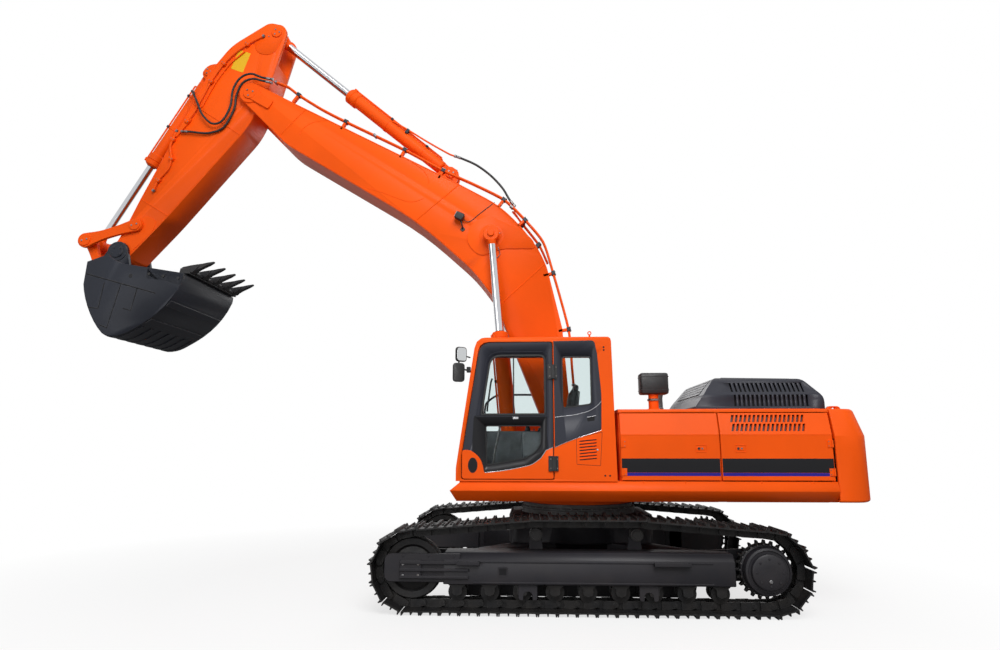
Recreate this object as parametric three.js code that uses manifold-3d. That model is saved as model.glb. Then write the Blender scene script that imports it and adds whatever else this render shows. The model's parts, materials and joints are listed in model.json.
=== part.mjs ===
// A forty-tonne crawler excavator: undercarriage, slewing house with cab, boom, arm and bucket.
// Millimetres, +Z up, +X towards the bucket, +Y to the cab side. The origin lies under the middle of the
// whole machine on the ground. Angles are in degrees, and every joint stands at its parked position.
import * as THREE from "three";
import { mergeVertices } from "three/addons/utils/BufferGeometryUtils.js";
import Module from "manifold-3d";

const wasm = await Module();
wasm.setup();

// ---------------------------------------------------------------- driving dimensions

const GAP = 0.3; // between pieces that rest on each other
const CHAIN_PLAY = 4; // between the chain and its wheels
const PLAY = 8; // beside every moving face
const PIN_PLAY = 1.5; // round a pin in its bore

// Undercarriage
const GAUGE = 2750; // between the track centres
const SHOE_WIDTH = 600;
const SHOE_PITCH = 228;
const SHOE_PLATE = 22; // thickness of a shoe without its grousers
const GROUSER = 30; // height of a grouser
const CHAIN_HEIGHT = 90; // track links under the shoes
const CHAIN_WIDTH = 230;
const TUMBLER_SPAN = 4150; // sprocket to idler
const TUMBLER_RADIUS = 350; // to the chain
const TUMBLER_HEIGHT = TUMBLER_RADIUS + CHAIN_HEIGHT + SHOE_PLATE + GROUSER; // of the axles
const SHOE_PHASE = 0.9; // share of a pitch from the idler to the first shoe, so that none digs in
const CARRIER_RISE = 118; // of the top run over the carrier rollers
const CARRIER_SPREAD = 600; // carrier rollers before and behind the middle
const CARRIER_RADIUS = 78;
const ROLLER_COUNT = 9;
const BEAM_TOP = 680;
const BEAM_BOTTOM = 330;
const BEAM_SIDE = 600; // top of the upright outer face
const BEAM_OUT = 225; // outer face from the track centre
const BEAM_IN = 190; // inner face from the track centre
const BEARING_RADIUS = 790;
const BEARING_HEIGHT = 130;
const BEARING_BASE = 1030; // top of the car body
const CAR_BODY_DEPTH = 360;

// House
const DECK_BOTTOM = 1260;
const DECK_TOP = 1500;
const DECK_HALF = 1500; // half the width at the ridge of the side members
const DECK_NOSE = 1640; // front tip of the side members
const DECK_REAR = -2990;
const RIDGE_HEIGHT = 1390;
const PLATE = 40; // rails and floor plates of the main frame
const TAIL_RADIUS = 3600; // reach of the counterweight behind the swing axis
const TAIL_BOTTOM = 1260;
const TAIL_TOP = 2370;
const PANEL = 35; // thickness of the house walls and doors
const HOUSE_HALF = 1450; // half the width over the side doors
const HOUSE_BASE = DECK_TOP; // panels stand on the deck
const HOUSE_CREASE = 2060; // the walls lean in above this
const HOUSE_TOP = 2370;
const HOUSE_LEAN = 90; // how far the walls lean in at the top
const HOUSE_FRONT = -430; // behind the cab
const HOUSE_DOOR_SPLIT = -1640; // between the two side doors
const HOUSE_REAR = -2985;
const DOOR_GAP = 12; // round every door
const HOOD_FRONT = -1490;
const HOOD_BROW = -1590; // where the steep front turns into the long slope
const HOOD_FRONT_TOP = -1790;
const HOOD_REAR = -3130;
const HOOD_HALF = 960;
const HOOD_HEIGHT = 440;
const LUG_REAR = -3450; // the counterweight's lifting lugs
const LUG_LENGTH = 150;
const LUG_SIDE = 620;
const LUG_EYE = 26;
const HOOD_WALL = 30;

// Cab
const CAB_IN = 585; // inner side
const CAB_OUT = 1480; // outer side
const CAB_REAR = -390;
const CAB_FRONT = 1570; // foot of the windscreen
const CAB_ROOF_FRONT = 1330;
const CAB_ROOF = 3280;
const CAB_WALL = 60;
const DOOR_REAR = 375; // hinge edge of the cab door
const DOOR_WALL = 45;
const GLASS = 8;

// Boom
const BOOM_FOOT = [200, 2050]; // X and Z of the foot pin
const BOOM_LENGTH = 7186;
const BOOM_ANGLE = 47.9;
const BOOM_HALF = 340;
const BOOM_SIDE = 20; // side plates stand out round the pins
const FOOT_RADIUS = 170;
const FOOT_PIN = 62;
const TIP_RADIUS = 178;
const TIP_PIN = 58;
const FORK_DEPTH = 800; // of the fork that takes the arm
const LIFT_EYE = [2843, 1209]; // boom cylinder's rod eye on the boom
const LIFT_BASE = [930, 1720]; // boom cylinder's foot on the main frame
const LIFT_SIDE = 462; // boom cylinders' distance from the middle
const LIFT_BORE = 100; // outer radius of the barrel
const LIFT_ROD = 56;
const LIFT_BARREL = 1780; // barrel length from the foot pin
const EYE_HALF = 55; // half the width of a rod's eye
const EYE_RADIUS = 118;
const EYE_NECK = 195; // from a foot pin to the barrel's tube
const CROWD_BASE = [4100, 1470]; // arm cylinder's foot on the boom
const CROWD_BORE = 104;
const CROWD_ROD = 60;
const CROWD_BARREL = 2180;

const PIPE_RADIUS = 17;
const PIPE_SIDES = [286, 328]; // of the two oil pipes from the middle
const PIPE_STAND = 180; // depth of a clamp block before it meets the boom's top
const HOSE_RADIUS = 17;

// Arm
const ARM_LENGTH = 3174;
const ARM_ANGLE = -53.45;
const ARM_HALF = 255;
const ARM_TAIL = [-1080, 390]; // arm cylinder's rod eye on the arm
const TAIL_CHEEK = 60;
const CURL_BASE = [60, 985]; // bucket cylinder's foot on the arm
const CURL_BORE = 92;
const CURL_ROD = 52;
const CURL_BARREL = 1780;
const ROCKER_PIN = [2702, 70];
const ROCKER_LENGTH = 794;
const ROCKER_ANGLE = -16.8; // of the rocker against the ground
const ROCKER_PLATE = 56;
const LINK_PIN = 48;
const LINK_IN = 100; // the link's two bars leave the middle to the rod's eye
const LINK_OUT = 180;

// Bucket
const BUCKET_ANGLE = -170;
const BUCKET_HALF = 790;
const BUCKET_WALL = 34;
const BUCKET_EAR = 60; // thickness of an ear
const EAR_PIN = [-210, 484]; // link's pin on the ears
const TOOTH_COUNT = 5;
const TOOTH_LENGTH = 330;
const LIP_PLATE = 60;

// ---------------------------------------------------------------- shapes

const rad = THREE.MathUtils.degToRad;

function solid(geometry) {
  const g = geometry.clone();
  for (const name of Object.keys(g.attributes)) {
    if (name !== "position") g.deleteAttribute(name);
  }
  const merged = mergeVertices(g, 1e-3);
  const vertProperties = merged.attributes.position.array;
  const triVerts = new Uint32Array(merged.index.array);
  return new wasm.Manifold(new wasm.Mesh({ numProp: 3, vertProperties, triVerts }));
}

function join(...solids) {
  return solids.flat().reduce((a, b) => a.add(b));
}

function cut(body, ...tools) {
  return tools.flat().reduce((a, b) => a.subtract(b), body);
}

// An outline from corner points [a, b] or [a, b, radius of the corner].
function outline(points) {
  const shape = new THREE.Shape();
  const count = points.length;
  points.forEach((point, i) => {
    const here = new THREE.Vector2(point[0], point[1]);
    const before = new THREE.Vector2(...points[(i + count - 1) % count]).sub(here);
    const after = new THREE.Vector2(...points[(i + 1) % count]).sub(here);
    const radius = Math.min(point[2] ?? 0, before.length() * 0.45, after.length() * 0.45);
    if (radius === 0) {
      if (i === 0) shape.moveTo(here.x, here.y);
      else shape.lineTo(here.x, here.y);
      return;
    }
    const inwards = before.setLength(radius).add(here);
    const outwards = after.setLength(radius).add(here);
    if (i === 0) shape.moveTo(inwards.x, inwards.y);
    else shape.lineTo(inwards.x, inwards.y);
    shape.quadraticCurveTo(here.x, here.y, outwards.x, outwards.y);
  });
  return shape;
}

function extrude(shape, depth, steps = 3) {
  return new THREE.ExtrudeGeometry(shape, { depth, bevelEnabled: false, curveSegments: steps });
}

// Side view outline in X and Z, between two values of Y.
function sideways(points, y0, y1, steps) {
  const shape = points instanceof THREE.Shape ? points : outline(points);
  const g = extrude(shape, y1 - y0, steps);
  return solid(g.rotateX(Math.PI / 2).translate(0, y1, 0));
}

// Plan outline in X and Y, between two heights.
function upright(points, z0, z1, steps) {
  const shape = points instanceof THREE.Shape ? points : outline(points);
  return solid(extrude(shape, z1 - z0, steps).translate(0, 0, z0));
}

// Front view outline in Y and Z, between two values of X.
function lengthways(points, x0, x1, steps) {
  const shape = points instanceof THREE.Shape ? points : outline(points);
  const g = extrude(shape, x1 - x0, steps);
  return solid(g.rotateX(Math.PI / 2).rotateZ(Math.PI / 2).translate(x0, 0, 0));
}

function box(x0, x1, y0, y1, z0, z1) {
  const g = new THREE.BoxGeometry(x1 - x0, y1 - y0, z1 - z0);
  return solid(g.translate((x0 + x1) / 2, (y0 + y1) / 2, (z0 + z1) / 2));
}

// A round bar along Y at X, Z.
function bar(x, z, radius, y0, y1, sides = 16) {
  const g = new THREE.CylinderGeometry(radius, radius, y1 - y0, sides);
  return solid(g.translate(x, (y0 + y1) / 2, z));
}

// A round bar along X from x0 to x1.
function rod(x0, x1, radius, y = 0, z = 0, sides = 20) {
  const g = new THREE.CylinderGeometry(radius, radius, x1 - x0, sides);
  return solid(g.rotateZ(-Math.PI / 2).translate((x0 + x1) / 2, y, z));
}

// A round bar along Z.
function post(x, y, radius, z0, z1, sides = 20) {
  const g = new THREE.CylinderGeometry(radius, radius, z1 - z0, sides);
  return solid(g.rotateX(Math.PI / 2).translate(x, y, (z0 + z1) / 2));
}

// A body turned round the vertical axis from [radius, height] points.
function turned(points, sides = 40) {
  const profile = points.map(([r, z]) => new THREE.Vector2(r, z));
  return solid(new THREE.LatheGeometry(profile, sides).rotateX(Math.PI / 2));
}

// A bent tube through points, with a round section; a slack of 0.5 gives the even curve of a hose.
function tube(points, radius, steps = 16, sides = 8, slack = 0.2) {
  const route = points.map((p) => new THREE.Vector3(...p));
  const path = new THREE.CatmullRomCurve3(route, false, "catmullrom", slack);
  const section = new THREE.Shape().absarc(0, 0, radius, 0, 2 * Math.PI);
  const g = new THREE.ExtrudeGeometry(section, {
    extrudePath: path,
    steps,
    curveSegments: sides / 2,
    bevelEnabled: false,
  });
  return solid(g);
}

// An outline moved inwards by a wall, for a closed ring of points that turns anticlockwise.
function inset(points, wall) {
  return points.map((point, i) => {
    const before = points[(i + points.length - 1) % points.length];
    const after = points[(i + 1) % points.length];
    const along = after.clone().sub(before).normalize();
    return new THREE.Vector2(point.x - along.y * wall, point.y + along.x * wall);
  });
}

// ---------------------------------------------------------------- materials

const paint = (color, roughness = 0.38, metalness = 0.1) => ({ color, roughness, metalness });
const ORANGE = paint(0xf25a0a);
const CHARCOAL = paint(0x33343d, 0.5);
const FRAME_GREY = paint(0x2b2930, 0.6);
const TRACK_STEEL = paint(0x19181a, 0.65, 0.5);
const BUCKET_PAINT = paint(0x22252e, 0.55);
const CHROME = paint(0xc8ccd2, 0.12, 1);
const GLAZING = paint(0x55646b, 0.05, 0);
const PLASTIC = paint(0x1b1c1f, 0.6, 0);
const FABRIC = paint(0x26262a, 0.9, 0);
const CAST_IRON = paint(0x4c4e50, 0.6, 0.6);

const machine = new THREE.Group();

function place(parent, name, body, finish) {
  const mesh = body.getMesh();
  const g = new THREE.BufferGeometry();
  g.setAttribute("position", new THREE.BufferAttribute(new Float32Array(mesh.vertProperties), 3));
  g.setIndex(new THREE.BufferAttribute(new Uint32Array(mesh.triVerts), 1));
  g.computeVertexNormals();
  const made = new THREE.Mesh(g, new THREE.MeshStandardMaterial(finish));
  made.name = name;
  parent.add(made);
  return made;
}

// A nested frame at a pivot, turned in the side view; its name is the joint's.
function pivot(parent, name, x, z, degrees, y = 0) {
  const group = new THREE.Group();
  group.name = name;
  group.position.set(x, y, z);
  group.rotation.y = -rad(degrees);
  parent.add(group);
  return group;
}

// A point of a pivot's own side view, seen in another pivot's side view.
function seen(from, point, to) {
  machine.updateMatrixWorld(true);
  const world = from.localToWorld(new THREE.Vector3(point[0], 0, point[1]));
  const local = to.worldToLocal(world);
  return [local.x, local.z];
}

// ---------------------------------------------------------------- undercarriage

const SIDES = [
  ["left", 1],
  ["right", -1],
];
const HALF_SPAN = TUMBLER_SPAN / 2;
const BEAM_LENGTH = TUMBLER_SPAN - 2 * (TUMBLER_RADIUS + 35);
const CARRIER_AXLE = TUMBLER_HEIGHT + TUMBLER_RADIUS + CARRIER_RISE - CARRIER_RADIUS - CHAIN_PLAY;

// The centre line of the chain's inner face: over both tumblers and the carrier rollers.
function trackPath(offset) {
  const radius = TUMBLER_RADIUS + offset;
  const path = new THREE.CurvePath();
  const low = TUMBLER_HEIGHT - radius;
  const high = TUMBLER_HEIGHT + TUMBLER_RADIUS + CARRIER_RISE + offset;
  const slope = Math.atan2(CARRIER_RISE, HALF_SPAN - CARRIER_SPREAD);
  const arc = (x, from, to) => {
    const points = [];
    const steps = 16;
    for (let i = 0; i <= steps; i += 1) {
      const angle = from + ((to - from) * i) / steps;
      points.push(new THREE.Vector2(x + radius * Math.cos(angle), TUMBLER_HEIGHT + radius * Math.sin(angle)));
    }
    return points;
  };
  const front = arc(HALF_SPAN, -Math.PI / 2, Math.PI / 2 - slope);
  const rear = arc(-HALF_SPAN, Math.PI / 2 + slope, (3 * Math.PI) / 2);
  const top = [new THREE.Vector2(CARRIER_SPREAD, high), new THREE.Vector2(-CARRIER_SPREAD, high)];
  const points = [...front, ...top, ...rear, new THREE.Vector2(HALF_SPAN, low)];
  for (let i = 1; i < points.length; i += 1) path.add(new THREE.LineCurve(points[i - 1], points[i]));
  return { path, points: points.slice(0, -1) };
}

function trackLoop() {
  const inner = trackPath(0).points;
  const chain = trackPath(CHAIN_HEIGHT).points;
  const { path } = trackPath(CHAIN_HEIGHT + SHOE_PLATE / 2);
  const length = path.getLength();
  const count = Math.round(length / SHOE_PITCH);
  const pitch = length / count;
  const shoe = [];
  // Shares of the pitch and of the grouser's height: flat plate, then the raised leading bar.
  const profile = [
    [-0.46, 0],
    [0.22, 0],
    [0.3, 1],
    [0.42, 1],
  ];
  // The shoes' outer outline, one grouser profile after another along the loop.
  for (let i = 0; i < count; i += 1) {
    const mid = path.getPointAt((i + SHOE_PHASE) / count);
    const along = path.getTangentAt((i + SHOE_PHASE) / count);
    const out = new THREE.Vector2(along.y, -along.x);
    for (const [share, height] of profile) {
      const lift = SHOE_PLATE / 2 + height * GROUSER;
      shoe.push(
        new THREE.Vector2(
          mid.x + along.x * share * pitch + out.x * lift,
          mid.y + along.y * share * pitch + out.y * lift,
        ),
      );
    }
  }
  const ring = (outer, hole, half) => {
    const shape = new THREE.Shape(outer);
    shape.holes.push(new THREE.Path(hole));
    return sideways(shape, -half, half, 1);
  };
  const plates = ring(shoe, chain, SHOE_WIDTH / 2);
  const links = ring(trackPath(CHAIN_HEIGHT + SHOE_PLATE / 3).points, inner, CHAIN_WIDTH / 2);
  return join(plates, links);
}

function trackFrame(side) {
  const rear = -BEAM_LENGTH / 2;
  const front = BEAM_LENGTH / 2;
  const slope = BEAM_OUT - 150;
  const section = [
    [-BEAM_IN * side, BEAM_BOTTOM],
    [BEAM_OUT * side, BEAM_BOTTOM],
    [BEAM_OUT * side, BEAM_SIDE],
    [slope * side, BEAM_TOP],
    [-BEAM_IN * side, BEAM_TOP],
  ];
  if (side < 0) section.reverse();
  const beam = lengthways(section, rear, front);
  // Yoke plates that carry the idler's axle, with the guard ridges outside.
  const yokeEnd = HALF_SPAN + 320;
  const plates = [1, -1].map((half) => {
    const inside = 165 * half;
    const outside = 215 * half;
    return sideways(
      [
        [front - 200, BEAM_BOTTOM + 20],
        [yokeEnd, BEAM_BOTTOM + 20, 60],
        [yokeEnd, BEAM_TOP - 10, 60],
        [front - 200, BEAM_TOP - 10],
      ],
      Math.min(inside, outside),
      Math.max(inside, outside),
    );
  });
  const ridges = [400, 480, 560].map((z) =>
    box(front - 300, front + 480, side > 0 ? 200 : -255, side > 0 ? 255 : -200, z, z + 40),
  );
  const steps = [
    [1260, 1530],
    [-1180, -760],
  ].map(([x0, x1]) => {
    const y = [BEAM_OUT - 30, BEAM_OUT + 65].map((v) => v * side);
    return box(x0, x1, Math.min(...y), Math.max(...y), BEAM_SIDE - 50, BEAM_SIDE - 5);
  });
  // Rear plate that carries the final drive.
  const driveIn = [-BEAM_IN, -BEAM_IN + 60].map((v) => v * side);
  const rearPlate = sideways(
    [
      [rear + 200, BEAM_BOTTOM],
      [rear + 200, BEAM_TOP],
      [-HALF_SPAN - 180, BEAM_TOP + 40, 80],
      [-HALF_SPAN - 180, BEAM_BOTTOM, 80],
    ],
    Math.min(...driveIn),
    Math.max(...driveIn),
  );
  const axle = bar(HALF_SPAN, TUMBLER_HEIGHT, 60, -200, 200, 16);
  // The carrier rollers on their brackets.
  const carriers = [CARRIER_SPREAD, -CARRIER_SPREAD].map((x) => {
    const y = [-BEAM_IN, -BEAM_IN + 50].map((v) => v * side);
    const arm = box(x - 60, x + 60, Math.min(...y), Math.max(...y), BEAM_TOP - 20, CARRIER_AXLE + 60);
    const shaft = [-BEAM_IN + 25, 60].map((v) => v * side);
    const wheel = [-85, 95].map((v) => v * side);
    return join(
      arm,
      bar(x, CARRIER_AXLE, 35, Math.min(...shaft), Math.max(...shaft), 12),
      bar(x, CARRIER_AXLE, CARRIER_RADIUS, Math.min(...wheel), Math.max(...wheel), 16),
    );
  });
  // Bottom guides that keep the chain on the rollers.
  const guides = [700, -700].map((x) => {
    const lug = [1, -1].map((half) =>
      box(x - 110, x + 110, half > 0 ? 150 : -190, half > 0 ? 190 : -150, 150, BEAM_BOTTOM + 20),
    );
    return join(...lug);
  });
  return join(beam, plates, ridges, steps, rearPlate, axle, carriers, guides);
}

function lowerRollers() {
  const low = TUMBLER_HEIGHT - TUMBLER_RADIUS + CHAIN_PLAY / 2;
  const radius = (BEAM_BOTTOM - low) / 2 - PIN_PLAY;
  const span = BEAM_LENGTH - 320;
  const rollers = [];
  for (let i = 0; i < ROLLER_COUNT; i += 1) {
    const x = -span / 2 + (i * span) / (ROLLER_COUNT - 1);
    rollers.push(bar(x, low + radius, radius, -110, 110, 10));
  }
  const spine = box(-span / 2, span / 2, -40, 40, low + radius - 30, BEAM_BOTTOM - GAP);
  return join(...rollers, spine);
}

// Idler wheel with its two treads and the flange that runs between the links.
function idler() {
  const rim = [-1, 1].map((half) => {
    const y = [40 * half, 105 * half];
    return bar(0, 0, TUMBLER_RADIUS - CHAIN_PLAY, Math.min(...y), Math.max(...y), 20);
  });
  const flange = bar(0, 0, TUMBLER_RADIUS - 25, -45, 45, 20);
  const hub = bar(0, 0, 120, -155, 155, 16);
  return cut(join(...rim, flange, hub), bar(0, 0, 60 + PIN_PLAY, -170, 170, 16));
}

// Sprocket ring and the final drive's hub, on the outside of the track frame.
function sprocket(side) {
  const teeth = 21;
  const ring = [];
  for (let i = 0; i < teeth; i += 1) {
    for (const [share, reach] of [[0, -8], [0.5, -48]]) {
      const angle = ((i + share) * 2 * Math.PI) / teeth;
      const r = TUMBLER_RADIUS + reach;
      ring.push([r * Math.cos(angle), r * Math.sin(angle)]);
    }
  }
  const wheel = sideways(ring, -35, 35);
  const hubs = [
    [265, -110, 150],
    [280, 150, 195],
    [222, 195, 232],
    [120, 232, 250],
  ].map(([r, y0, y1]) => {
    const y = [y0 * side, y1 * side];
    return bar(0, 0, r, Math.min(...y), Math.max(...y), 20);
  });
  return join(wheel, ...hubs);
}

function carBody() {
  const top = BEARING_BASE;
  const low = top - CAR_BODY_DEPTH;
  const core = upright(
    [
      [-950, -620, 120],
      [950, -620, 120],
      [950, 620, 120],
      [-950, 620, 120],
    ],
    low,
    top,
  );
  const reach = GAUGE / 2 - BEAM_IN - GAP;
  const legs = SIDES.flatMap(([, side]) =>
    [1, -1].map((end) => {
      const points = [
        [end * 330, side * 560],
        [end * 900, side * 560],
        [end * 1420, side * reach],
        [end * 900, side * reach],
      ];
      if (side * end < 0) points.reverse();
      return upright(points, BEAM_BOTTOM + 60, BEAM_TOP - 10);
    }),
  );
  const seats = turned([
    [0, low],
    [BEARING_RADIUS - 30, low],
    [BEARING_RADIUS - 30, top],
    [0, top],
  ]);
  return join(core, seats, ...legs);
}

function swingBearing() {
  const top = BEARING_BASE + GAP + BEARING_HEIGHT;
  return turned([
    [0, BEARING_BASE + GAP],
    [BEARING_RADIUS, BEARING_BASE + GAP],
    [BEARING_RADIUS, top - 50],
    [BEARING_RADIUS - 35, top - 45],
    [BEARING_RADIUS - 35, top],
    [0, top],
  ]);
}

place(machine, "car_body", carBody(), FRAME_GREY);
place(machine, "swing_bearing", swingBearing(), CAST_IRON);
for (const [word, side] of SIDES) {
  const half = new THREE.Group();
  half.position.y = (side * GAUGE) / 2;
  machine.add(half);
  place(half, `track_frame_${word}`, trackFrame(side), FRAME_GREY);
  place(half, `track_${word}`, trackLoop(), TRACK_STEEL);
  place(half, `lower_rollers_${word}`, lowerRollers(), TRACK_STEEL);
  place(half, `idler_${word}`, idler(), TRACK_STEEL).position.set(HALF_SPAN, 0, TUMBLER_HEIGHT);
  const drive = place(half, `sprocket_${word}`, sprocket(side), TRACK_STEEL);
  drive.position.set(-HALF_SPAN, 0, TUMBLER_HEIGHT);
}

// ---------------------------------------------------------------- house

const house = new THREE.Group();
house.name = "swing";
machine.add(house);

const HOUSE_FLOOR = BEARING_BASE + GAP + BEARING_HEIGHT + GAP;
const DOOR_OUT = HOUSE_HALF - PANEL;

// Floor plate, centre rails with the boom's brackets, and the orange side members.
function mainFrame() {
  const floor = upright(
    [
      [DECK_REAR, -DOOR_OUT],
      [CAB_FRONT - 40, -DOOR_OUT],
      [CAB_FRONT - 40, -CAB_IN],
      [1150, -500],
      [1150, 500],
      [CAB_FRONT - 40, CAB_IN],
      [CAB_FRONT - 40, DOOR_OUT],
      [DECK_REAR, DOOR_OUT],
    ],
    DECK_TOP - 110,
    DECK_TOP,
  );
  const under = turned([
    [0, HOUSE_FLOOR],
    [BEARING_RADIUS - 60, HOUSE_FLOOR],
    [BEARING_RADIUS - 60, DECK_TOP - 100],
    [0, DECK_TOP - 100],
  ]);
  const belly = box(DECK_REAR, 1100, -560, 560, HOUSE_FLOOR + 40, DECK_TOP - 90);
  const members = SIDES.map(([, side]) => {
    const section = [
      [side * (DOOR_OUT - 150), DECK_TOP],
      [side * (DOOR_OUT - 150), DECK_BOTTOM],
      [side * (DOOR_OUT - 10), DECK_BOTTOM],
      [side * DECK_HALF, RIDGE_HEIGHT],
      [side * (HOUSE_HALF + 10), DECK_TOP],
    ];
    if (side < 0) section.reverse();
    const member = lengthways(section, DECK_REAR, DECK_NOSE);
    const nose = sideways(
      [
        [DECK_NOSE - 150, DECK_TOP + 10],
        [DECK_NOSE, RIDGE_HEIGHT],
        [DECK_NOSE - 80, DECK_BOTTOM - 10],
        [DECK_NOSE + 100, DECK_BOTTOM - 10],
        [DECK_NOSE + 100, DECK_TOP + 10],
      ].reverse(),
      Math.min(side * 1200, side * 1600),
      Math.max(side * 1200, side * 1600),
    );
    return cut(member, nose);
  });
  // Brackets of the boom's foot pin, and further forward those of the boom cylinders.
  const [footX, footZ] = BOOM_FOOT;
  const cheekIn = BOOM_HALF + PLAY;
  const brackets = SIDES.flatMap(([, side]) => {
    const y = [side * cheekIn, side * (cheekIn + PLATE)];
    const cheek = sideways(
      [
        [HOUSE_FRONT + PLATE, DECK_TOP - 60],
        [footX - 150, footZ + 150, 120],
        [footX + 160, footZ + 150, 120],
        [LIFT_BASE[0] - 220, DECK_TOP + 160],
        [LIFT_BASE[0] - 220, DECK_TOP - 60],
      ].reverse(),
      Math.min(...y),
      Math.max(...y),
    );
    const [liftIn, liftOut] = [LIFT_SIDE - EYE_HALF - PLAY, LIFT_SIDE + EYE_HALF + PLAY];
    const ends = [
      [liftIn - PLATE, liftIn],
      [liftOut, liftOut + PLATE],
    ];
    const lugs = ends.map(([a, b]) =>
      sideways(
        [
          [LIFT_BASE[0] - 260, DECK_TOP - 60],
          [LIFT_BASE[0] - 130, LIFT_BASE[1] + 120, 110],
          [LIFT_BASE[0] + 115, LIFT_BASE[1] + 120, 100],
          [LIFT_BASE[0] + 115, DECK_TOP - 60],
        ].reverse(),
        Math.min(side * a, side * b),
        Math.max(side * a, side * b),
      ),
    );
    const reach = [side * (liftIn - PLATE), side * (liftOut + PLATE + 15)];
    const pin = bar(LIFT_BASE[0], LIFT_BASE[1], FOOT_PIN - 10, Math.min(...reach), Math.max(...reach));
    return [cheek, ...lugs, pin];
  });
  const pinReach = cheekIn + PLATE + 20;
  const footPin = bar(footX, footZ, FOOT_PIN, -pinReach, pinReach);
  return join(floor, under, belly, members, brackets, footPin);
}

// Counterweight: rounded in plan, leaning in above its crease.
function counterweight() {
  const front = DECK_REAR - GAP - 5;
  const depth = TAIL_RADIUS + front;
  const plan = (half, back) => [
    [front, -half],
    [front, half],
    [-TAIL_RADIUS + depth * 0.42 + back, half, 190],
    [-TAIL_RADIUS + back, half * 0.62, 360],
    [-TAIL_RADIUS + back, -half * 0.62, 360],
    [-TAIL_RADIUS + depth * 0.42 + back, -half, 190],
  ].reverse();
  const lower = upright(plan(HOUSE_HALF + 20, 0), TAIL_BOTTOM, HOUSE_CREASE - 20, 6);
  const upper = upright(plan(HOUSE_HALF - HOUSE_LEAN, 70), HOUSE_CREASE - 20.5, TAIL_TOP, 6);
  const lean = SIDES.map(([, side]) => {
    const section = [
      [side * (HOUSE_HALF - 8), HOUSE_CREASE - 20],
      [side * (HOUSE_HALF - HOUSE_LEAN - 5), TAIL_TOP - 10],
      [side * (HOUSE_HALF - 200), TAIL_TOP - 10],
      [side * (HOUSE_HALF - 200), HOUSE_CREASE - 20.5],
    ];
    if (side > 0) section.reverse();
    return lengthways(section, -TAIL_RADIUS + depth * 0.75, front);
  });
  const lugs = SIDES.map(([, side]) => {
    const y = side * LUG_SIDE;
    const lug = sideways(
      [
        [LUG_REAR, TAIL_TOP - 20],
        [LUG_REAR, TAIL_TOP + 75, 50],
        [LUG_REAR + LUG_LENGTH, TAIL_TOP + 75, 50],
        [LUG_REAR + LUG_LENGTH, TAIL_TOP - 20],
      ].reverse(),
      y - 25,
      y + 25,
    );
    return cut(lug, bar(LUG_REAR + LUG_LENGTH / 2, TAIL_TOP + 32, LUG_EYE, y - 30, y + 30, 12));
  });
  return join(lower, upper, lean, lugs);
}

place(house, "main_frame", mainFrame(), ORANGE);
place(house, "counterweight", counterweight(), ORANGE);

// Wall section in the front view: upright to the crease, then leaning in.
function wallSection(side, low, high, out, thick) {
  const lean = (HOUSE_LEAN * (high - HOUSE_CREASE)) / (HOUSE_TOP - HOUSE_CREASE);
  const section = [
    [side * (out - thick), low],
    [side * out, low],
    [side * out, HOUSE_CREASE],
    [side * (out - lean), high],
    [side * (out - lean - thick), high],
    [side * (out - thick), HOUSE_CREASE],
  ];
  if (side < 0) section.reverse();
  return section;
}

// Fixed bodywork behind the cab: bulkheads, posts, sills and the roof panels round the hood.
function houseShell() {
  const base = HOUSE_BASE + GAP;
  const roofHalf = HOUSE_HALF - HOUSE_LEAN;
  const full = [
    [-HOUSE_HALF, base],
    [HOUSE_HALF, base],
    [HOUSE_HALF, HOUSE_CREASE],
    [roofHalf, HOUSE_TOP],
    [-roofHalf, HOUSE_TOP],
    [-HOUSE_HALF, HOUSE_CREASE],
  ];
  const block = lengthways(full, HOUSE_REAR, HOUSE_FRONT);
  const inner = [
    [-HOUSE_HALF - 20, base - 20],
    [HOUSE_HALF + 20, base - 20],
    [HOUSE_HALF + 20, HOUSE_TOP - 40],
    [-HOUSE_HALF - 20, HOUSE_TOP - 40],
  ];
  const bays = [
    [HOUSE_REAR + PLATE, HOUSE_DOOR_SPLIT - 30],
    [HOUSE_DOOR_SPLIT + 30, HOUSE_FRONT - PLATE],
  ].map(([x0, x1]) => lengthways(inner, x0, x1));
  // The middle of the inner bulkhead is open to let the engine through.
  const passage = box(HOUSE_DOOR_SPLIT - 60, HOUSE_DOOR_SPLIT + 60, -700, 700, base + 60, HOUSE_TOP - 40);
  const mouthRear = Math.max(HOOD_REAR + 60, HOUSE_REAR + PLATE);
  const mouthHalf = HOOD_HALF - 90;
  const mouth = box(mouthRear, HOOD_FRONT - 60, -mouthHalf, mouthHalf, HOUSE_TOP - 60, HOUSE_TOP + 10);
  // The doors' room in the side walls, and the front right corner given to the tanks.
  const doorRoom = SIDES.map(([, side]) => {
    const [low, high] = [base - 10, HOUSE_TOP - 42];
    const room = wallSection(side, low, high, HOUSE_HALF + 1, PANEL + PLAY);
    return lengthways(room, HOUSE_REAR - 10, HOUSE_FRONT + 10);
  });
  return cut(block, ...bays, passage, mouth, ...doorRoom);
}

place(house, "house_shell", houseShell(), ORANGE);

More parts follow.
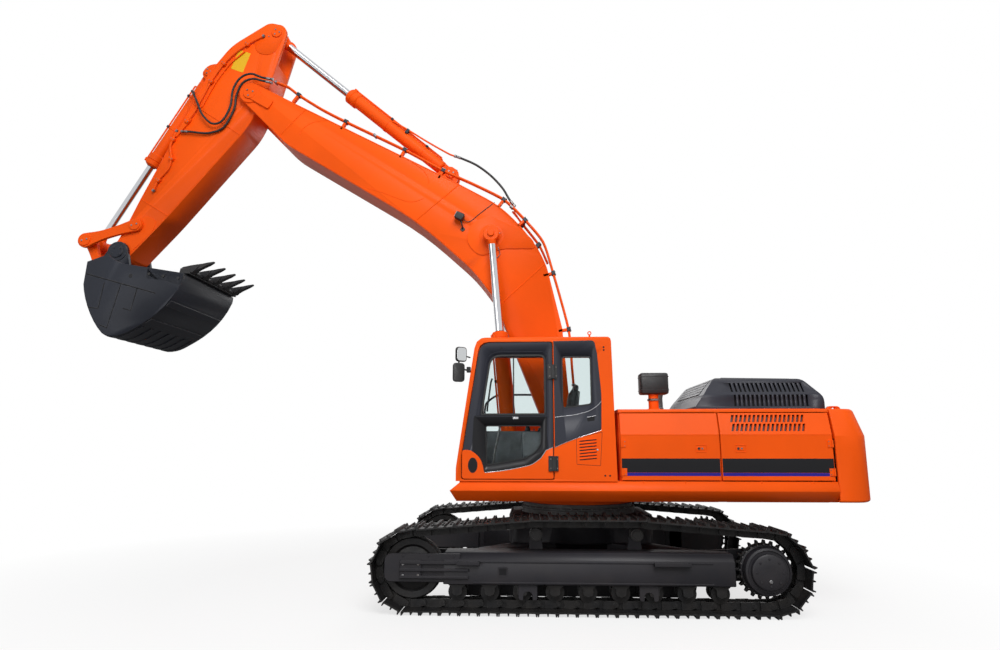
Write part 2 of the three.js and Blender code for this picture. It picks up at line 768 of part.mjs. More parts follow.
// A side door, its closed place, hinged on a vertical post just outside its edge.
function sideDoor(name, side, x0, x1, hingeX) {
  const hingeY = side * (HOUSE_HALF + 12);
  const joint = new THREE.Group();
  joint.name = `${name}_hinge`;
  joint.position.set(hingeX, hingeY, 0);
  house.add(joint);
  const section = wallSection(side, HOUSE_BASE + DOOR_GAP, HOUSE_TOP - 50, HOUSE_HALF, PANEL);
  const panel = lengthways(section, x0 + DOOR_GAP / 2, x1 - DOOR_GAP / 2);
  const knuckles = [0.2, 0.8].map((share) => {
    const z = HOUSE_BASE + share * (HOUSE_CREASE - HOUSE_BASE);
    const barrel = post(hingeX, hingeY, 11, z - 45, z + 45, 12);
    const inward = hingeX > (x0 + x1) / 2 ? -1 : 1;
    const xs = [hingeX, hingeX + inward * 60];
    const ys = [side * (HOUSE_HALF - 10), side * (HOUSE_HALF + 10)];
    const leaf = box(Math.min(...xs), Math.max(...xs), Math.min(...ys), Math.max(...ys), z - 45, z + 45);
    return join(barrel, leaf);
  });
  const door = join(panel, ...knuckles).translate([-hingeX, -hingeY, 0]);
  place(joint, name, door, ORANGE);
}

const FRONT_EDGE = HOUSE_FRONT - 6;
const REAR_EDGE = HOUSE_REAR + 6;
for (const [word, side] of SIDES) {
  sideDoor(`${word}_front_door`, side, HOUSE_DOOR_SPLIT, FRONT_EDGE, FRONT_EDGE - 14);
  sideDoor(`${word}_rear_door`, side, REAR_EDGE, HOUSE_DOOR_SPLIT, REAR_EDGE + 14);
}

// Engine hood: a hollow lid with a sloped front, hinged along its rear edge.
function engineHood() {
  const base = HOUSE_TOP + PLAY;
  const top = base + HOOD_HEIGHT;
  const side = (grow, drop) => [
    [HOOD_REAR + grow, base - (grow ? 20 : 0)],
    [HOOD_FRONT - grow * 2, base - (grow ? 20 : 0)],
    [HOOD_FRONT - grow * 2, base + 50],
    [HOOD_BROW - grow * 2, base + 190 - grow, 40],
    [HOOD_FRONT_TOP - grow, top - drop, 60],
    [HOOD_REAR + 200, top - drop - 20, 60],
    [HOOD_REAR + grow, base + 160, 60],
  ];
  const front = (half, low, high) => [
    [-half, low],
    [half, low],
    [half, base + 190, 40],
    [half - 190, high, 60],
    [-half + 190, high, 60],
    [-half, base + 190, 40],
  ];
  const outer = sideways(side(0, 0), -HOOD_HALF, HOOD_HALF).intersect(
    lengthways(front(HOOD_HALF, base, top), HOOD_REAR - 10, HOOD_FRONT + 10),
  );
  const inner = sideways(side(HOOD_WALL, HOOD_WALL), -HOOD_HALF, HOOD_HALF).intersect(
    lengthways(front(HOOD_HALF - HOOD_WALL, base - 20, top - HOOD_WALL), HOOD_REAR, HOOD_FRONT),
  );
  return cut(outer, inner);
}
const hoodHinge = [HOOD_REAR - 22, HOUSE_TOP + PLAY + 20];
const hood = pivot(house, "hood_hinge", hoodHinge[0], hoodHinge[1], 0);
place(hood, "engine_hood", engineHood().translate([-hoodHinge[0], 0, -hoodHinge[1]]), CHARCOAL);

// Engine with its sump and cooler, one plain block on its bearers.
const engine = join(
  box(-2750, -1500, -330, 330, DECK_TOP + 80, HOUSE_TOP - 60),
  box(-2650, -1900, -260, 260, HOUSE_TOP - 70, HOUSE_TOP + 230),
  box(-2650, -1700, -250, 250, DECK_TOP + GAP, DECK_TOP + 90),
);
place(house, "engine_block", engine, CAST_IRON);
place(house, "radiator", box(-2870, -1760, 980, 1110, DECK_TOP + GAP, HOUSE_TOP - 80), CAST_IRON);

// ---------------------------------------------------------------- tanks and fittings

const TANK_TOP = HOUSE_TOP;
const tankBlock = (x0, x1, top) =>
  upright(
    [
      [x0, -HOUSE_HALF, 40],
      [x1, -HOUSE_HALF, 40],
      [x1, -CAB_IN - 20, 40],
      [x0, -CAB_IN - 20, 40],
    ],
    DECK_TOP + GAP,
    top,
    4,
  );
place(house, "hydraulic_tank", tankBlock(HOUSE_FRONT + 15, 330, TANK_TOP), ORANGE);
const filler = post(680, -1000, 70, TANK_TOP - 70, TANK_TOP + 10);
place(house, "fuel_tank", join(tankBlock(345, 1000, TANK_TOP - 60), filler), ORANGE);
const toolSteps = join(tankBlock(1015, 1290, TANK_TOP - 420), tankBlock(1280, 1500, TANK_TOP - 640));
place(house, "tool_box", toolSteps, ORANGE);

const stub = join(
  post(-960, 900, 70, HOUSE_TOP + GAP, HOUSE_TOP + 230),
  box(-1150, -780, 790, 1010, HOUSE_TOP + 210, HOUSE_TOP + 500),
);
place(house, "air_precleaner", stub, PLASTIC);
const exhaust = tube(
  [
    [-1400, -1060, HOUSE_TOP + GAP],
    [-1400, -1060, HOUSE_TOP + 190],
    [-1400, -1060, HOUSE_TOP + 330],
    [-1440, -1060, HOUSE_TOP + 430],
    [-1530, -1060, HOUSE_TOP + 500],
  ],
  65,
  8,
  12,
);
place(house, "exhaust_pipe", exhaust, CAST_IRON);
const rail = tube(
  [
    [1440, -1380, TANK_TOP - 640 + GAP],
    [1440, -1380, TANK_TOP - 70],
    [1400, -1380, TANK_TOP + 250],
    [1200, -1380, TANK_TOP + 390],
    [500, -1380, TANK_TOP + 390],
    [300, -1380, TANK_TOP + 250],
    [260, -1380, TANK_TOP + 130],
    [260, -1380, TANK_TOP + GAP],
  ],
  17,
  20,
  6,
);
place(house, "right_handrail", rail, CHARCOAL);

// ---------------------------------------------------------------- cab

const CAB_LOW = DECK_TOP + GAP;
const CAB_ROOF_REAR = CAB_REAR + 30;
const cabSide = (grow) => [
  [CAB_FRONT + grow, CAB_LOW - grow],
  [CAB_FRONT + grow, CAB_LOW + 160, 40],
  [CAB_ROOF_FRONT + grow, CAB_ROOF + grow, 150],
  [CAB_ROOF_REAR - grow, CAB_ROOF + grow, 70],
  [CAB_REAR - grow, CAB_LOW - grow],
];
const cabFront = (grow) => [
  [CAB_IN - grow, CAB_LOW - grow],
  [CAB_OUT + grow, CAB_LOW - grow],
  [CAB_OUT + grow, CAB_ROOF + grow, 70],
  [CAB_IN - grow, CAB_ROOF + grow, 70],
];
const DOOR_LOW = CAB_LOW + 25;
const DOOR_HIGH = CAB_ROOF - 75;
const DOOR_FRONT_LOW = CAB_FRONT - 72;
const DOOR_FRONT_TOP = CAB_ROOF_FRONT - 50;
const doorOutline = (grow) => [
  [DOOR_REAR - grow, DOOR_LOW - grow, 20],
  [DOOR_FRONT_LOW + grow, DOOR_LOW - grow, 40],
  [DOOR_FRONT_LOW + grow, CAB_LOW + 300],
  [DOOR_FRONT_TOP + grow, DOOR_HIGH + grow, 120],
  [DOOR_REAR - grow, DOOR_HIGH + grow, 40],
];
const WINDOWS = {
  front: { y0: CAB_IN + 70, y1: CAB_OUT - 70, z0: CAB_LOW + 190, z1: CAB_ROOF - 130 },
  rear: { y0: CAB_IN + 110, y1: CAB_OUT - 110, z0: CAB_LOW + 820, z1: CAB_ROOF - 220 },
  right: { x0: CAB_REAR + 150, x1: CAB_FRONT - 260, z0: CAB_LOW + 620, z1: CAB_ROOF - 160 },
  quarter: { x0: CAB_REAR + 280, x1: DOOR_REAR - 110, z0: CAB_LOW + 870, z1: CAB_ROOF - 255 },
};
const sideWindow = (w, grow) => [
  [w.x0 - grow, w.z0 - grow, 60],
  [w.x1 + grow, w.z0 - grow, 60],
  [w.x1 - (w.x1 > DOOR_REAR ? 60 : 0) + grow, w.z1 + grow, 60],
  [w.x0 - grow, w.z1 + grow, 60],
];
const crossWindow = (w, grow) => [
  [w.y0 - grow, w.z0 - grow, 60],
  [w.y1 + grow, w.z0 - grow, 60],
  [w.y1 + grow, w.z1 + grow, 60],
  [w.y0 - grow, w.z1 + grow, 60],
];

function cabShell() {
  const span = [CAB_REAR - 200, CAB_FRONT + 200];
  const outer = sideways(cabSide(0), CAB_IN, CAB_OUT).intersect(lengthways(cabFront(0), ...span));
  const inner = sideways(cabSide(-CAB_WALL), CAB_IN, CAB_OUT).intersect(
    lengthways(cabFront(-CAB_WALL), ...span),
  );
  const front = lengthways(crossWindow(WINDOWS.front, 0), 900, CAB_FRONT + 50);
  const rear = lengthways(crossWindow(WINDOWS.rear, 0), CAB_REAR - 50, 0);
  const right = sideways(sideWindow(WINDOWS.right, 0), CAB_IN - 50, CAB_IN + CAB_WALL + 50);
  const quarter = sideways(sideWindow(WINDOWS.quarter, 0), CAB_OUT - CAB_WALL - 50, CAB_OUT + 50);
  const opening = sideways(doorOutline(-45), CAB_OUT - CAB_WALL - 50, CAB_OUT + 50);
  const pocket = sideways(doorOutline(DOOR_GAP - 4), CAB_OUT - DOOR_WALL - 6, CAB_OUT + 50);
  return cut(outer, inner, front, rear, right, quarter, opening, pocket);
}
place(house, "cab_shell", cabShell(), CHARCOAL);

// The windscreen follows the sloped front wall.
const screenOuter = sideways(cabSide(-20), CAB_IN, CAB_OUT);
const screenInner = sideways(cabSide(-20 - GLASS), CAB_IN, CAB_OUT);
const screenSlab = cut(screenOuter, screenInner);
const windscreen = screenSlab.intersect(lengthways(crossWindow(WINDOWS.front, -GAP), 900, CAB_FRONT + 50));
place(house, "windscreen", windscreen, GLAZING);
const rearGlass = screenSlab.intersect(lengthways(crossWindow(WINDOWS.rear, -GAP), CAB_REAR - 50, 0));
place(house, "cab_rear_window", rearGlass, GLAZING);
const rightGlass = sideways(sideWindow(WINDOWS.right, -GAP), CAB_IN + 20, CAB_IN + 20 + GLASS);
place(house, "cab_right_window", rightGlass, GLAZING);
const quarterGlass = sideways(sideWindow(WINDOWS.quarter, -GAP), CAB_OUT - 20 - GLASS, CAB_OUT - 20);
place(house, "cab_quarter_window", quarterGlass, GLAZING);

const doorHinge = new THREE.Group();
doorHinge.name = "cab_door_hinge";
doorHinge.position.set(DOOR_REAR - 18, CAB_OUT + 26, 0);
house.add(doorHinge);
const RAIL_LOW = CAB_LOW + 670; // door rail between the two panes
const RAIL_HIGH = CAB_LOW + 795;
const PANE_REAR = DOOR_REAR + 85;
const doorGlassTop = [
  [PANE_REAR, RAIL_HIGH, 30],
  [DOOR_FRONT_LOW - 225, RAIL_HIGH, 30],
  [DOOR_FRONT_TOP - 125, DOOR_HIGH - 155, 130],
  [PANE_REAR, DOOR_HIGH - 155, 60],
];
const doorGlassLow = [
  [PANE_REAR, CAB_LOW + 370, 80],
  [PANE_REAR + 210, CAB_LOW + 170, 120],
  [DOOR_FRONT_LOW - 270, CAB_LOW + 120, 60],
  [DOOR_FRONT_LOW - 225, RAIL_LOW, 40],
  [PANE_REAR, RAIL_LOW, 40],
];
const shrink = (points, by) => {
  const middle = [0, 1].map((axis) => points.reduce((sum, p) => sum + p[axis], 0) / points.length);
  const inwards = (value, axis) => value - Math.sign(value - middle[axis]) * by;
  return points.map(([x, z, r]) => [inwards(x, 0), inwards(z, 1), r]);
};

function cabDoor() {
  const slab = sideways(doorOutline(0), CAB_OUT - DOOR_WALL, CAB_OUT);
  const panes = [doorGlassTop, doorGlassLow].map((p) => sideways(p, CAB_OUT - 90, CAB_OUT + 50));
  const hinges = [0.118, 0.747].map((share) => {
    const z = CAB_LOW + share * (CAB_ROOF - CAB_LOW);
    const [x, y] = [doorHinge.position.x, doorHinge.position.y];
    const leaf = box(x, x + 90, CAB_OUT + 6, CAB_OUT + 34, z - 50, z + 50);
    const foot = box(DOOR_REAR + 12, x + 90, CAB_OUT - 10, CAB_OUT + 20, z - 50, z + 50);
    return join(leaf, foot, post(x, y, 14, z - 50, z + 50, 12));
  });
  return join(cut(slab, panes), hinges);
}
const doorOffset = [-doorHinge.position.x, -doorHinge.position.y, 0];
place(doorHinge, "cab_door", cabDoor().translate(doorOffset), CHARCOAL);
for (const [name, points] of [["door_glass_upper", doorGlassTop], ["door_glass_lower", doorGlassLow]]) {
  const glass = sideways(shrink(points, GAP), CAB_OUT - 30, CAB_OUT - 30 + GLASS);
  place(doorHinge, name, glass.translate(doorOffset), GLAZING);
}

// Seat on its base, with the armrest consoles and the travel levers on the floor.
const CAB_MIDDLE = (CAB_IN + CAB_OUT) / 2;
const CAB_DECK = CAB_LOW + CAB_WALL + GAP;
const seat = join(
  box(180, 560, CAB_MIDDLE - 170, CAB_MIDDLE + 170, CAB_DECK, CAB_DECK + 330),
  box(90, 620, CAB_MIDDLE - 250, CAB_MIDDLE + 250, CAB_DECK + 320, CAB_DECK + 450),
  sideways(
    [
      [90, CAB_DECK + 430, 40],
      [230, CAB_DECK + 430],
      [120, CAB_DECK + 1150, 50],
      [0, CAB_DECK + 1150, 50],
    ],
    CAB_MIDDLE - 235,
    CAB_MIDDLE + 235,
  ),
);
place(house, "operator_seat", seat, FABRIC);
const consoles = SIDES.map(([, side]) => {
  const y = [side * 265, side * 345].map((v) => CAB_MIDDLE + v);
  return join(
    box(150, 760, Math.min(...y), Math.max(...y), CAB_DECK, CAB_DECK + 590),
    post(690, (y[0] + y[1]) / 2, 22, CAB_DECK + 580, CAB_DECK + 760, 12),
  );
});
const travelLevers = [-80, 80].map((dy) =>
  sideways(
    [
      [1120, CAB_DECK + 10],
      [1150, CAB_DECK + 10],
      [1060, CAB_DECK + 720],
      [1030, CAB_DECK + 720],
    ],
    CAB_MIDDLE + dy - 15,
    CAB_MIDDLE + dy + 15,
  ),
);
const floorMat = box(640, 1300, CAB_MIDDLE - 345, CAB_MIDDLE + 345, CAB_DECK, CAB_DECK + 20);
place(house, "controls", join(...consoles, ...travelLevers, floorMat), PLASTIC);

const mirrorX = CAB_FRONT - 90;
const mirrors = join(
  tube(
    [
      [mirrorX - 40, CAB_OUT - 60, CAB_ROOF - 420],
      [mirrorX + 60, CAB_OUT + 60, CAB_ROOF - 400],
      [mirrorX + 60, CAB_OUT + 120, CAB_ROOF - 300],
      [mirrorX + 60, CAB_OUT + 120, CAB_ROOF - 120],
    ],
    12,
    12,
    8,
  ),
  box(mirrorX + 20, mirrorX + 70, CAB_OUT + 30, CAB_OUT + 210, CAB_ROOF - 260, CAB_ROOF - 60),
  box(mirrorX + 60, mirrorX + 110, CAB_OUT + 40, CAB_OUT + 200, CAB_ROOF - 520, CAB_ROOF - 300),
);
place(house, "left_mirrors", cut(mirrors, sideways(cabSide(GAP), CAB_IN, CAB_OUT + GAP)), PLASTIC);

// ---------------------------------------------------------------- boom

const boom = pivot(house, "boom_lift", BOOM_FOOT[0], BOOM_FOOT[1], BOOM_ANGLE);
const FORK_IN = ARM_HALF + PLAY;

// The boom's side view; the top can be lifted a little for what stands on it.
function boomOutline(lift) {
  return [
    [-60, -140, 60],
    [120, -150],
    [2141, 615],
    [2639, 665, 300],
    [3787, 553, 500],
    [6125, -124, 300],
    [6500, -135],
    [BOOM_LENGTH - 80, -160],
    [BOOM_LENGTH + 60 + lift, 165 + lift],
    [6382, 472 + lift, 200],
    [3816, 1401 + lift, 300],
    [3154, 1612 + lift, 220],
    [2715, 1640 + lift, 300],
    [2239, 1590 + lift, 260],
    [1951, 1495 + lift, 100],
    [1128, 1034 + lift],
    [222, 336 + lift],
    [-140, 120 + lift],
  ];
}

function boomBody() {
  const body = sideways(boomOutline(0), -BOOM_HALF, BOOM_HALF, 4);
  const foot = bar(0, 0, FOOT_RADIUS, -BOOM_HALF, BOOM_HALF, 20);
  const tip = bar(BOOM_LENGTH, 0, TIP_RADIUS, -BOOM_HALF, BOOM_HALF, 20);
  const eyes = SIDES.map(([, side]) => {
    const y = [side * (BOOM_HALF - 5), side * (BOOM_HALF + BOOM_SIDE)];
    return bar(...LIFT_EYE, 150, Math.min(...y), Math.max(...y), 20);
  });
  const bracketIn = EYE_HALF + PLAY;
  const cheeks = [1, -1].map((side) => {
    const y = [side * bracketIn, side * (bracketIn + PLATE)];
    return sideways(
      [
        [CROWD_BASE[0] - 260, CROWD_BASE[1] - 260],
        [CROWD_BASE[0] + 200, CROWD_BASE[1] - 420],
        [CROWD_BASE[0] + 110, CROWD_BASE[1] + 100, 100],
        [CROWD_BASE[0] - 110, CROWD_BASE[1] + 100, 100],
      ],
      Math.min(...y),
      Math.max(...y),
    );
  });
  const crowdPin = bar(...CROWD_BASE, LINK_PIN, -bracketIn - PLATE - 15, bracketIn + PLATE + 15);
  const slot = box(BOOM_LENGTH - FORK_DEPTH, BOOM_LENGTH + 400, -FORK_IN, FORK_IN, -500, 900);
  const bore = bar(0, 0, FOOT_PIN + PIN_PLAY, -BOOM_HALF - 5, BOOM_HALF + 5);
  const tipPin = bar(BOOM_LENGTH, 0, TIP_PIN, -BOOM_HALF - 25, BOOM_HALF + 25);
  return join(cut(join(body, foot, tip, eyes), slot, bore), cheeks, crowdPin, tipPin);
}
place(boom, "boom", boomBody(), ORANGE);

// The two oil pipes over the boom's top, held by clamp blocks that stand on it.
function boomPipes() {
  const route = [
    [430, 600],
    [620, 750],
    [1060, 1095],
    [1819, 1500],
    [2269, 1715],
    [2700, 1750],
    [3152, 1735],
    [3660, 1560],
    [4125, 1375],
    [4784, 1165],
    [5773, 800],
    [6205, 655],
    [6640, 545],
    [6860, 510],
    [7060, 420],
  ];
  const pipes = PIPE_SIDES.map((y) => tube(route.map(([x, z]) => [x, y, z]), PIPE_RADIUS, 50, 6));
  const [inner, outer] = PIPE_SIDES;
  const clamps = [2, 3, 5, 9, 10, 12].map((i) => {
    const [x, z] = route[i];
    const foot = box(x - 30, x + 30, inner - 22, outer + 22, z - PIPE_STAND, z + 30);
    return cut(foot, boomSolid);
  });
  return join(...pipes, ...clamps);
}
const boomSolid = sideways(boomOutline(GAP), -BOOM_HALF - 10, BOOM_HALF + 10, 4);
place(boom, "boom_pipes", boomPipes(), ORANGE);

// The hose from the arm cylinder's supply pipe to the boom pipes.
const crowdHose = [
  [4230, 190, 1690],
  [4100, 195, 1750],
  [3880, 205, 1830],
  [3600, 220, 1870],
  [3330, 240, 1860],
  [3120, 262, 1810],
  [2990, 268, 1795],
];
place(boom, "boom_hose", tube(crowdHose, HOSE_RADIUS, 24, 8, 0.5), PLASTIC);

// A hydraulic cylinder from a foot pin to its rod's eye, both given in the parent's side view.
function cylinder(parent, name, foot, eye, size) {
  const run = [eye[0] - foot[0], eye[1] - foot[1]];
  const length = Math.hypot(...run);
  const angle = THREE.MathUtils.radToDeg(Math.atan2(run[1], run[0]));
  const tilt = pivot(parent, `${name}_tilt`, ...foot, angle);
  const slide = new THREE.Group();
  slide.name = `${name}_slide`;
  slide.position.x = length;
  tilt.add(slide);
  for (const [word, y] of size.copies) {
    const eyeBoss = (x) => bar(x, 0, EYE_RADIUS, y - EYE_HALF, y + EYE_HALF, 16);
    const neck = box(EYE_RADIUS / 2, EYE_NECK + 10, y - EYE_HALF, y + EYE_HALF, -75, 75);
    const tubeBody = rod(EYE_NECK, size.barrel, size.bore, y, 0, 20);
    const gland = rod(size.barrel - 90, size.barrel + 25, size.bore + 8, y, 0, 20);
    const inside = rod(EYE_NECK + 40, size.barrel + 50, size.rod + 3, y, 0, 16);
    const footBore = bar(0, 0, size.pin + PIN_PLAY, y - EYE_HALF - 5, y + EYE_HALF + 5);
    const barrel = cut(join(eyeBoss(0), neck, tubeBody, gland), inside, footBore);
    place(tilt, `${name}_barrel${word}`, barrel, ORANGE);
    const rodBar = rod(-size.reach, -EYE_RADIUS + 20, size.rod, y, 0, 16);
    const pin = bar(0, 0, size.eyePin, y - size.pinReach, y + size.pinReach);
    place(slide, `${name}_rod${word}`, join(rodBar, eyeBoss(0), pin), CHROME);
  }
  return tilt;
}

const liftFoot = seen(house, LIFT_BASE, house);
const liftEye = seen(boom, LIFT_EYE, house);
cylinder(house, "boom_cylinder", liftFoot, liftEye, {
  barrel: LIFT_BARREL,
  bore: LIFT_BORE,
  rod: LIFT_ROD,
  reach: 1900,
  pin: FOOT_PIN - 10,
  eyePin: 50,
  pinReach: EYE_HALF + 30,
  copies: SIDES.map(([word, side]) => [`_${word}`, side * LIFT_SIDE]),
});

// ---------------------------------------------------------------- arm

const arm = pivot(boom, "arm_crowd", BOOM_LENGTH, 0, ARM_ANGLE - BOOM_ANGLE);
const ROCKER_IN = ARM_HALF + PLAY;

function armBody() {
  const body = sideways(
    [
      [ARM_TAIL[0] - 60, ARM_TAIL[1] - 150],
      [ARM_TAIL[0] - 150, ARM_TAIL[1] + 20],
      [ARM_TAIL[0] - 70, ARM_TAIL[1] + 220, 80],
      [-480, 855, 150],
      [120, 850, 120],
      [700, 700, 200],
      [2450, 300, 300],
      [2860, 190, 60],
      [ARM_LENGTH - 60, 150],
      [ARM_LENGTH + 60, -152],
      [2362, -222, 200],
      [430, -285, 170],
      [60, -190],
      [-230, -140, 60],
    ],
    -ARM_HALF,
    ARM_HALF,
    4,
  );
  const bosses = [
    bar(...ARM_TAIL, 150, -ARM_HALF, ARM_HALF, 20),
    bar(0, 0, 195, -ARM_HALF, ARM_HALF, 20),
    bar(ARM_LENGTH, 0, 162, -ARM_HALF, ARM_HALF, 20),
    bar(...ROCKER_PIN, 105, -ARM_HALF, ARM_HALF, 16),
  ];
  const tailIn = ARM_HALF - TAIL_CHEEK;
  const tailSlot = box(ARM_TAIL[0] - 400, ARM_TAIL[0] + 420, -tailIn, tailIn, -200, 900);
  const bracketIn = EYE_HALF + PLAY;
  const cheeks = [1, -1].map((side) => {
    const y = [side * bracketIn, side * (bracketIn + PLATE)];
    return sideways(
      [
        [CURL_BASE[0] - 330, CURL_BASE[1] - 180],
        [CURL_BASE[0] + 200, CURL_BASE[1] - 260],
        [CURL_BASE[0] + 95, CURL_BASE[1] + 90, 90],
        [CURL_BASE[0] - 95, CURL_BASE[1] + 90, 90],
      ],
      Math.min(...y),
      Math.max(...y),
    );
  });
  const reach = FORK_IN + BUCKET_EAR + 18;
  const pins = [
    bar(...CURL_BASE, LINK_PIN, -bracketIn - PLATE - 15, bracketIn + PLATE + 15),
    bar(ARM_LENGTH, 0, TIP_PIN, -reach, reach),
  ];
  const bores = [[0, 0, TIP_PIN], [...ROCKER_PIN, LINK_PIN]].map(([x, z, r]) =>
    bar(x, z, r + PIN_PLAY, -ARM_HALF - 5, ARM_HALF + 5),
  );
  return join(cut(join(body, ...bosses), tailSlot, bores), cheeks, pins);
}
place(arm, "arm", armBody(), ORANGE);

cylinder(boom, "arm_cylinder", CROWD_BASE, seen(arm, ARM_TAIL, boom), {
  barrel: CROWD_BARREL,
  bore: CROWD_BORE,
  rod: CROWD_ROD,
  reach: 2330,
  pin: LINK_PIN,
  eyePin: 50,
  pinReach: 130,
  copies: [["", 0]],
});

// Pipes on the arm's left side, with their clamp blocks standing off it.
function armPipes() {
  const y = ARM_HALF + PIPE_RADIUS + 12;
  const upper = [
    [-900, 520],
    [-640, 640],
    [-440, 700],
    [-160, 735],
    [200, 700],
    [745, 575],
    [940, 560],
  ];
  const lower = [
    [1160, 590],
    [1300, 545],
    [1420, 500],
    [1560, 350],
    [1721, 277],
    [1946, 284],
    [2120, 230],
  ];
  const routes = [upper, lower].map((route) => tube(route.map(([x, z]) => [x, y, z]), PIPE_RADIUS, 24, 6));
  const bridge = [
    [860, 530],
    [1240, 530],
    [1240, 600],
    [860, 600],
  ];
  const rail = sideways(bridge, ARM_HALF + GAP, y);
  const clamps = [upper[1], upper[3], upper[6], lower[3], lower[5]].map(([x, z]) =>
    box(x - 26, x + 26, ARM_HALF + GAP, y + PIPE_RADIUS + 10, z - 36, z + 36),
  );
  return join(...routes, rail, ...clamps);
}
place(arm, "arm_pipes", armPipes(), ORANGE);

// The two hoses that come over the joint: one to the bucket cylinder, one to the pipe on the arm.
// Their middle values are distances from the arm's side.
const upperHose = [
  [-375, 130, -163],
  [-305, 130, -2],
  [-251, 130, 181],
  [-98, 113, 285],
  [115, 95, 262],
  [333, 83, 130],
  [523, 79, 75],
  [667, 77, 88],
  [747, 75, 200],
  [716, 75, 406],
  [617, 77, 587],
  [530, 51, 769],
  [497, -17, 880],
  [490, -121, 922],
];
const lowerHose = [
  [-322, 130, -190],
  [-258, 130, -30],
  [-200, 128, 104],
  [-61, 100, 205],
  [151, 55, 182],
  [351, 39, 70],
  [675, 35, 10],
  [870, 37, 120],
  [975, 40, 265],
  [1040, 43, 385],
  [1118, 45, 500],
];
const besideArm = (route) => route.map(([x, out, z]) => [x, ARM_HALF + out, z]);
place(arm, "arm_hose_upper", tube(besideArm(upperHose), HOSE_RADIUS, 44, 8, 0.5), PLASTIC);
place(arm, "arm_hose_lower", tube(besideArm(lowerHose), HOSE_RADIUS, 36, 8, 0.5), PLASTIC);

const bucket = pivot(arm, "bucket_curl", ARM_LENGTH, 0, BUCKET_ANGLE - ARM_ANGLE);
const rocker = pivot(arm, "rocker_swing", ...ROCKER_PIN, ROCKER_ANGLE - ARM_ANGLE);
const earPin = seen(bucket, EAR_PIN, rocker);
const linkRun = [earPin[0] - ROCKER_LENGTH, earPin[1]];
const LINK_LENGTH = Math.hypot(...linkRun);
const linkAngle = THREE.MathUtils.radToDeg(Math.atan2(linkRun[1], linkRun[0]));
const link = pivot(rocker, "link_swing", ROCKER_LENGTH, 0, linkAngle);

// Two levers outside the arm on one pin through it; stub pins at their far ends carry the link.
function rockerLevers() {
  const pinReach = ROCKER_IN + ROCKER_PLATE + 15;
  const levers = SIDES.map(([, side]) => {
    const y = [side * ROCKER_IN, side * (ROCKER_IN + ROCKER_PLATE)];
    const lever = sideways(
      [
        [0, -85],
        [ROCKER_LENGTH, -95],
        [ROCKER_LENGTH, 95],
        [0, 85],
      ],
      Math.min(...y),
      Math.max(...y),
    );
    const stub = [side * (LINK_IN - 2), side * pinReach];
    return join(
      lever,
      bar(0, 0, 105, Math.min(...y), Math.max(...y), 20),
      bar(ROCKER_LENGTH, 0, 115, Math.min(...y), Math.max(...y), 20),
      bar(ROCKER_LENGTH, 0, LINK_PIN, Math.min(...stub), Math.max(...stub)),
    );
  });
  return join(...levers, bar(0, 0, LINK_PIN, -pinReach, pinReach));
}
place(rocker, "rocker", rockerLevers(), ORANGE);

// H-shaped link: two bars, a web between them below the rod's eye, and its lower pin.
function bucketLink() {
  const bars = [1, -1].map((side) => {
    const y = [side * LINK_IN, side * LINK_OUT];
    const strap = sideways(
      [
        [0, -80],
        [LINK_LENGTH, -75],
        [LINK_LENGTH, 75],
        [0, 80],
      ],
      Math.min(...y),
      Math.max(...y),
    );
    const ends = [
      bar(0, 0, 95, Math.min(...y), Math.max(...y), 16),
      bar(LINK_LENGTH, 0, 82, Math.min(...y), Math.max(...y), 16),
    ];
    return cut(join(strap, ...ends), bar(0, 0, LINK_PIN + PIN_PLAY, -300, 300));
  });
  const web = box(LINK_LENGTH * 0.5, LINK_LENGTH * 0.72, -LINK_IN - 5, LINK_IN + 5, -45, 45);
  const pin = bar(LINK_LENGTH, 0, LINK_PIN, -LINK_OUT - 40, LINK_OUT + 40);
  return join(...bars, web, pin);
}
place(link, "bucket_link", bucketLink(), ORANGE);

cylinder(arm, "bucket_cylinder", CURL_BASE, seen(rocker, [ROCKER_LENGTH, 0], arm), {
  barrel: CURL_BARREL,
  bore: CURL_BORE,
  rod: CURL_ROD,
  reach: 1850,
  pin: LINK_PIN,
  eyePin: LINK_PIN,
  pinReach: 75,
  copies: [["", 0]],
});

// ---------------------------------------------------------------- bucket

// The side plate's outline: opening edge, curved floor from the lip to the heel, and back.
function bucketSide() {
  const shape = new THREE.Shape();
  shape.moveTo(-68, 306);
  shape.lineTo(210, 150);
  shape.quadraticCurveTo(330, 240, 502, 250);
  shape.lineTo(1395, 243);
  shape.lineTo(1405, 340);
  shape.bezierCurveTo(1330, 700, 1120, 960, 860, 1160);
  shape.bezierCurveTo(720, 1290, 560, 1340, 440, 1285);
  shape.bezierCurveTo(240, 1150, 40, 860, -29, 640);
  shape.closePath();
  return shape;
}

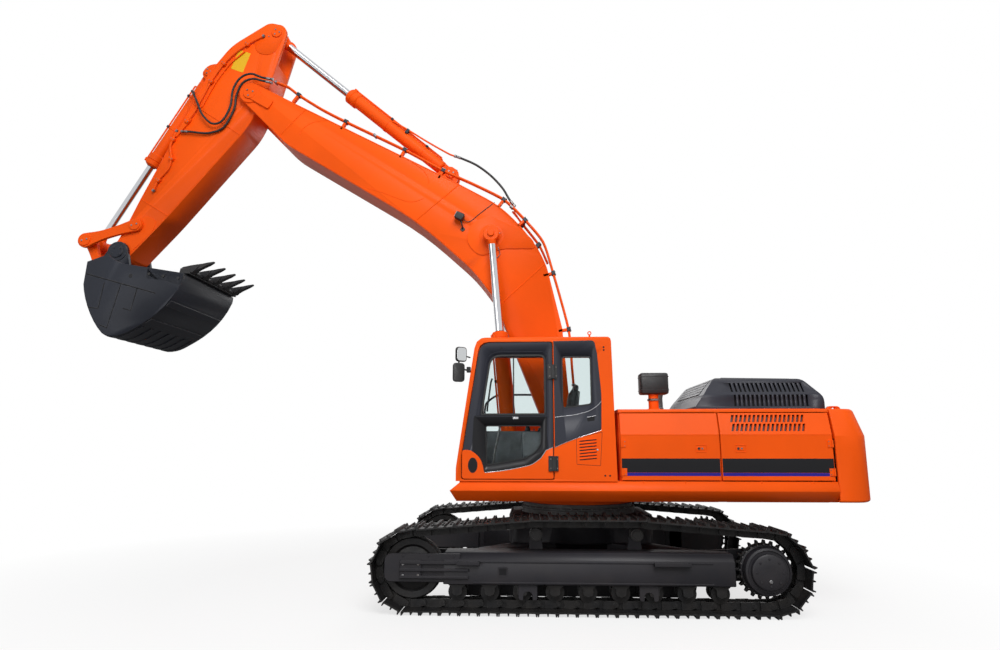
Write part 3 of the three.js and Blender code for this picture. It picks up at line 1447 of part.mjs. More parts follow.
function bucketBody() {
  const outer = bucketSide().getPoints(7);
  const points = outer.slice(0, -1);
  const within = inset(points, BUCKET_WALL);
  // The opening is cut clear through the upper edge.
  const open = within.map((p) => (p.y < 300 ? new THREE.Vector2(p.x, p.y - 300) : p));
  const full = sideways(new THREE.Shape(points), -BUCKET_HALF, BUCKET_HALF);
  const hollow = sideways(new THREE.Shape(open), -BUCKET_HALF + BUCKET_WALL, BUCKET_HALF - BUCKET_WALL);
  const earIn = ARM_HALF + PLAY;
  const ears = [1, -1].map((side) => {
    const y = [side * earIn, side * (earIn + BUCKET_EAR)];
    const ear = sideways(
      [
        [-110, -120, 60],
        [120, -110, 60],
        [250, 190],
        [60, 400],
        [10, 700],
        [-45, 690],
        [EAR_PIN[0] - 60, EAR_PIN[1] + 90, 60],
        [EAR_PIN[0] - 95, EAR_PIN[1] - 60, 60],
      ],
      Math.min(...y),
      Math.max(...y),
    );
    const bosses = [
      bar(0, 0, 160, Math.min(...y), Math.max(...y), 20),
      bar(...EAR_PIN, 100, Math.min(...y), Math.max(...y), 20),
    ];
    return cut(join(ear, ...bosses), bar(0, 0, TIP_PIN + PIN_PLAY, -500, 500));
  });
  return join(cut(full, hollow), ears);
}

place(bucket, "bucket", bucketBody(), BUCKET_PAINT);

// Cutting edge with its teeth, bolted over the lip.
function cuttingEdge() {
  const half = BUCKET_HALF - BUCKET_WALL - GAP;
  const plate = sideways(
    [
      [1300, 245 - LIP_PLATE - 10],
      [1430, 245 - LIP_PLATE - 30],
      [1460, 300 - LIP_PLATE],
      [1340, 243 - GAP],
      [1300, 243 - GAP],
    ],
    -half,
    half,
  );
  const teeth = [];
  for (let i = 0; i < TOOTH_COUNT; i += 1) {
    const y = -BUCKET_HALF + 110 + (i * (2 * BUCKET_HALF - 220)) / (TOOTH_COUNT - 1);
    teeth.push(
      sideways(
        [
          [1330, 120],
          [1430, 110],
          [1405 + TOOTH_LENGTH, -12],
          [1410 + TOOTH_LENGTH, 12],
          [1450, 240],
          [1350, 200],
        ],
        y - 65,
        y + 65,
      ),
    );
  }
  return join(plate, ...teeth);
}
place(bucket, "cutting_edge", cuttingEdge(), TRACK_STEEL);

// ---------------------------------------------------------------- origin

// The root group moves the swing axis so that the origin is under the middle of the whole machine.
const root = new THREE.Group();
root.name = "crawler_excavator";
machine.updateMatrixWorld(true);
const extent = new THREE.Box3().setFromObject(machine, true);
machine.position.set(-(extent.min.x + extent.max.x) / 2, 0, -extent.min.z);
root.add(machine);

export default root;
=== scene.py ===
"""Crawler excavator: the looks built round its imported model. Metres and degrees, +Z up, +X to the bucket."""

import json
import math

import bmesh
import bpy
from bpy.props import FloatProperty, FloatVectorProperty, IntProperty, PointerProperty
from mathutils import Matrix, Vector


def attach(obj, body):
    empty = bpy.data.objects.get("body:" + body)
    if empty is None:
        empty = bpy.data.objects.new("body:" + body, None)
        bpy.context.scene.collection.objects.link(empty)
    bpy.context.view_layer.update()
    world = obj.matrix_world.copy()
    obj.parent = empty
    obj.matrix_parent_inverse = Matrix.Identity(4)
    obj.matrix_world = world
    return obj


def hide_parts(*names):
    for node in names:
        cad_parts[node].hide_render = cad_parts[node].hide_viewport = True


bl_info = {
    "name": "Crawler excavator",
    "version": (1, 0, 0),
    "blender": (4, 5, 0),
    "location": "View3D > Sidebar > Excavator",
    "description": "Builds the detailed pieces, finishes and stage of a crawler excavator",
    "category": "Add Mesh",
}

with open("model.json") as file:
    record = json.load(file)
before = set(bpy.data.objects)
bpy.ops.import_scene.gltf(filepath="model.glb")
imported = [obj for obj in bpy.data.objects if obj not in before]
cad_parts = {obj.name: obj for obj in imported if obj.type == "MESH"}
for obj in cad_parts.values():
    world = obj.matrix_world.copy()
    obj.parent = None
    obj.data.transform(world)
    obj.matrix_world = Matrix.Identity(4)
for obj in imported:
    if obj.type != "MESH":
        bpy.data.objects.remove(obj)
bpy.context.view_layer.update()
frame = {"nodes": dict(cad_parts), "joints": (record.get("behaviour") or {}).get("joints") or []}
JOINTS = {joint["name"]: joint for joint in frame["joints"]}
SIDES = (("left", 1), ("right", -1))

# ---------------------------------------------------------------- frames of the moving parts


def shop_frame(joint, degrees=0.0):
    """The frame that a part is drawn in: at a joint, its X turned up from the ground by an angle."""
    turn = Matrix.Rotation(-math.radians(degrees), 4, "Y")
    return Matrix.Translation(Vector(JOINTS[joint]["pos_m"])) @ turn


def cylinder_frame(cylinder):
    """The frame of a cylinder at its foot, its X along the rod."""
    x, _, z = JOINTS[cylinder + "_slide"]["axis"]
    return shop_frame(cylinder + "_tilt", math.degrees(math.atan2(z, x)))


BOOM_ANGLE = 47.9
ARM_ANGLE = -53.45
BUCKET_ANGLE = -170.0
ROCKER_ANGLE = -16.8
HOUSE = Matrix.Translation((JOINTS["swing"]["pos_m"][0], 0, 0))
FROM_HOUSE = Matrix.Translation((-HOUSE.translation.x, 0, 0))
BOOM = shop_frame("boom_lift", BOOM_ANGLE)
ARM = shop_frame("arm_crowd", ARM_ANGLE)
BUCKET = shop_frame("bucket_curl", BUCKET_ANGLE)
ROCKER = shop_frame("rocker_swing", ROCKER_ANGLE)
LIFT_EYE = Vector((2.843, 0, 1.209))  # of the boom cylinders, on the boom
ARM_TAIL = Vector((-1.08, 0, 0.39))  # of the arm cylinder, on the arm
EAR_PIN = Vector((-0.210, 0, 0.484))  # lower pin of the link, on the bucket's ears
LINK_TOP = Vector(JOINTS["link_swing"]["pos_m"])
LINK_RUN = BUCKET @ EAR_PIN - LINK_TOP
LINK = shop_frame("link_swing", math.degrees(math.atan2(LINK_RUN.z, LINK_RUN.x)))

# ---------------------------------------------------------------- sizes and colours to change


class ExcavatorPaint(bpy.types.PropertyGroup):
    """Colours of the finishes."""

    body: FloatVectorProperty(
        name="Body enamel", description="Paint of the house, boom and arm",
        subtype="COLOR", size=3, min=0, max=1, default=(0.93, 0.1, 0.003),
    )
    cab: FloatVectorProperty(
        name="Cab enamel", description="Dark paint of the cab's upper panels and the hood",
        subtype="COLOR", size=3, min=0, max=1, default=(0.026, 0.028, 0.04),
    )
    undercarriage: FloatVectorProperty(
        name="Undercarriage enamel", description="Paint of the track frames",
        subtype="COLOR", size=3, min=0, max=1, default=(0.022, 0.021, 0.026),
    )
    bucket: FloatVectorProperty(
        name="Bucket enamel", description="Paint of the bucket",
        subtype="COLOR", size=3, min=0, max=1, default=(0.014, 0.017, 0.027),
    )
    stripe: FloatVectorProperty(
        name="Stripe", description="Narrow line under the dark band on the side doors",
        subtype="COLOR", size=3, min=0, max=1, default=(0.02, 0.012, 0.26),
    )
    sign: FloatVectorProperty(
        name="Sign", description="Blank sign plate on the arm",
        subtype="COLOR", size=3, min=0, max=1, default=(0.8, 0.45, 0.01),
    )


class ExcavatorTracks(bpy.types.PropertyGroup):
    """Sizes of the track chain."""

    grouser: FloatProperty(
        name="Grouser", description="Height of a shoe's bars over its plate",
        unit="LENGTH", default=0.03, min=0.01, max=0.03,
    )
    teeth: IntProperty(name="Teeth", description="Teeth of a sprocket", default=23, min=15, max=31)
    rollers: IntProperty(name="Rollers", description="Lower rollers of a track", default=9, min=5, max=11)


class ExcavatorFittings(bpy.types.PropertyGroup):
    """Sizes of small fittings that repeat over the machine."""

    edge: FloatProperty(
        name="Plate edge", description="Chamfer of a steel plate's edges",
        unit="LENGTH", default=0.006, min=0.001, max=0.012,
    )
    bolt: FloatProperty(
        name="Bolt", description="Radius of a bolt's head",
        unit="LENGTH", default=0.02, min=0.01, max=0.03,
    )
    pipe: FloatProperty(
        name="Pipe", description="Radius of the oil pipes and hoses",
        unit="LENGTH", default=0.017, min=0.01, max=0.02,
    )
    slots: IntProperty(
        name="Slots", description="Air slots in one row of the rear side door", default=17, min=8, max=20,
    )


class ExcavatorStage(bpy.types.PropertyGroup):
    """Camera and light."""

    lens: FloatProperty(
        name="Lens", description="Focal length on a 36 mm wide sensor, in millimetres",
        default=23.76, min=15, max=80,
    )
    key: FloatProperty(
        name="Key light", description="Power of the large lamp", unit="POWER", default=1950, min=0
    )
    fill: FloatProperty(
        name="Fill light", description="Power of the low lamp", unit="POWER", default=420, min=0
    )
    sky: FloatProperty(
        name="Sky", description="Strength of the even light from all round", default=0.42, min=0
    )


def sizes(name):
    """One of the property groups on the scene."""
    return getattr(bpy.context.scene, "excavator_" + name)


# ---------------------------------------------------------------- workshop


def put_down_all():
    """Leave edit mode with nothing selected."""
    if bpy.context.object and bpy.context.object.mode != "OBJECT":
        bpy.ops.object.mode_set(mode="OBJECT")
    bpy.ops.object.select_all(action="DESELECT")


def take(*pieces):
    """Select these pieces only; the first is the active one."""
    put_down_all()
    for piece in pieces:
        piece.select_set(True)
    bpy.context.view_layer.objects.active = pieces[0]
    return pieces[0]


def apply_modifier(piece, kind, **settings):
    take(piece)
    bpy.ops.object.modifier_add(type=kind)
    modifier = piece.modifiers[-1]
    for key, value in settings.items():
        setattr(modifier, key, value)
    bpy.ops.object.modifier_apply(modifier=modifier.name)
    return piece


def paint(piece, finish):
    """Give the whole piece one finish."""
    piece.data.materials.clear()
    piece.data.materials.append(FINISHES[finish])
    return piece


def tidy(piece):
    """Merge doubles and turn every face outwards."""
    take(piece)
    bpy.ops.object.mode_set(mode="EDIT")
    bpy.ops.mesh.select_all(action="SELECT")
    bpy.ops.mesh.remove_doubles(threshold=1e-5)
    bpy.ops.mesh.normals_make_consistent(inside=False)
    bpy.ops.object.mode_set(mode="OBJECT")
    return piece


def soften(piece, width=None, segments=1, angle=35):
    """Chamfer or round the sharp edges."""
    width = sizes("fittings").edge if width is None else width
    if width > 0:
        apply_modifier(
            piece, "BEVEL", width=width, segments=segments, limit_method="ANGLE",
            angle_limit=math.radians(angle), harden_normals=segments > 1,
        )
    return piece


def smooth(piece, angle=32):
    take(piece)
    bpy.ops.object.shade_smooth_by_angle(angle=math.radians(angle))
    return piece


def rounded(points, steps=4):
    """An outline's corners, those with a third value rounded to that radius."""
    out = []
    count = len(points)
    for i, point in enumerate(points):
        here = Vector(point[:2])
        if len(point) < 3:
            out.append(tuple(here))
            continue
        before = Vector(points[i - 1][:2]) - here
        after = Vector(points[(i + 1) % count][:2]) - here
        reach = min(point[2], before.length * 0.48, after.length * 0.48)
        start, end = here + before.normalized() * reach, here + after.normalized() * reach
        for k in range(steps + 1):
            t = k / steps
            out.append(tuple(start * (1 - t) ** 2 + here * 2 * t * (1 - t) + end * t * t))
    return out


def oblong(a0, a1, b0, b1, *radius):
    """Corners of an upright rectangle, each rounded to a radius where one is given."""
    return [(a0, b0, *radius), (a1, b0, *radius), (a1, b1, *radius), (a0, b1, *radius)]


def circle(x, z, radius, sides=24, start=0.0, end=360.0):
    """Points of a circle or an arc, from a start angle to an end angle."""
    whole = abs(end - start) >= 360
    count = sides if whole else sides + 1
    turn = [math.radians(start + (end - start) * i / sides) for i in range(count)]
    return [(x + radius * math.cos(a), z + radius * math.sin(a)) for a in turn]


def spread(a, b, depth, across):
    """A point of an outline set at a depth across it."""
    return {"x": (depth, a, b), "y": (a, depth, b), "z": (a, b, depth)}[across]


def outlined(outline, depth, across):
    """A flat face cut to an outline at a depth across it, left in edit mode with all of it chosen."""
    put_down_all()
    bpy.ops.mesh.primitive_circle_add(vertices=len(outline), radius=1, fill_type="NGON")
    piece = bpy.context.object
    for vertex, (a, b) in zip(piece.data.vertices, outline):
        vertex.co = spread(a, b, depth, across)
    bpy.ops.object.mode_set(mode="EDIT")
    bpy.ops.mesh.select_all(action="SELECT")
    return piece


def plate(points, low, high, finish, across="y", edge=None, segments=1, steps=4):
    """A plate cut to an outline and extruded across it between two depths, with chamfered edges."""
    low, high = sorted((low, high))
    piece = outlined(rounded(points, steps), low, across)
    rise = spread(0, 0, high - low, across)
    bpy.ops.mesh.extrude_region_move(TRANSFORM_OT_translate={"value": rise})
    tidy(piece)
    soften(piece, edge, segments)
    return paint(smooth(piece), finish)


def ring(points, wide, low, high, finish, across="y", edge=0.002, steps=5):
    """A frame round an opening: the outline inset by its width, its middle taken out, then thickened."""
    low, high = sorted((low, high))
    piece = outlined(rounded(points, steps), low, across)
    bpy.ops.mesh.inset(thickness=wide, depth=0)
    bpy.ops.mesh.delete(type="FACE")
    bpy.ops.mesh.select_all(action="SELECT")
    rise = spread(0, 0, high - low, across)
    bpy.ops.mesh.extrude_region_move(TRANSFORM_OT_translate={"value": rise})
    tidy(piece)
    soften(piece, edge)
    return paint(smooth(piece), finish)


def slab(x0, x1, y0, y1, z0, z1, finish, edge=None, segments=1):
    """A block between two places on each axis, with chamfered edges."""
    put_down_all()
    bpy.ops.mesh.primitive_cube_add(size=1, location=((x0 + x1) / 2, (y0 + y1) / 2, (z0 + z1) / 2))
    piece = bpy.context.object
    piece.scale = (abs(x1 - x0), abs(y1 - y0), abs(z1 - z0))
    bpy.ops.object.transform_apply(location=True, rotation=True, scale=True)
    soften(piece, edge, segments)
    return paint(smooth(piece), finish)


AXES = {
    "x": Matrix.Rotation(math.radians(90), 4, "Y"), "y": Matrix.Rotation(math.radians(-90), 4, "X"),
    "z": Matrix(),
}


def turned(profile, finish, at=(0, 0, 0), across="y", sides=32):
    """A body spun from its closed half section of [radius, height] points."""
    put_down_all()
    bpy.ops.mesh.primitive_circle_add(vertices=len(profile), radius=1, fill_type="NOTHING")
    piece = bpy.context.object
    for vertex, (radius, height) in zip(piece.data.vertices, profile):
        vertex.co = (radius, 0, height)
    bpy.ops.object.mode_set(mode="EDIT")
    bpy.ops.mesh.select_all(action="SELECT")
    bpy.ops.mesh.spin(steps=sides, angle=math.radians(360), center=(0, 0, 0), axis=(0, 0, 1))
    bpy.ops.mesh.select_all(action="SELECT")
    bpy.ops.mesh.remove_doubles(threshold=1e-5)
    bpy.ops.mesh.dissolve_degenerate(threshold=1e-6)
    bpy.ops.object.mode_set(mode="OBJECT")
    tidy(piece)
    piece.matrix_world = Matrix.Translation(at) @ AXES[across]
    bpy.ops.object.transform_apply(location=True, rotation=True, scale=True)
    return paint(smooth(piece), finish)


def drum(radius, low, high, chamfer=0.006):
    """Half section of a plain round body between two heights, with chamfered rims."""
    low, high = sorted((low, high))
    return [
        (0, low), (radius - chamfer, low), (radius, low + chamfer),
        (radius, high - chamfer), (radius - chamfer, high), (0, high),
    ]


def eased(points, per_span=6, slack=0.5):
    """Points along one smooth curve through the given ones."""
    points = [Vector(p) for p in points]
    whole = [points[0] * 2 - points[1], *points, points[-1] * 2 - points[-2]]
    out = []
    for i in range(1, len(whole) - 2):
        a, b, c, d = whole[i - 1 : i + 3]
        go, come = (c - a) * slack, (d - b) * slack
        for k in range(per_span):
            t = k / per_span
            out.append(
                b * (2 * t**3 - 3 * t**2 + 1) + go * (t**3 - 2 * t**2 + t)
                + c * (3 * t**2 - 2 * t**3) + come * (t**3 - t**2)
            )
    return [*out, points[-1]]


def pipe(points, radius, finish, sides=12):
    """A round bar bent along points."""
    put_down_all()
    bpy.ops.curve.primitive_nurbs_path_add()
    piece = bpy.context.object
    curve = piece.data
    curve.splines.clear()
    spline = curve.splines.new("POLY")
    spline.points.add(len(points) - 1)
    for place, point in zip(spline.points, points):
        place.co = (*point, 1)
    curve.bevel_depth = radius
    curve.bevel_resolution = max(1, sides // 4 - 1)
    curve.use_fill_caps = True
    bpy.ops.object.convert(target="MESH")
    piece = tidy(bpy.context.object)
    return paint(smooth(piece, 50), finish)


def copied(piece, places):
    """Copies of a piece at these matrices, each with its own mesh; the first model is used up."""
    made = []
    for place in places:
        copy = piece.copy()
        copy.data = piece.data.copy()
        bpy.context.scene.collection.objects.link(copy)
        copy.matrix_world = place
        made.append(copy)
    bpy.data.objects.remove(piece)
    take(*made)
    bpy.ops.object.transform_apply(location=True, rotation=True, scale=True)
    if len(made) > 1:
        bpy.ops.object.join()
    return bpy.context.object


def bolts(places, radius=None, across="y", side=1, finish="bare_steel"):
    """Hexagon heads on washers, pointing out across the given axis."""
    radius = sizes("fittings").bolt if radius is None else radius
    put_down_all()
    bpy.ops.mesh.primitive_cylinder_add(
        vertices=6, radius=radius, depth=radius * 1.1, location=(0, 0, radius * 0.55)
    )
    head = bpy.context.object
    soften(head, radius * 0.12)
    paint(head, finish)
    washer = turned(drum(radius * 1.45, -0.004, radius * 0.25, 0.001), finish, across="z", sides=12)
    model = take(head, washer)
    bpy.ops.object.join()
    turn = AXES[across] if side > 0 else AXES[across] @ Matrix.Rotation(math.radians(180), 4, "X")
    return copied(model, [Matrix.Translation(place) @ turn for place in places])


def pin_cap(x, z, y, radius, side, finish="body_enamel", count=3):
    """A pin's end cover with its small bolts, standing out of a side plate."""
    out = side * 0.022
    cover = turned(drum(radius, 0, out, 0.004), finish, at=(x, y * side, z), sides=32)
    spots = [(x + a, (y + 0.022) * side, z + b) for a, b in circle(0, 0, radius * 0.55, count)]
    return [cover, bolts(spots, 0.014, side=side)]


def cut_away(piece, *cutters):
    """Take these bodies out of a piece."""
    cutter = take(*cutters)
    if len(cutters) > 1:
        bpy.ops.object.join()
        cutter = bpy.context.object
    apply_modifier(piece, "BOOLEAN", operation="DIFFERENCE", object=cutter, solver="EXACT")
    bpy.data.objects.remove(cutter)
    return piece


def from_frame(node, finish, edge=None, segments=1, angle=35):
    """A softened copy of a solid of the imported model, its flat faces made whole."""
    source = frame["nodes"][node]
    piece = bpy.data.objects.new("copy", source.data.copy())
    bpy.context.scene.collection.objects.link(piece)
    take(piece)
    bpy.ops.object.mode_set(mode="EDIT")
    bpy.ops.mesh.select_all(action="SELECT")
    bpy.ops.mesh.remove_doubles(threshold=1e-5)
    bpy.ops.mesh.customdata_custom_splitnormals_clear()
    bpy.ops.mesh.dissolve_limited(angle_limit=math.radians(1))
    bpy.ops.object.mode_set(mode="OBJECT")
    soften(piece, edge, segments, angle)
    return paint(smooth(piece), finish)


def settle(name, parts, body, place, replaces=()):
    """Join the parts of one piece, set it in its place and let it ride on its body."""
    flat = []
    for part in parts:
        flat.extend(part if isinstance(part, (list, tuple)) else [part])
    piece = take(*flat)
    if len(flat) > 1:
        bpy.ops.object.join()
        piece = bpy.context.object
    piece.matrix_world = place
    bpy.ops.object.transform_apply(location=True, rotation=True, scale=True)
    piece.name = name
    piece.data.name = name
    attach(piece, body)
    if replaces:
        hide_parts(*replaces)
    return piece


def shifted(piece, place):
    """Move a part within its piece before they are joined."""
    take(piece)
    piece.matrix_world = place
    bpy.ops.object.transform_apply(location=True, rotation=True, scale=True)
    return piece



# ---------------------------------------------------------------- finishes

FINISHES = {}


def add_node(tree, kind, values=None, **settings):
    """A shader node with its settings, its inputs set or linked."""
    made = tree.nodes.new(kind)
    for key, value in settings.items():
        setattr(made, key, value)
    for key, value in (values or {}).items():
        if isinstance(value, bpy.types.NodeSocket):
            tree.links.new(value, made.inputs[key])
        else:
            made.inputs[key].default_value = value
    return made


def new_group(name, inputs, outputs):
    """A shader node group with named sockets; returns its tree, its input node and its output node."""
    tree = bpy.data.node_groups.new(name, "ShaderNodeTree")
    for label, kind, value in inputs:
        socket = tree.interface.new_socket(name=label, in_out="INPUT", socket_type="NodeSocket" + kind)
        socket.default_value = value
    for label, kind in outputs:
        tree.interface.new_socket(name=label, in_out="OUTPUT", socket_type="NodeSocket" + kind)
    return tree, tree.nodes.new("NodeGroupInput"), tree.nodes.new("NodeGroupOutput")


def object_place(tree):
    return add_node(tree, "ShaderNodeTexCoord").outputs["Object"]


def math_node(tree, operation, a, b, clamp=False):
    made = add_node(tree, "ShaderNodeMath", {0: a, 1: b}, operation=operation, use_clamp=clamp)
    return made.outputs[0]


def ramp(tree, value, low, high, to_low=0.0, to_high=1.0):
    """A value stretched from one range to another, without overshoot."""
    made = add_node(
        tree, "ShaderNodeMapRange",
        {"Value": value, "From Min": low, "From Max": high, "To Min": to_low, "To Max": to_high}, clamp=True,
    )
    return made.outputs["Result"]


def mixed(tree, share, a, b):
    made = tree.nodes.new("ShaderNodeMix")
    made.data_type = "RGBA"
    for socket, value in zip((made.inputs[0], made.inputs[6], made.inputs[7]), (share, a, b)):
        if isinstance(value, bpy.types.NodeSocket):
            tree.links.new(value, socket)
        else:
            socket.default_value = value
    return made.outputs[2]


def rgba(color, gain=1.0):
    return (*[min(1.0, c * gain) for c in color[:3]], 1.0)


def noise(tree, scale, detail=3.0, vector=None):
    vector = object_place(tree) if vector is None else vector
    made = add_node(tree, "ShaderNodeTexNoise", {"Vector": vector, "Scale": scale, "Detail": detail})
    return made.outputs["Fac"]


def build_groups():
    """The effects that several finishes share."""
    groups = {}

    tree, inside, out = new_group(
        "Uneven tone",
        [
            ("Color", "Color", (0.8, 0.8, 0.8, 1)), ("Shade", "Color", (0.5, 0.5, 0.5, 1)),
            ("Scale", "Float", 2.0),
        ],
        [("Color", "Color")],
    )
    broad = noise(tree, inside.outputs["Scale"], 4)
    tree.links.new(
        mixed(tree, ramp(tree, broad, 0.35, 0.7), inside.outputs["Color"], inside.outputs["Shade"]),
        out.inputs["Color"],
    )
    groups["tone"] = tree

    tree, inside, out = new_group(
        "Sprayed skin", [("Scale", "Float", 90.0), ("Waves", "Float", 2.5)], [("Height", "Float")],
    )
    fine = noise(tree, inside.outputs["Scale"], 2)
    wide = noise(tree, inside.outputs["Waves"], 1)
    tree.links.new(
        math_node(tree, "ADD", math_node(tree, "MULTIPLY", fine, 0.25), wide), out.inputs["Height"]
    )
    groups["skin"] = tree

    tree, inside, out = new_group(
        "Settled dust",
        [("Low", "Float", 0.0), ("High", "Float", 1.6), ("Amount", "Float", 0.3), ("Scale", "Float", 3.0)],
        [("Mask", "Float")],
    )
    place = object_place(tree)
    height = add_node(tree, "ShaderNodeSeparateXYZ", {0: place}).outputs["Z"]
    low = add_node(
        tree, "ShaderNodeMapRange",
        {
            "Value": height, "From Min": inside.outputs["Low"], "From Max": inside.outputs["High"],
            "To Min": 1.0, "To Max": 0.0,
        },
    ).outputs["Result"]
    facing = add_node(
        tree, "ShaderNodeSeparateXYZ", {0: add_node(tree, "ShaderNodeNewGeometry").outputs["Normal"]}
    )
    ledge = ramp(tree, facing.outputs["Z"], 0.35, 1.0)
    patches = ramp(tree, noise(tree, inside.outputs["Scale"], 5), 0.35, 0.75)
    both = math_node(tree, "MAXIMUM", low, math_node(tree, "MULTIPLY", ledge, 0.7), True)
    dusty = math_node(tree, "MULTIPLY", both, patches)
    tree.links.new(math_node(tree, "MULTIPLY", dusty, inside.outputs["Amount"], True), out.inputs["Mask"])
    groups["dust"] = tree

    tree, inside, out = new_group(
        "Worn edges",
        [("Radius", "Float", 0.012), ("Amount", "Float", 1.0), ("Break up", "Float", 14.0)],
        [("Mask", "Float")],
    )
    bevel = add_node(tree, "ShaderNodeBevel", {"Radius": inside.outputs["Radius"]}, samples=4)
    true_normal = add_node(tree, "ShaderNodeNewGeometry").outputs["Normal"]
    dot = add_node(
        tree, "ShaderNodeVectorMath", {0: bevel.outputs[0], 1: true_normal}, operation="DOT_PRODUCT"
    )
    turn = ramp(tree, dot.outputs["Value"], 0.985, 0.9)
    rough = ramp(tree, noise(tree, inside.outputs["Break up"], 6), 0.42, 0.6)
    worn = math_node(tree, "MULTIPLY", turn, rough)
    tree.links.new(math_node(tree, "MULTIPLY", worn, inside.outputs["Amount"], True), out.inputs["Mask"])
    groups["wear"] = tree

    tree, inside, out = new_group(
        "Scraped streaks", [("Stretch", "Vector", (1.0, 14.0, 14.0)), ("Scale", "Float", 6.0)],
        [("Mask", "Float"), ("Height", "Float")],
    )
    drawn = add_node(
        tree, "ShaderNodeVectorMath", {0: object_place(tree), 1: inside.outputs["Stretch"]},
        operation="MULTIPLY",
    ).outputs[0]
    streaks = noise(tree, inside.outputs["Scale"], 6, drawn)
    tree.links.new(ramp(tree, streaks, 0.5, 0.68), out.inputs["Mask"])
    tree.links.new(streaks, out.inputs["Height"])
    groups["streaks"] = tree

    tree, inside, out = new_group(
        "Woven cloth", [("Scale", "Float", 260.0)], [("Mask", "Float"), ("Height", "Float")],
    )
    place = object_place(tree)
    warp, weft = [
        add_node(
            tree, "ShaderNodeTexWave", {"Vector": place, "Scale": inside.outputs["Scale"], "Distortion": 0.6},
            bands_direction=way,
        ).outputs["Fac"]
        for way in ("Y", "DIAGONAL")
    ]
    weave = math_node(tree, "MULTIPLY", warp, weft)
    tree.links.new(weave, out.inputs["Height"])
    tree.links.new(ramp(tree, noise(tree, 40.0, 3), 0.4, 0.65), out.inputs["Mask"])
    groups["weave"] = tree

    tree, inside, out = new_group(
        "Round holes", [("Pitch", "Float", 0.03), ("Radius", "Float", 0.3)], [("Mask", "Float")],
    )
    place = add_node(tree, "ShaderNodeSeparateXYZ", {0: object_place(tree)})
    sides = []
    for axis in ("Y", "X"):
        share = math_node(
            tree, "FRACT", math_node(tree, "DIVIDE", place.outputs[axis], inside.outputs["Pitch"]), 0
        )
        sides.append(math_node(tree, "POWER", math_node(tree, "SUBTRACT", share, 0.5), 2))
    reach = math_node(tree, "SQRT", math_node(tree, "ADD", *sides), 0)
    edge = math_node(tree, "SUBTRACT", inside.outputs["Radius"], reach)
    tree.links.new(ramp(tree, edge, -0.02, 0.02), out.inputs["Mask"])
    groups["holes"] = tree
    return groups


def use_group(tree, group, **values):
    made = tree.nodes.new("ShaderNodeGroup")
    made.node_tree = group
    for key, value in values.items():
        socket = made.inputs[key.replace("_", " ")]
        if isinstance(value, bpy.types.NodeSocket):
            tree.links.new(value, socket)
        else:
            socket.default_value = value
    return made.outputs


def new_finish(name, **values):
    """A material with its Principled shader; values set that shader's own sockets."""
    material = bpy.data.materials.new(name)
    material.use_nodes = True
    tree = material.node_tree
    shader = tree.nodes["Principled BSDF"]
    for key, value in values.items():
        shader.inputs[key.replace("_", " ")].default_value = value
    FINISHES[name] = material
    return tree, shader


def bump(tree, shader, height, distance, strength=1.0):
    made = add_node(tree, "ShaderNodeBump", {"Height": height, "Distance": distance, "Strength": strength})
    tree.links.new(made.outputs["Normal"], shader.inputs["Normal"])


def enamel(
    groups, name, color, rough=0.38, coat=0.1, dust=0.12, dust_top=1.9, wear=0.0, shade=0.86, gloss=0.3
):
    """Sprayed paint: a slightly uneven tone, orange peel, dust low down and on ledges, worn edges."""
    tree, shader = new_finish(name, Coat_Weight=coat, Coat_Roughness=0.15, Specular_IOR_Level=gloss)
    tone = use_group(tree, groups["tone"], Color=rgba(color), Shade=rgba(color, shade), Scale=0.9)["Color"]
    mask = use_group(tree, groups["dust"], High=dust_top, Amount=dust)["Mask"]
    surface = mixed(tree, mask, tone, (0.28, 0.22, 0.17, 1))
    roughness = ramp(tree, mask, 0.0, 0.5, rough, rough + 0.35)
    if wear:
        edges = use_group(tree, groups["wear"], Amount=wear)["Mask"]
        surface = mixed(tree, edges, surface, (0.17, 0.16, 0.155, 1))
        tree.links.new(math_node(tree, "MULTIPLY", edges, 0.8), shader.inputs["Metallic"])
    tree.links.new(surface, shader.inputs["Base Color"])
    tree.links.new(roughness, shader.inputs["Roughness"])
    bump(tree, shader, use_group(tree, groups["skin"])["Height"], 0.0015, 0.35)


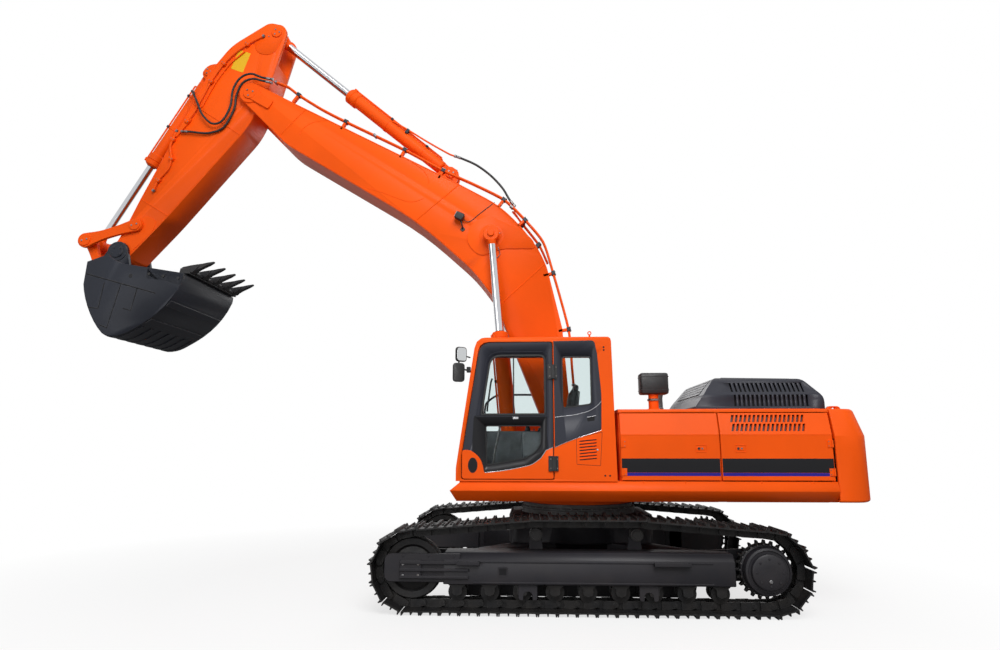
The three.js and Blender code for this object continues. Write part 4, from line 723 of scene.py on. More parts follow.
def build_finishes():
    groups = build_groups()
    colors = sizes("paint")
    enamel(groups, "body_enamel", colors.body, rough=0.5, coat=0.03, dust=0.06, gloss=0.12)
    enamel(groups, "cab_enamel", colors.cab, rough=0.45, coat=0.05, dust=0.04, shade=0.8)
    enamel(
        groups, "frame_enamel", colors.undercarriage, rough=0.5, coat=0.05, dust=0.05, dust_top=1.2,
        shade=0.7,
    )
    enamel(groups, "bucket_enamel", colors.bucket, rough=0.5, coat=0.05, dust=0.04, wear=0.4, shade=0.75)
    # Black enamel: real on the door stripes and trim, and laid on as painted shade in the track frame's
    # service hole, the cab flap's slots and along the bucket's creases.
    enamel(groups, "black_enamel_and_painted_shade", (0.008, 0.008, 0.01), rough=0.3, dust=0.02)
    enamel(groups, "stripe_blue", colors.stripe, rough=0.3, dust=0.02)
    enamel(groups, "sign_yellow", colors.sign, rough=0.4, dust=0.02)
    enamel(groups, "primer_grey", (0.1, 0.1, 0.105), rough=0.55, coat=0.0, dust=0.1)

    # Track and wear steel: dark, oily, scraped bright where it meets the ground.
    for name, color, scrape, rough in (
        ("track_steel", (0.007, 0.0068, 0.008), 0.2, 0.5),
        ("tooth_steel", (0.012, 0.013, 0.017), 0.2, 0.42),
    ):
        tree, shader = new_finish(name, Metallic=0.25)
        tone = use_group(
            tree, groups["tone"], Color=rgba(color), Shade=(0.014, 0.012, 0.011, 1), Scale=5.0,
        )["Color"]
        edges = use_group(tree, groups["wear"], Radius=0.01, Amount=scrape, Break_up=22.0)["Mask"]
        tree.links.new(mixed(tree, edges, tone, (0.16, 0.155, 0.15, 1)), shader.inputs["Base Color"])
        tree.links.new(
            ramp(tree, noise(tree, 12.0, 4), 0.3, 0.7, rough - 0.12, rough + 0.15),
            shader.inputs["Roughness"],
        )
        bump(tree, shader, use_group(tree, groups["streaks"])["Height"], 0.002, 0.4)

    tree, shader = new_finish("chrome", Metallic=1.0, Base_Color=(0.72, 0.73, 0.76, 1))
    fine = use_group(tree, groups["streaks"], Stretch=(30.0, 30.0, 30.0), Scale=4.0)["Mask"]
    tree.links.new(ramp(tree, fine, 0, 1, 0.09, 0.17), shader.inputs["Roughness"])

    tree, shader = new_finish("bare_steel", Metallic=0.9)
    tone = use_group(
        tree, groups["tone"], Color=(0.3, 0.3, 0.31, 1), Shade=(0.16, 0.13, 0.11, 1), Scale=18.0,
    )["Color"]
    tree.links.new(tone, shader.inputs["Base Color"])
    tree.links.new(ramp(tree, noise(tree, 60.0), 0.3, 0.7, 0.28, 0.5), shader.inputs["Roughness"])

    tree, shader = new_finish("cast_iron", Metallic=0.2)
    tone = use_group(
        tree, groups["tone"], Color=(0.12, 0.122, 0.125, 1), Shade=(0.07, 0.066, 0.062, 1), Scale=4.0,
    )["Color"]
    tree.links.new(tone, shader.inputs["Base Color"])
    tree.links.new(ramp(tree, noise(tree, 30.0), 0.3, 0.7, 0.5, 0.75), shader.inputs["Roughness"])
    bump(tree, shader, noise(tree, 220.0, 2), 0.001, 0.5)

    for name, color, low, high, grain in (
        ("black_plastic", (0.012, 0.012, 0.013), 0.42, 0.6, 500.0),
        ("grey_plastic", (0.04, 0.041, 0.045), 0.45, 0.6, 500.0),
        ("rubber", (0.009, 0.009, 0.0095), 0.48, 0.7, 120.0),
    ):
        tree, shader = new_finish(name)
        tone = use_group(
            tree, groups["tone"], Color=rgba(color), Shade=rgba(color, 1.6), Scale=7.0,
        )["Color"]
        tree.links.new(tone, shader.inputs["Base Color"])
        tree.links.new(ramp(tree, noise(tree, 25.0), 0.3, 0.7, low, high), shader.inputs["Roughness"])
        bump(tree, shader, noise(tree, grain, 2), 0.0006, 0.4)

    tree, shader = new_finish("seat_cloth", Sheen_Weight=0.25)
    weave = use_group(tree, groups["weave"])
    tree.links.new(
        mixed(tree, weave["Mask"], (0.016, 0.016, 0.019, 1), (0.03, 0.03, 0.035, 1)),
        shader.inputs["Base Color"],
    )
    tree.links.new(ramp(tree, weave["Height"], 0, 1, 0.75, 0.95), shader.inputs["Roughness"])
    bump(tree, shader, weave["Height"], 0.001, 0.6)

    # Flat safety glass: clear, with a faint film of dust that dulls its gloss in patches.
    tree, shader = new_finish("glass", Transmission_Weight=1.0, IOR=1.02, Base_Color=(0.82, 0.88, 0.88, 1))
    tree.links.new(ramp(tree, noise(tree, 2.2, 5), 0.35, 0.75, 0.0, 0.04), shader.inputs["Roughness"])
    tree, shader = new_finish("lamp_glass", Transmission_Weight=0.6, Base_Color=(0.8, 0.8, 0.78, 1))
    tree.links.new(ramp(tree, noise(tree, 90.0), 0.3, 0.7, 0.08, 0.25), shader.inputs["Roughness"])
    tree, shader = new_finish("mirror_glass", Metallic=1.0, Base_Color=(0.75, 0.77, 0.78, 1))
    tree.links.new(ramp(tree, noise(tree, 5.0), 0.3, 0.7, 0.02, 0.08), shader.inputs["Roughness"])
    tree, shader = new_finish("tail_red", Coat_Weight=0.5)
    tree.links.new(
        use_group(
            tree, groups["tone"], Color=(0.4, 0.01, 0.01, 1), Shade=(0.25, 0.006, 0.006, 1), Scale=60.0
        )["Color"],
        shader.inputs["Base Color"],
    )

    # Perforated sheet of the hood: round holes at an even pitch in cab enamel, filled near black as painted
    # shade of the space behind them.
    tree, shader = new_finish("perforated_sheet")
    mask = use_group(tree, groups["holes"], Pitch=0.034, Radius=0.3)["Mask"]
    tree.links.new(mixed(tree, mask, rgba(colors.cab), (0.003, 0.003, 0.003, 1)), shader.inputs["Base Color"])
    tree.links.new(ramp(tree, mask, 0, 1, 0.42, 0.9), shader.inputs["Roughness"])
    bump(tree, shader, math_node(tree, "SUBTRACT", 1.0, mask), 0.003, 0.8)


LAMP_AIM = Vector((-0.5, 0, 3.0))
CAMERA_AHEAD = 0.63  # of the swing's axis
CAMERA_OUT = 9.69
CAMERA_HEIGHT = 1.909
CAMERA_TILT = 10.47
CAMERA_TURN = 2.78


def build_stage():
    """White surroundings, pale floor, three soft lamps and the camera."""
    stage = sizes("stage")
    scene = bpy.context.scene
    scene.view_settings.view_transform = "Standard"

    world = bpy.data.worlds.new("Studio")
    scene.world = world
    world.use_nodes = True
    tree = world.node_tree
    background = tree.nodes["Background"]
    rays = tree.nodes.new("ShaderNodeLightPath").outputs
    seen = math_node(tree, "ADD", rays["Is Camera Ray"], rays["Is Transmission Ray"], True)
    seen = math_node(tree, "ADD", seen, math_node(tree, "MULTIPLY", rays["Is Glossy Ray"], 0.6), True)
    tree.links.new(ramp(tree, seen, 0, 1, stage.sky, 1.0), background.inputs["Strength"])
    background.inputs["Color"].default_value = (1, 1, 1, 1)

    put_down_all()
    bpy.ops.mesh.primitive_plane_add(size=160, location=(0, 0, -0.002))
    floor = bpy.context.object
    floor.name = "floor"
    tree, shader = new_finish("pale_floor", Roughness=0.9, Specular_IOR_Level=0.1)
    place = add_node(tree, "ShaderNodeSeparateXYZ", {0: object_place(tree)})
    far = math_node(
        tree, "SQRT",
        math_node(
            tree, "ADD",
            math_node(tree, "POWER", place.outputs["X"], 2), math_node(tree, "POWER", place.outputs["Y"], 2),
        ), 0,
    )
    rays = tree.nodes.new("ShaderNodeLightPath").outputs
    seen = math_node(tree, "ADD", rays["Is Camera Ray"], rays["Is Transmission Ray"], True)
    shade = mixed(tree, seen, (0.22, 0.22, 0.22, 1), (0.86, 0.86, 0.86, 1))
    tree.links.new(shade, shader.inputs["Base Color"])
    white = add_node(tree, "ShaderNodeEmission", {"Color": (1, 1, 1, 1), "Strength": 1.0})
    share = math_node(tree, "MULTIPLY", ramp(tree, far, 3.5, 8.0, 0.7, 1.0), seen)
    blend = add_node(tree, "ShaderNodeMixShader", {0: share, 1: shader.outputs[0], 2: white.outputs[0]})
    tree.links.new(blend.outputs[0], tree.nodes["Material Output"].inputs["Surface"])
    floor.data.materials.append(FINISHES["pale_floor"])

    for name, place, size, power in (
        ("key lamp", (-3.5, 12.0, 13.0), 9.0, stage.key),
        ("fill lamp", (7.0, 13.0, 2.5), 7.0, stage.fill),
        ("back lamp", (-2.0, -12.0, 10.0), 8.0, stage.fill),
    ):
        bpy.ops.object.light_add(type="AREA", location=place)
        lamp = bpy.context.object
        lamp.name = name
        lamp.data.size = size
        lamp.data.energy = power
        target = LAMP_AIM - Vector(place)
        lamp.rotation_euler = target.to_track_quat("-Z", "Y").to_euler()

    bpy.ops.object.camera_add(
        location=(HOUSE.translation.x + CAMERA_AHEAD, CAMERA_OUT, CAMERA_HEIGHT),
        rotation=(math.radians(90 + CAMERA_TILT), 0, math.radians(180 + CAMERA_TURN)),
    )
    camera = bpy.context.object
    camera.data.lens = stage.lens
    camera.data.sensor_width = 36
    camera.data.clip_end = 300
    scene.camera = camera


# ---------------------------------------------------------------- undercarriage

TRACK_MIDDLE = 1.375
TUMBLER_X = 2.075
TUMBLER_Z = 0.492
TUMBLER_RADIUS = 0.35
CHAIN_HEIGHT = 0.09
TOP_RISE = 0.118
CARRIER_X = 0.6
SHOE_PITCH = 0.228
BEAM_LOW, BEAM_SIDE, BEAM_TOP = 0.33, 0.6, 0.68
BEAM_END = 1.69
BEARING_Z = 1.0303


def track_line(offset):
    """Closed side view of the chain at an offset out of its inner face, from the lower front, counting up."""
    radius = TUMBLER_RADIUS + offset
    slope = math.degrees(math.atan2(TOP_RISE, TUMBLER_X - CARRIER_X))
    high = TUMBLER_Z + radius + TOP_RISE
    front = circle(TUMBLER_X, TUMBLER_Z, radius, 16, -90, 90 - slope)
    rear = circle(-TUMBLER_X, TUMBLER_Z, radius, 16, 90 + slope, 270)
    return [*front, (CARRIER_X, high), (-CARRIER_X, high), *rear]


def pitch_places(y):
    """Where each shoe of a chain stands, its X along the run and its Z away from the wheels."""
    points = [Vector(p) for p in track_line(CHAIN_HEIGHT)]
    points.append(points[0])
    runs = [(b - a).length for a, b in zip(points, points[1:])]
    count = round(sum(runs) / SHOE_PITCH)
    places = []
    for i in range(count):
        rest = (i + 0.9) * sum(runs) / count % sum(runs)
        step = 0
        while rest > runs[step]:
            rest -= runs[step]
            step += 1
        along = (points[step + 1] - points[step]).normalized()
        spot = points[step] + along * rest
        turn = Matrix(((along.x, 0, along.y), (0, 1, 0), (along.y, 0, -along.x))).to_4x4()
        places.append(Matrix.Translation((spot.x, y, spot.y)) @ turn)
    return places


def track_pitch():
    """One pitch of the chain: a three-bar shoe, its bolts, the two pairs of links and a pin."""
    top = 0.022 + sizes("tracks").grouser
    section = [
        (-0.112, 0.002), (0.104, 0.002), (0.116, 0.014), (0.116, top), (0.103, top), (0.095, 0.02),
        (0.012, 0.018), (0.006, top - 0.006), (-0.006, top - 0.006), (-0.012, 0.018),
        (-0.082, 0.02), (-0.09, top), (-0.103, top), (-0.112, 0.014),
    ]
    parts = [plate(section, -0.3, 0.3, "track_steel", edge=0)]
    link_end = [(0.114, -0.012), (0.145, -0.024), (0.152, -0.05), (0.138, -0.078), (0.114, -0.09)]
    for side in (1, -1):
        for way, near in ((1, 0.056), (-1, 0.082)):
            outline = [(-0.03 * way, 0), (0.07 * way, 0)] + [(x * way, z) for x, z in link_end]
            outline += [(0.02 * way, -0.088), (-0.03 * way, -0.088)]
            parts.append(plate(outline, near * side, (near + 0.025) * side, "track_steel", edge=0))
    put_down_all()
    bpy.ops.mesh.primitive_cylinder_add(
        vertices=8, radius=0.024, depth=0.225, location=(0.114, 0, -0.05), rotation=(math.radians(90), 0, 0),
    )
    bpy.ops.object.transform_apply(location=True, rotation=True, scale=True)
    parts.append(paint(bpy.context.object, "track_steel"))
    for x in (-0.047, 0.052):
        for y in (-0.082, 0.082):
            put_down_all()
            bpy.ops.mesh.primitive_cylinder_add(vertices=6, radius=0.016, depth=0.014, location=(x, y, 0.026))
            bpy.ops.object.transform_apply(location=True, rotation=True, scale=True)
            parts.append(paint(bpy.context.object, "track_steel"))
    take(*parts)
    bpy.ops.object.join()
    return bpy.context.object


class ModelTracks(bpy.types.Operator):
    """Chains with three-bar shoes, bolts, links and pins, one copy per pitch"""

    bl_idname = "excavator.tracks"
    bl_label = "Tracks"

    def execute(self, context):
        for word, side in SIDES:
            chain = copied(track_pitch(), pitch_places(side * TRACK_MIDDLE))
            settle(f"track_chain_{word}", [chain], "undercarriage", HOUSE, [f"track_{word}"])
        return {"FINISHED"}


TREAD = TUMBLER_RADIUS - 0.004


def model_idler(word, middle):
    """Idler wheel with its rims, its guide ridge and its hub."""
    idler = [
        (0.06, -0.15), (0.12, -0.15), (0.13, -0.14), (0.13, -0.1), (0.24, -0.07), (0.27, -0.1),
        (TREAD - 0.01, -0.105), (TREAD, -0.095), (TREAD, -0.045), (TREAD - 0.02, -0.04),
        (TREAD + 0.016, -0.03), (TREAD + 0.016, 0.03), (TREAD - 0.02, 0.04), (TREAD, 0.045), (TREAD, 0.095),
        (TREAD - 0.01, 0.105), (0.27, 0.1), (0.24, 0.07), (0.13, 0.1), (0.13, 0.14), (0.12, 0.15),
        (0.06, 0.15),
    ]
    front = turned(idler, "track_steel", at=(TUMBLER_X, 0, TUMBLER_Z), sides=40)
    settle(f"idler_wheel_{word}", [front], "undercarriage", middle, [f"idler_{word}"])


def model_final_drive(word, side, middle):
    """Sprocket with its teeth, the drive's drum, its bolts and its plug."""
    teeth = sizes("tracks").teeth
    outline = []
    for i in range(teeth):
        for share, reach in ((-0.22, -0.048), (-0.1, -0.01), (0.1, -0.01), (0.22, -0.048)):
            turn = (i + share) * 2 * math.pi / teeth
            outline.append(((TREAD + reach) * math.cos(turn), (TREAD + reach) * math.sin(turn)))
    wheel = plate(outline, -0.034, 0.034, "track_steel", edge=0.004)
    cover = turned(
        [
            (0, -0.11), (0.25, -0.11), (0.262, -0.1), (0.262, 0.04), (0.29, 0.045), (0.29, 0.075),
            (0.272, 0.085), (0.272, 0.15), (0.262, 0.185), (0.238, 0.195), (0.232, 0.182), (0.205, 0.182),
            (0.198, 0.225), (0.18, 0.236), (0.06, 0.24), (0, 0.24),
        ],
        "frame_enamel", sides=48,
    )
    ring_bolts = bolts([(a, 0.072, b) for a, b in circle(0, 0, 0.281, 24)], 0.011, side=1)
    lid_bolts = bolts([(a, 0.236, b) for a, b in circle(0, 0, 0.15, 8)], 0.014, side=1, finish="frame_enamel")
    plug = turned(drum(0.022, 0.2, 0.25), "bare_steel", at=(0.0, 0, -0.1), sides=12)
    drive = [wheel, cover, ring_bolts, lid_bolts, plug]
    turn = Matrix() if side > 0 else Matrix.Rotation(math.radians(180), 4, "Z")
    place = middle @ Matrix.Translation((-TUMBLER_X, 0, TUMBLER_Z)) @ turn
    settle(f"final_drive_{word}", drive, "undercarriage", place, [f"sprocket_{word}"])


def model_lower_rollers(word, middle):
    """A row of flanged rollers, each with its shaft blocks."""
    count = sizes("tracks").rollers
    radius = 0.09
    low = TUMBLER_Z - TUMBLER_RADIUS + 0.002
    roller = turned(
        [
            (0.03, -0.15), (0.055, -0.15), (0.06, -0.12), (radius + 0.02, -0.115), (radius + 0.02, -0.1),
            (radius, -0.095), (radius, -0.05), (0.07, -0.045), (0.07, 0.045), (radius, 0.05), (radius, 0.095),
            (radius + 0.02, 0.1), (radius + 0.02, 0.115), (0.06, 0.12), (0.055, 0.15), (0.03, 0.15),
        ],
        "track_steel", at=(0, 0, 0), sides=24,
    )
    cap = turned(drum(0.042, -0.185, 0.185), "track_steel", sides=16)
    # The roller's shaft blocks, bolted up against the beam.
    blocks = [
        plate(
            [
                (-0.06, 0.05), (-0.06, -0.03, 0.04), (0.06, -0.03, 0.04), (0.06, 0.05), (0.105, 0.09),
                (-0.105, 0.09),
            ],
            0.155 * way, 0.186 * way, "track_steel", edge=0.003,
        )
        for way in (1, -1)
    ]
    take(roller, cap, *blocks)
    bpy.ops.object.join()
    span = 2 * BEAM_END - 0.32
    spots = [-span / 2 + i * span / (count - 1) for i in range(count)]
    rollers = copied(bpy.context.object, [Matrix.Translation((x, 0, low + radius)) for x in spots])
    settle(
        f"track_rollers_{word}", [rollers], "undercarriage", middle,
        [f"lower_rollers_{word}"],
    )


class ModelWheels(bpy.types.Operator):
    """Idlers, sprockets with their final drives, and the lower rollers"""

    bl_idname = "excavator.wheels"
    bl_label = "Track wheels"

    def execute(self, context):
        for word, side in SIDES:
            middle = HOUSE @ Matrix.Translation((0, side * TRACK_MIDDLE, 0))
            model_idler(word, middle)
            model_final_drive(word, side, middle)
            model_lower_rollers(word, middle)
        return {"FINISHED"}


def track_frame(side):
    """Beam with its sloped shoulder, idler yoke, guards, steps, chain guides and carrier rollers."""
    out, into = 0.225, -0.19
    section = [
        (into * side, BEAM_LOW), (out * side, BEAM_LOW), (out * side, BEAM_SIDE),
        ((out - 0.075) * side, BEAM_TOP), (into * side, BEAM_TOP),
    ]
    parts = [plate(section, -BEAM_END, BEAM_END, "frame_enamel", across="x", edge=0.012, segments=2)]
    face = out * side
    # Square service hole, its depth a black plate flush inside the frame as painted shade.
    parts.append(ring(
        oblong(0.93, 1.05, 0.42, 0.53, 0.02), 0.018,
        face - 0.004 * side, face + 0.004 * side, "frame_enamel",
    ))
    parts.append(plate(
        oblong(0.945, 1.035, 0.435, 0.515),
        face - 0.002 * side, face + 0.0012 * side, "black_enamel_and_painted_shade", edge=0,
    ))
    # Long stiffening lips welded along the face.
    for z in (0.345, 0.575):
        parts.append(slab(
            -BEAM_END + 0.25, BEAM_END - 0.35, face, face + 0.008 * side, z, z + 0.018, "frame_enamel",
            0.003,
        ))
    # Idler yoke: two side plates, guard ridges and the sliding block with its bolts.
    nose = TUMBLER_X + 0.32
    for y in (0.165, -0.215):
        parts.append(plate(
            [(BEAM_END - 0.2, 0.35), (nose, 0.35, 0.09), (nose, 0.67, 0.09), (BEAM_END - 0.2, 0.67)],
            y if side > 0 else -y - 0.05, y + 0.05 if side > 0 else -y, "frame_enamel", edge=0.008,
        ))
    for z in (0.395, 0.475, 0.555):
        parts.append(slab(
            BEAM_END - 0.3, TUMBLER_X + 0.13, 0.2 * side, 0.252 * side, z, z + 0.034, "frame_enamel", 0.006
        ))
    parts.append(slab(
        TUMBLER_X - 0.13, TUMBLER_X + 0.13, 0.2 * side, 0.236 * side, 0.4, 0.6, "frame_enamel", 0.01
    ))
    parts.append(bolts(
        [(TUMBLER_X + a, 0.236 * side, TUMBLER_Z + b) for a in (-0.09, 0.09) for b in (-0.065, 0.065)],
        0.017, side=side,
    ))
    parts.append(bolts(
        [(BEAM_END - 0.12 + 0.3 * i, 0.215 * side, 0.645) for i in range(3)], 0.014, side=side,
        finish="frame_enamel",
    ))
    # Steps on the shoulder, each with an upturned edge and a tread pattern of bars.
    for x0, x1 in ((1.26, 1.53), (-1.18, -0.76)):
        parts.append(slab(x0, x1, 0.2 * side, 0.288 * side, 0.553, 0.57, "frame_enamel", 0.003))
        parts.append(slab(x0, x1, 0.278 * side, 0.289 * side, 0.56, 0.594, "frame_enamel", 0.003))
        for x in (x0, x1 - 0.012):
            parts.append(slab(x, x + 0.012, 0.2 * side, 0.284 * side, 0.55, 0.594, "frame_enamel", 0.003))
        bars = int((x1 - x0) / 0.05)
        for i in range(bars):
            x = x0 + 0.03 + i * 0.05
            parts.append(slab(x, x + 0.012, 0.215 * side, 0.27 * side, 0.569, 0.577, "frame_enamel", 0.002))
    # Chain guides under the beam and the motor's mounting plate at the rear.
    for x in (0.7, -0.7):
        for y in (0.15, -0.19):
            low = y if side > 0 else -y - 0.04
            parts.append(plate(
                [(x - 0.11, 0.35), (x - 0.11, 0.16, 0.05), (x - 0.055, 0.15, 0.02), (x - 0.05, 0.25, 0.05),
                 (x + 0.05, 0.25, 0.05), (x + 0.055, 0.15, 0.02), (x + 0.11, 0.16, 0.05), (x + 0.11, 0.35)],
                low, low + 0.04, "frame_enamel", edge=0.004,
            ))
    parts.append(plate(
        [(-1.35, 0.36), (-1.3, 0.13, 0.06), (1.5, 0.13, 0.06), (1.55, 0.36)],
        -0.172 * side, -0.158 * side, "frame_enamel", edge=0.003,
    ))
    rear = [
        (-BEAM_END + 0.2, BEAM_LOW), (-BEAM_END + 0.2, BEAM_TOP),
        (-TUMBLER_X - 0.18, BEAM_TOP + 0.04, 0.12), (-TUMBLER_X - 0.18, BEAM_LOW, 0.12),
    ]
    parts.append(plate(rear, -0.19 * side, -0.13 * side, "frame_enamel", edge=0.008))
    parts.append(turned(drum(0.06, -0.2, 0.2), "track_steel", at=(TUMBLER_X, 0, TUMBLER_Z), sides=24))
    # Carrier rollers on their brackets.
    axle = TUMBLER_Z + TUMBLER_RADIUS + TOP_RISE - 0.078 - 0.004
    for x in (CARRIER_X, -CARRIER_X):
        parts.append(plate(
            [
                (x - 0.09, BEAM_TOP - 0.02), (x + 0.09, BEAM_TOP - 0.02), (x + 0.055, axle + 0.06, 0.05),
                (x - 0.055, axle + 0.06, 0.05),
            ],
            -0.19 * side, -0.14 * side, "frame_enamel",
        ))
        wheel = [
            (0, -0.15), (0.035, -0.15), (0.035, -0.095), (0.078, -0.085), (0.078, -0.02), (0.06, -0.015),
            (0.06, 0.015), (0.078, 0.02), (0.078, 0.09), (0.07, 0.095), (0.055, 0.095), (0.052, 0.105),
            (0, 0.105),
        ]
        roller = turned(wheel, "track_steel", sides=28)
        turn = Matrix.Translation((x, 0, axle))
        parts.append(shifted(roller, turn if side > 0 else turn @ Matrix.Rotation(math.radians(180), 4, "Z")))
    return parts


def model_side_frames():
    """Both track frames with all that is fixed to them."""
    for word, side in SIDES:
        middle = HOUSE @ Matrix.Translation((0, side * TRACK_MIDDLE, 0))
        settle(
            f"side_frame_{word}", track_frame(side), "undercarriage", middle,
            [f"track_frame_{word}"],
        )


def model_car_body():
    """Centre frame with its legs to the track frames."""
    body = from_frame("car_body", "frame_enamel", edge=0.014, segments=2)
    settle("car_body_steel", [body], "undercarriage", Matrix(), ["car_body"])


def model_swing_bearing():
    """Slewing ring with its groove, its lower bolts and a grease point."""
    bearing = turned(
        [(0, 0), (0.79, 0), (0.79, 0.052), (0.775, 0.056), (0.775, 0.064), (0.79, 0.068), (0.79, 0.078),
         (0.755, 0.084), (0.755, 0.129), (0, 0.129)],
        "cast_iron", at=(0, 0, BEARING_Z), across="z", sides=72,
    )
    lower = bolts([(a, b, BEARING_Z + 0.078) for a, b in circle(0, 0, 0.773, 36)], 0.012, across="z")
    grease = pipe([(0.76, 0.2, BEARING_Z + 0.03), (0.8, 0.21, BEARING_Z + 0.03)], 0.007, "bare_steel")
    settle("bearing_ring", [bearing, lower, grease], "undercarriage", HOUSE, ["swing_bearing"])


class ModelUndercarriage(bpy.types.Operator):
    """Track frames, the car body between them and the swing bearing"""

    bl_idname = "excavator.undercarriage"
    bl_label = "Undercarriage"

    def execute(self, context):
        model_side_frames()
        model_car_body()
        model_swing_bearing()
        return {"FINISHED"}


# ---------------------------------------------------------------- house

DECK_LOW, DECK_TOP, DECK_REAR = 1.26, 1.5, -2.99
HOUSE_HALF, CREASE, HOUSE_TOP, LEAN = 1.45, 2.06, 2.37, 0.09
HOUSE_FRONT, DOOR_SPLIT, HOUSE_REAR = -0.43, -1.64, -2.985
FLOOR = DECK_TOP + 0.0005
PANEL = 0.035
TAIL = 3.6


def wall(side, low, high, out, thick):
    """Front view of a wall, upright to the crease and leaning in above it."""
    lean = LEAN * (high - CREASE) / (HOUSE_TOP - CREASE)
    return [
        (side * (out - thick), low), (side * out, low), (side * out, CREASE), (side * (out - lean), high),
        (side * (out - lean - thick), high), (side * (out - thick), CREASE),
    ]


def slot_cutters(spots, width, height, depth, slant):
    """Slanted slots to cut, each a leaning bar through the wall at (x, y, z)."""
    cutters = []
    for x, y, z in spots:
        outline = [(x - width / 2 - slant, z - height / 2), (x + width / 2 - slant, z - height / 2),
                   (x + width / 2 + slant, z + height / 2), (x - width / 2 + slant, z + height / 2)]
        cutters.append(plate(outline, y - depth, y + depth, "black_enamel_and_painted_shade", edge=0))
    return cutters


def latch(x, y, z, side):
    """A flush latch in its oblong dish, with a dark pull and a bright key, on a wall facing across."""
    frame_ring = ring(
        oblong(x - 0.065, x + 0.065, z - 0.045, z + 0.045, 0.01),
        0.006, y - 0.002 * side, y + 0.005 * side, "body_enamel",
    )
    paddle = slab(
        x - 0.04, x + 0.045, y - 0.002 * side, y + 0.004 * side, z - 0.022, z + 0.022, "body_enamel", 0.003,
        2,
    )
    pull = turned(drum(0.016, y, y + 0.006 * side, 0.001), "black_plastic", at=(x + 0.028, 0, z), sides=20)
    key = turned(drum(0.012, y, y + 0.007 * side, 0.002), "bare_steel", at=(x - 0.012, 0, z), sides=16)
    return [frame_ring, paddle, pull, key]


def side_door(name, side, x0, x1, hinge_x):
    """A side door: folded panel, slots and screen on the rear one, stripe, latch, seals and hinges."""
    rear = x1 < DOOR_SPLIT + 0.01
    a, b = x0 + 0.006, x1 - 0.006
    low, high = DECK_TOP + 0.012, HOUSE_TOP - 0.05
    panel = plate(
        wall(side, low, high, HOUSE_HALF, PANEL), a, b, "body_enamel", across="x", edge=0.007, segments=2
    )
    parts = [panel]
    if rear:
        count = sizes("fittings").slots
        pitch = 0.84 / (count - 1)
        spots = []
        for z in (2.143, 2.252):
            y = HOUSE_HALF - LEAN * (z - CREASE) / (HOUSE_TOP - CREASE)
            spots += [(-1.815 - i * pitch, side * (y - 0.02), z) for i in range(count)]
        cut_away(panel, *slot_cutters(spots, 0.031, 0.09, 0.06, -0.013))
        screen = plate(
            [
                (side * (HOUSE_HALF - 0.045), 2.07), (side * (HOUSE_HALF - 0.041), 2.07),
                (side * (HOUSE_HALF - 0.107), 2.3), (side * (HOUSE_HALF - 0.111), 2.3),
            ],
            a + 0.05, b - 0.05, "black_plastic", across="x", edge=0,
        )
        parts.append(screen)
    smooth(panel, 12)
    # A fine ledge on the crease, then the blank stripe: black with a narrow line under it.
    y = side * HOUSE_HALF
    lines = (a + 0.008, b - 0.008)
    parts.append(slab(
        a, b, y - 0.002 * side, y + 0.003 * side, CREASE - 0.008, CREASE - 0.002, "body_enamel", 0.001
    ))
    parts.append(slab(*lines, y - 0.001 * side, y + 0.0016 * side, 1.605, 1.772, "black_enamel_and_painted_shade", 0.0005))
    parts.append(slab(*lines, y - 0.001 * side, y + 0.0016 * side, 1.566, 1.603, "stripe_blue", 0.0005))
    parts += latch(-1.88 if rear else -1.41, y, 1.89, side)
    # Rubber seal inside the edge, and two stiffening rails across the inside.
    inner = HOUSE_HALF - PANEL
    seal = [
        (a + 0.03, side * (inner - 0.006), low + 0.03), (b - 0.03, side * (inner - 0.006), low + 0.03),
        (b - 0.03, side * (inner - 0.006), CREASE), (b - 0.03, side * (inner - 0.082), high - 0.02),
        (a + 0.03, side * (inner - 0.082), high - 0.02), (a + 0.03, side * (inner - 0.006), CREASE),
        (a + 0.03, side * (inner - 0.006), low + 0.06),
    ]
    parts.append(pipe(seal, 0.007, "rubber", 8))
    for z in (low + 0.25, CREASE - 0.08):
        parts.append(slab(
            a + 0.08, b - 0.08, side * (inner - 0.014), side * inner, z, z + 0.05, "body_enamel", 0.004
        ))
    inward = -1 if hinge_x > (x0 + x1) / 2 else 1
    hinge_y = side * (HOUSE_HALF + 0.012)
    for share in (0.2, 0.8):
        z = DECK_TOP + share * (CREASE - DECK_TOP)
        parts.append(turned(
            drum(0.011, z - 0.045, z + 0.045, 0.002), "body_enamel", at=(hinge_x, hinge_y, 0), across="z",
            sides=20,
        ))
        leaf = (hinge_x, hinge_x + inward * 0.06)
        parts.append(slab(
            *leaf, side * (HOUSE_HALF - 0.01), side * (HOUSE_HALF + 0.008), z - 0.044, z + 0.044,
            "body_enamel", 0.002,
        ))
        parts.append(bolts(
            [(hinge_x + inward * 0.042, side * (HOUSE_HALF + 0.008), z + d) for d in (-0.026, 0.026)],
            0.006, side=side,
        ))
    settle(f"{name}_panel", parts, name, HOUSE, [name])


class ModelSideDoors(bpy.types.Operator):
    """Four service doors with their stripe, air slots, latches and hinges"""

    bl_idname = "excavator.side_doors"
    bl_label = "Side doors"

    def execute(self, context):
        for word, side in SIDES:
            side_door(f"{word}_front_door", side, DOOR_SPLIT, HOUSE_FRONT - 0.006, HOUSE_FRONT - 0.02)
            side_door(f"{word}_rear_door", side, HOUSE_REAR + 0.006, DOOR_SPLIT, HOUSE_REAR + 0.02)
        return {"FINISHED"}


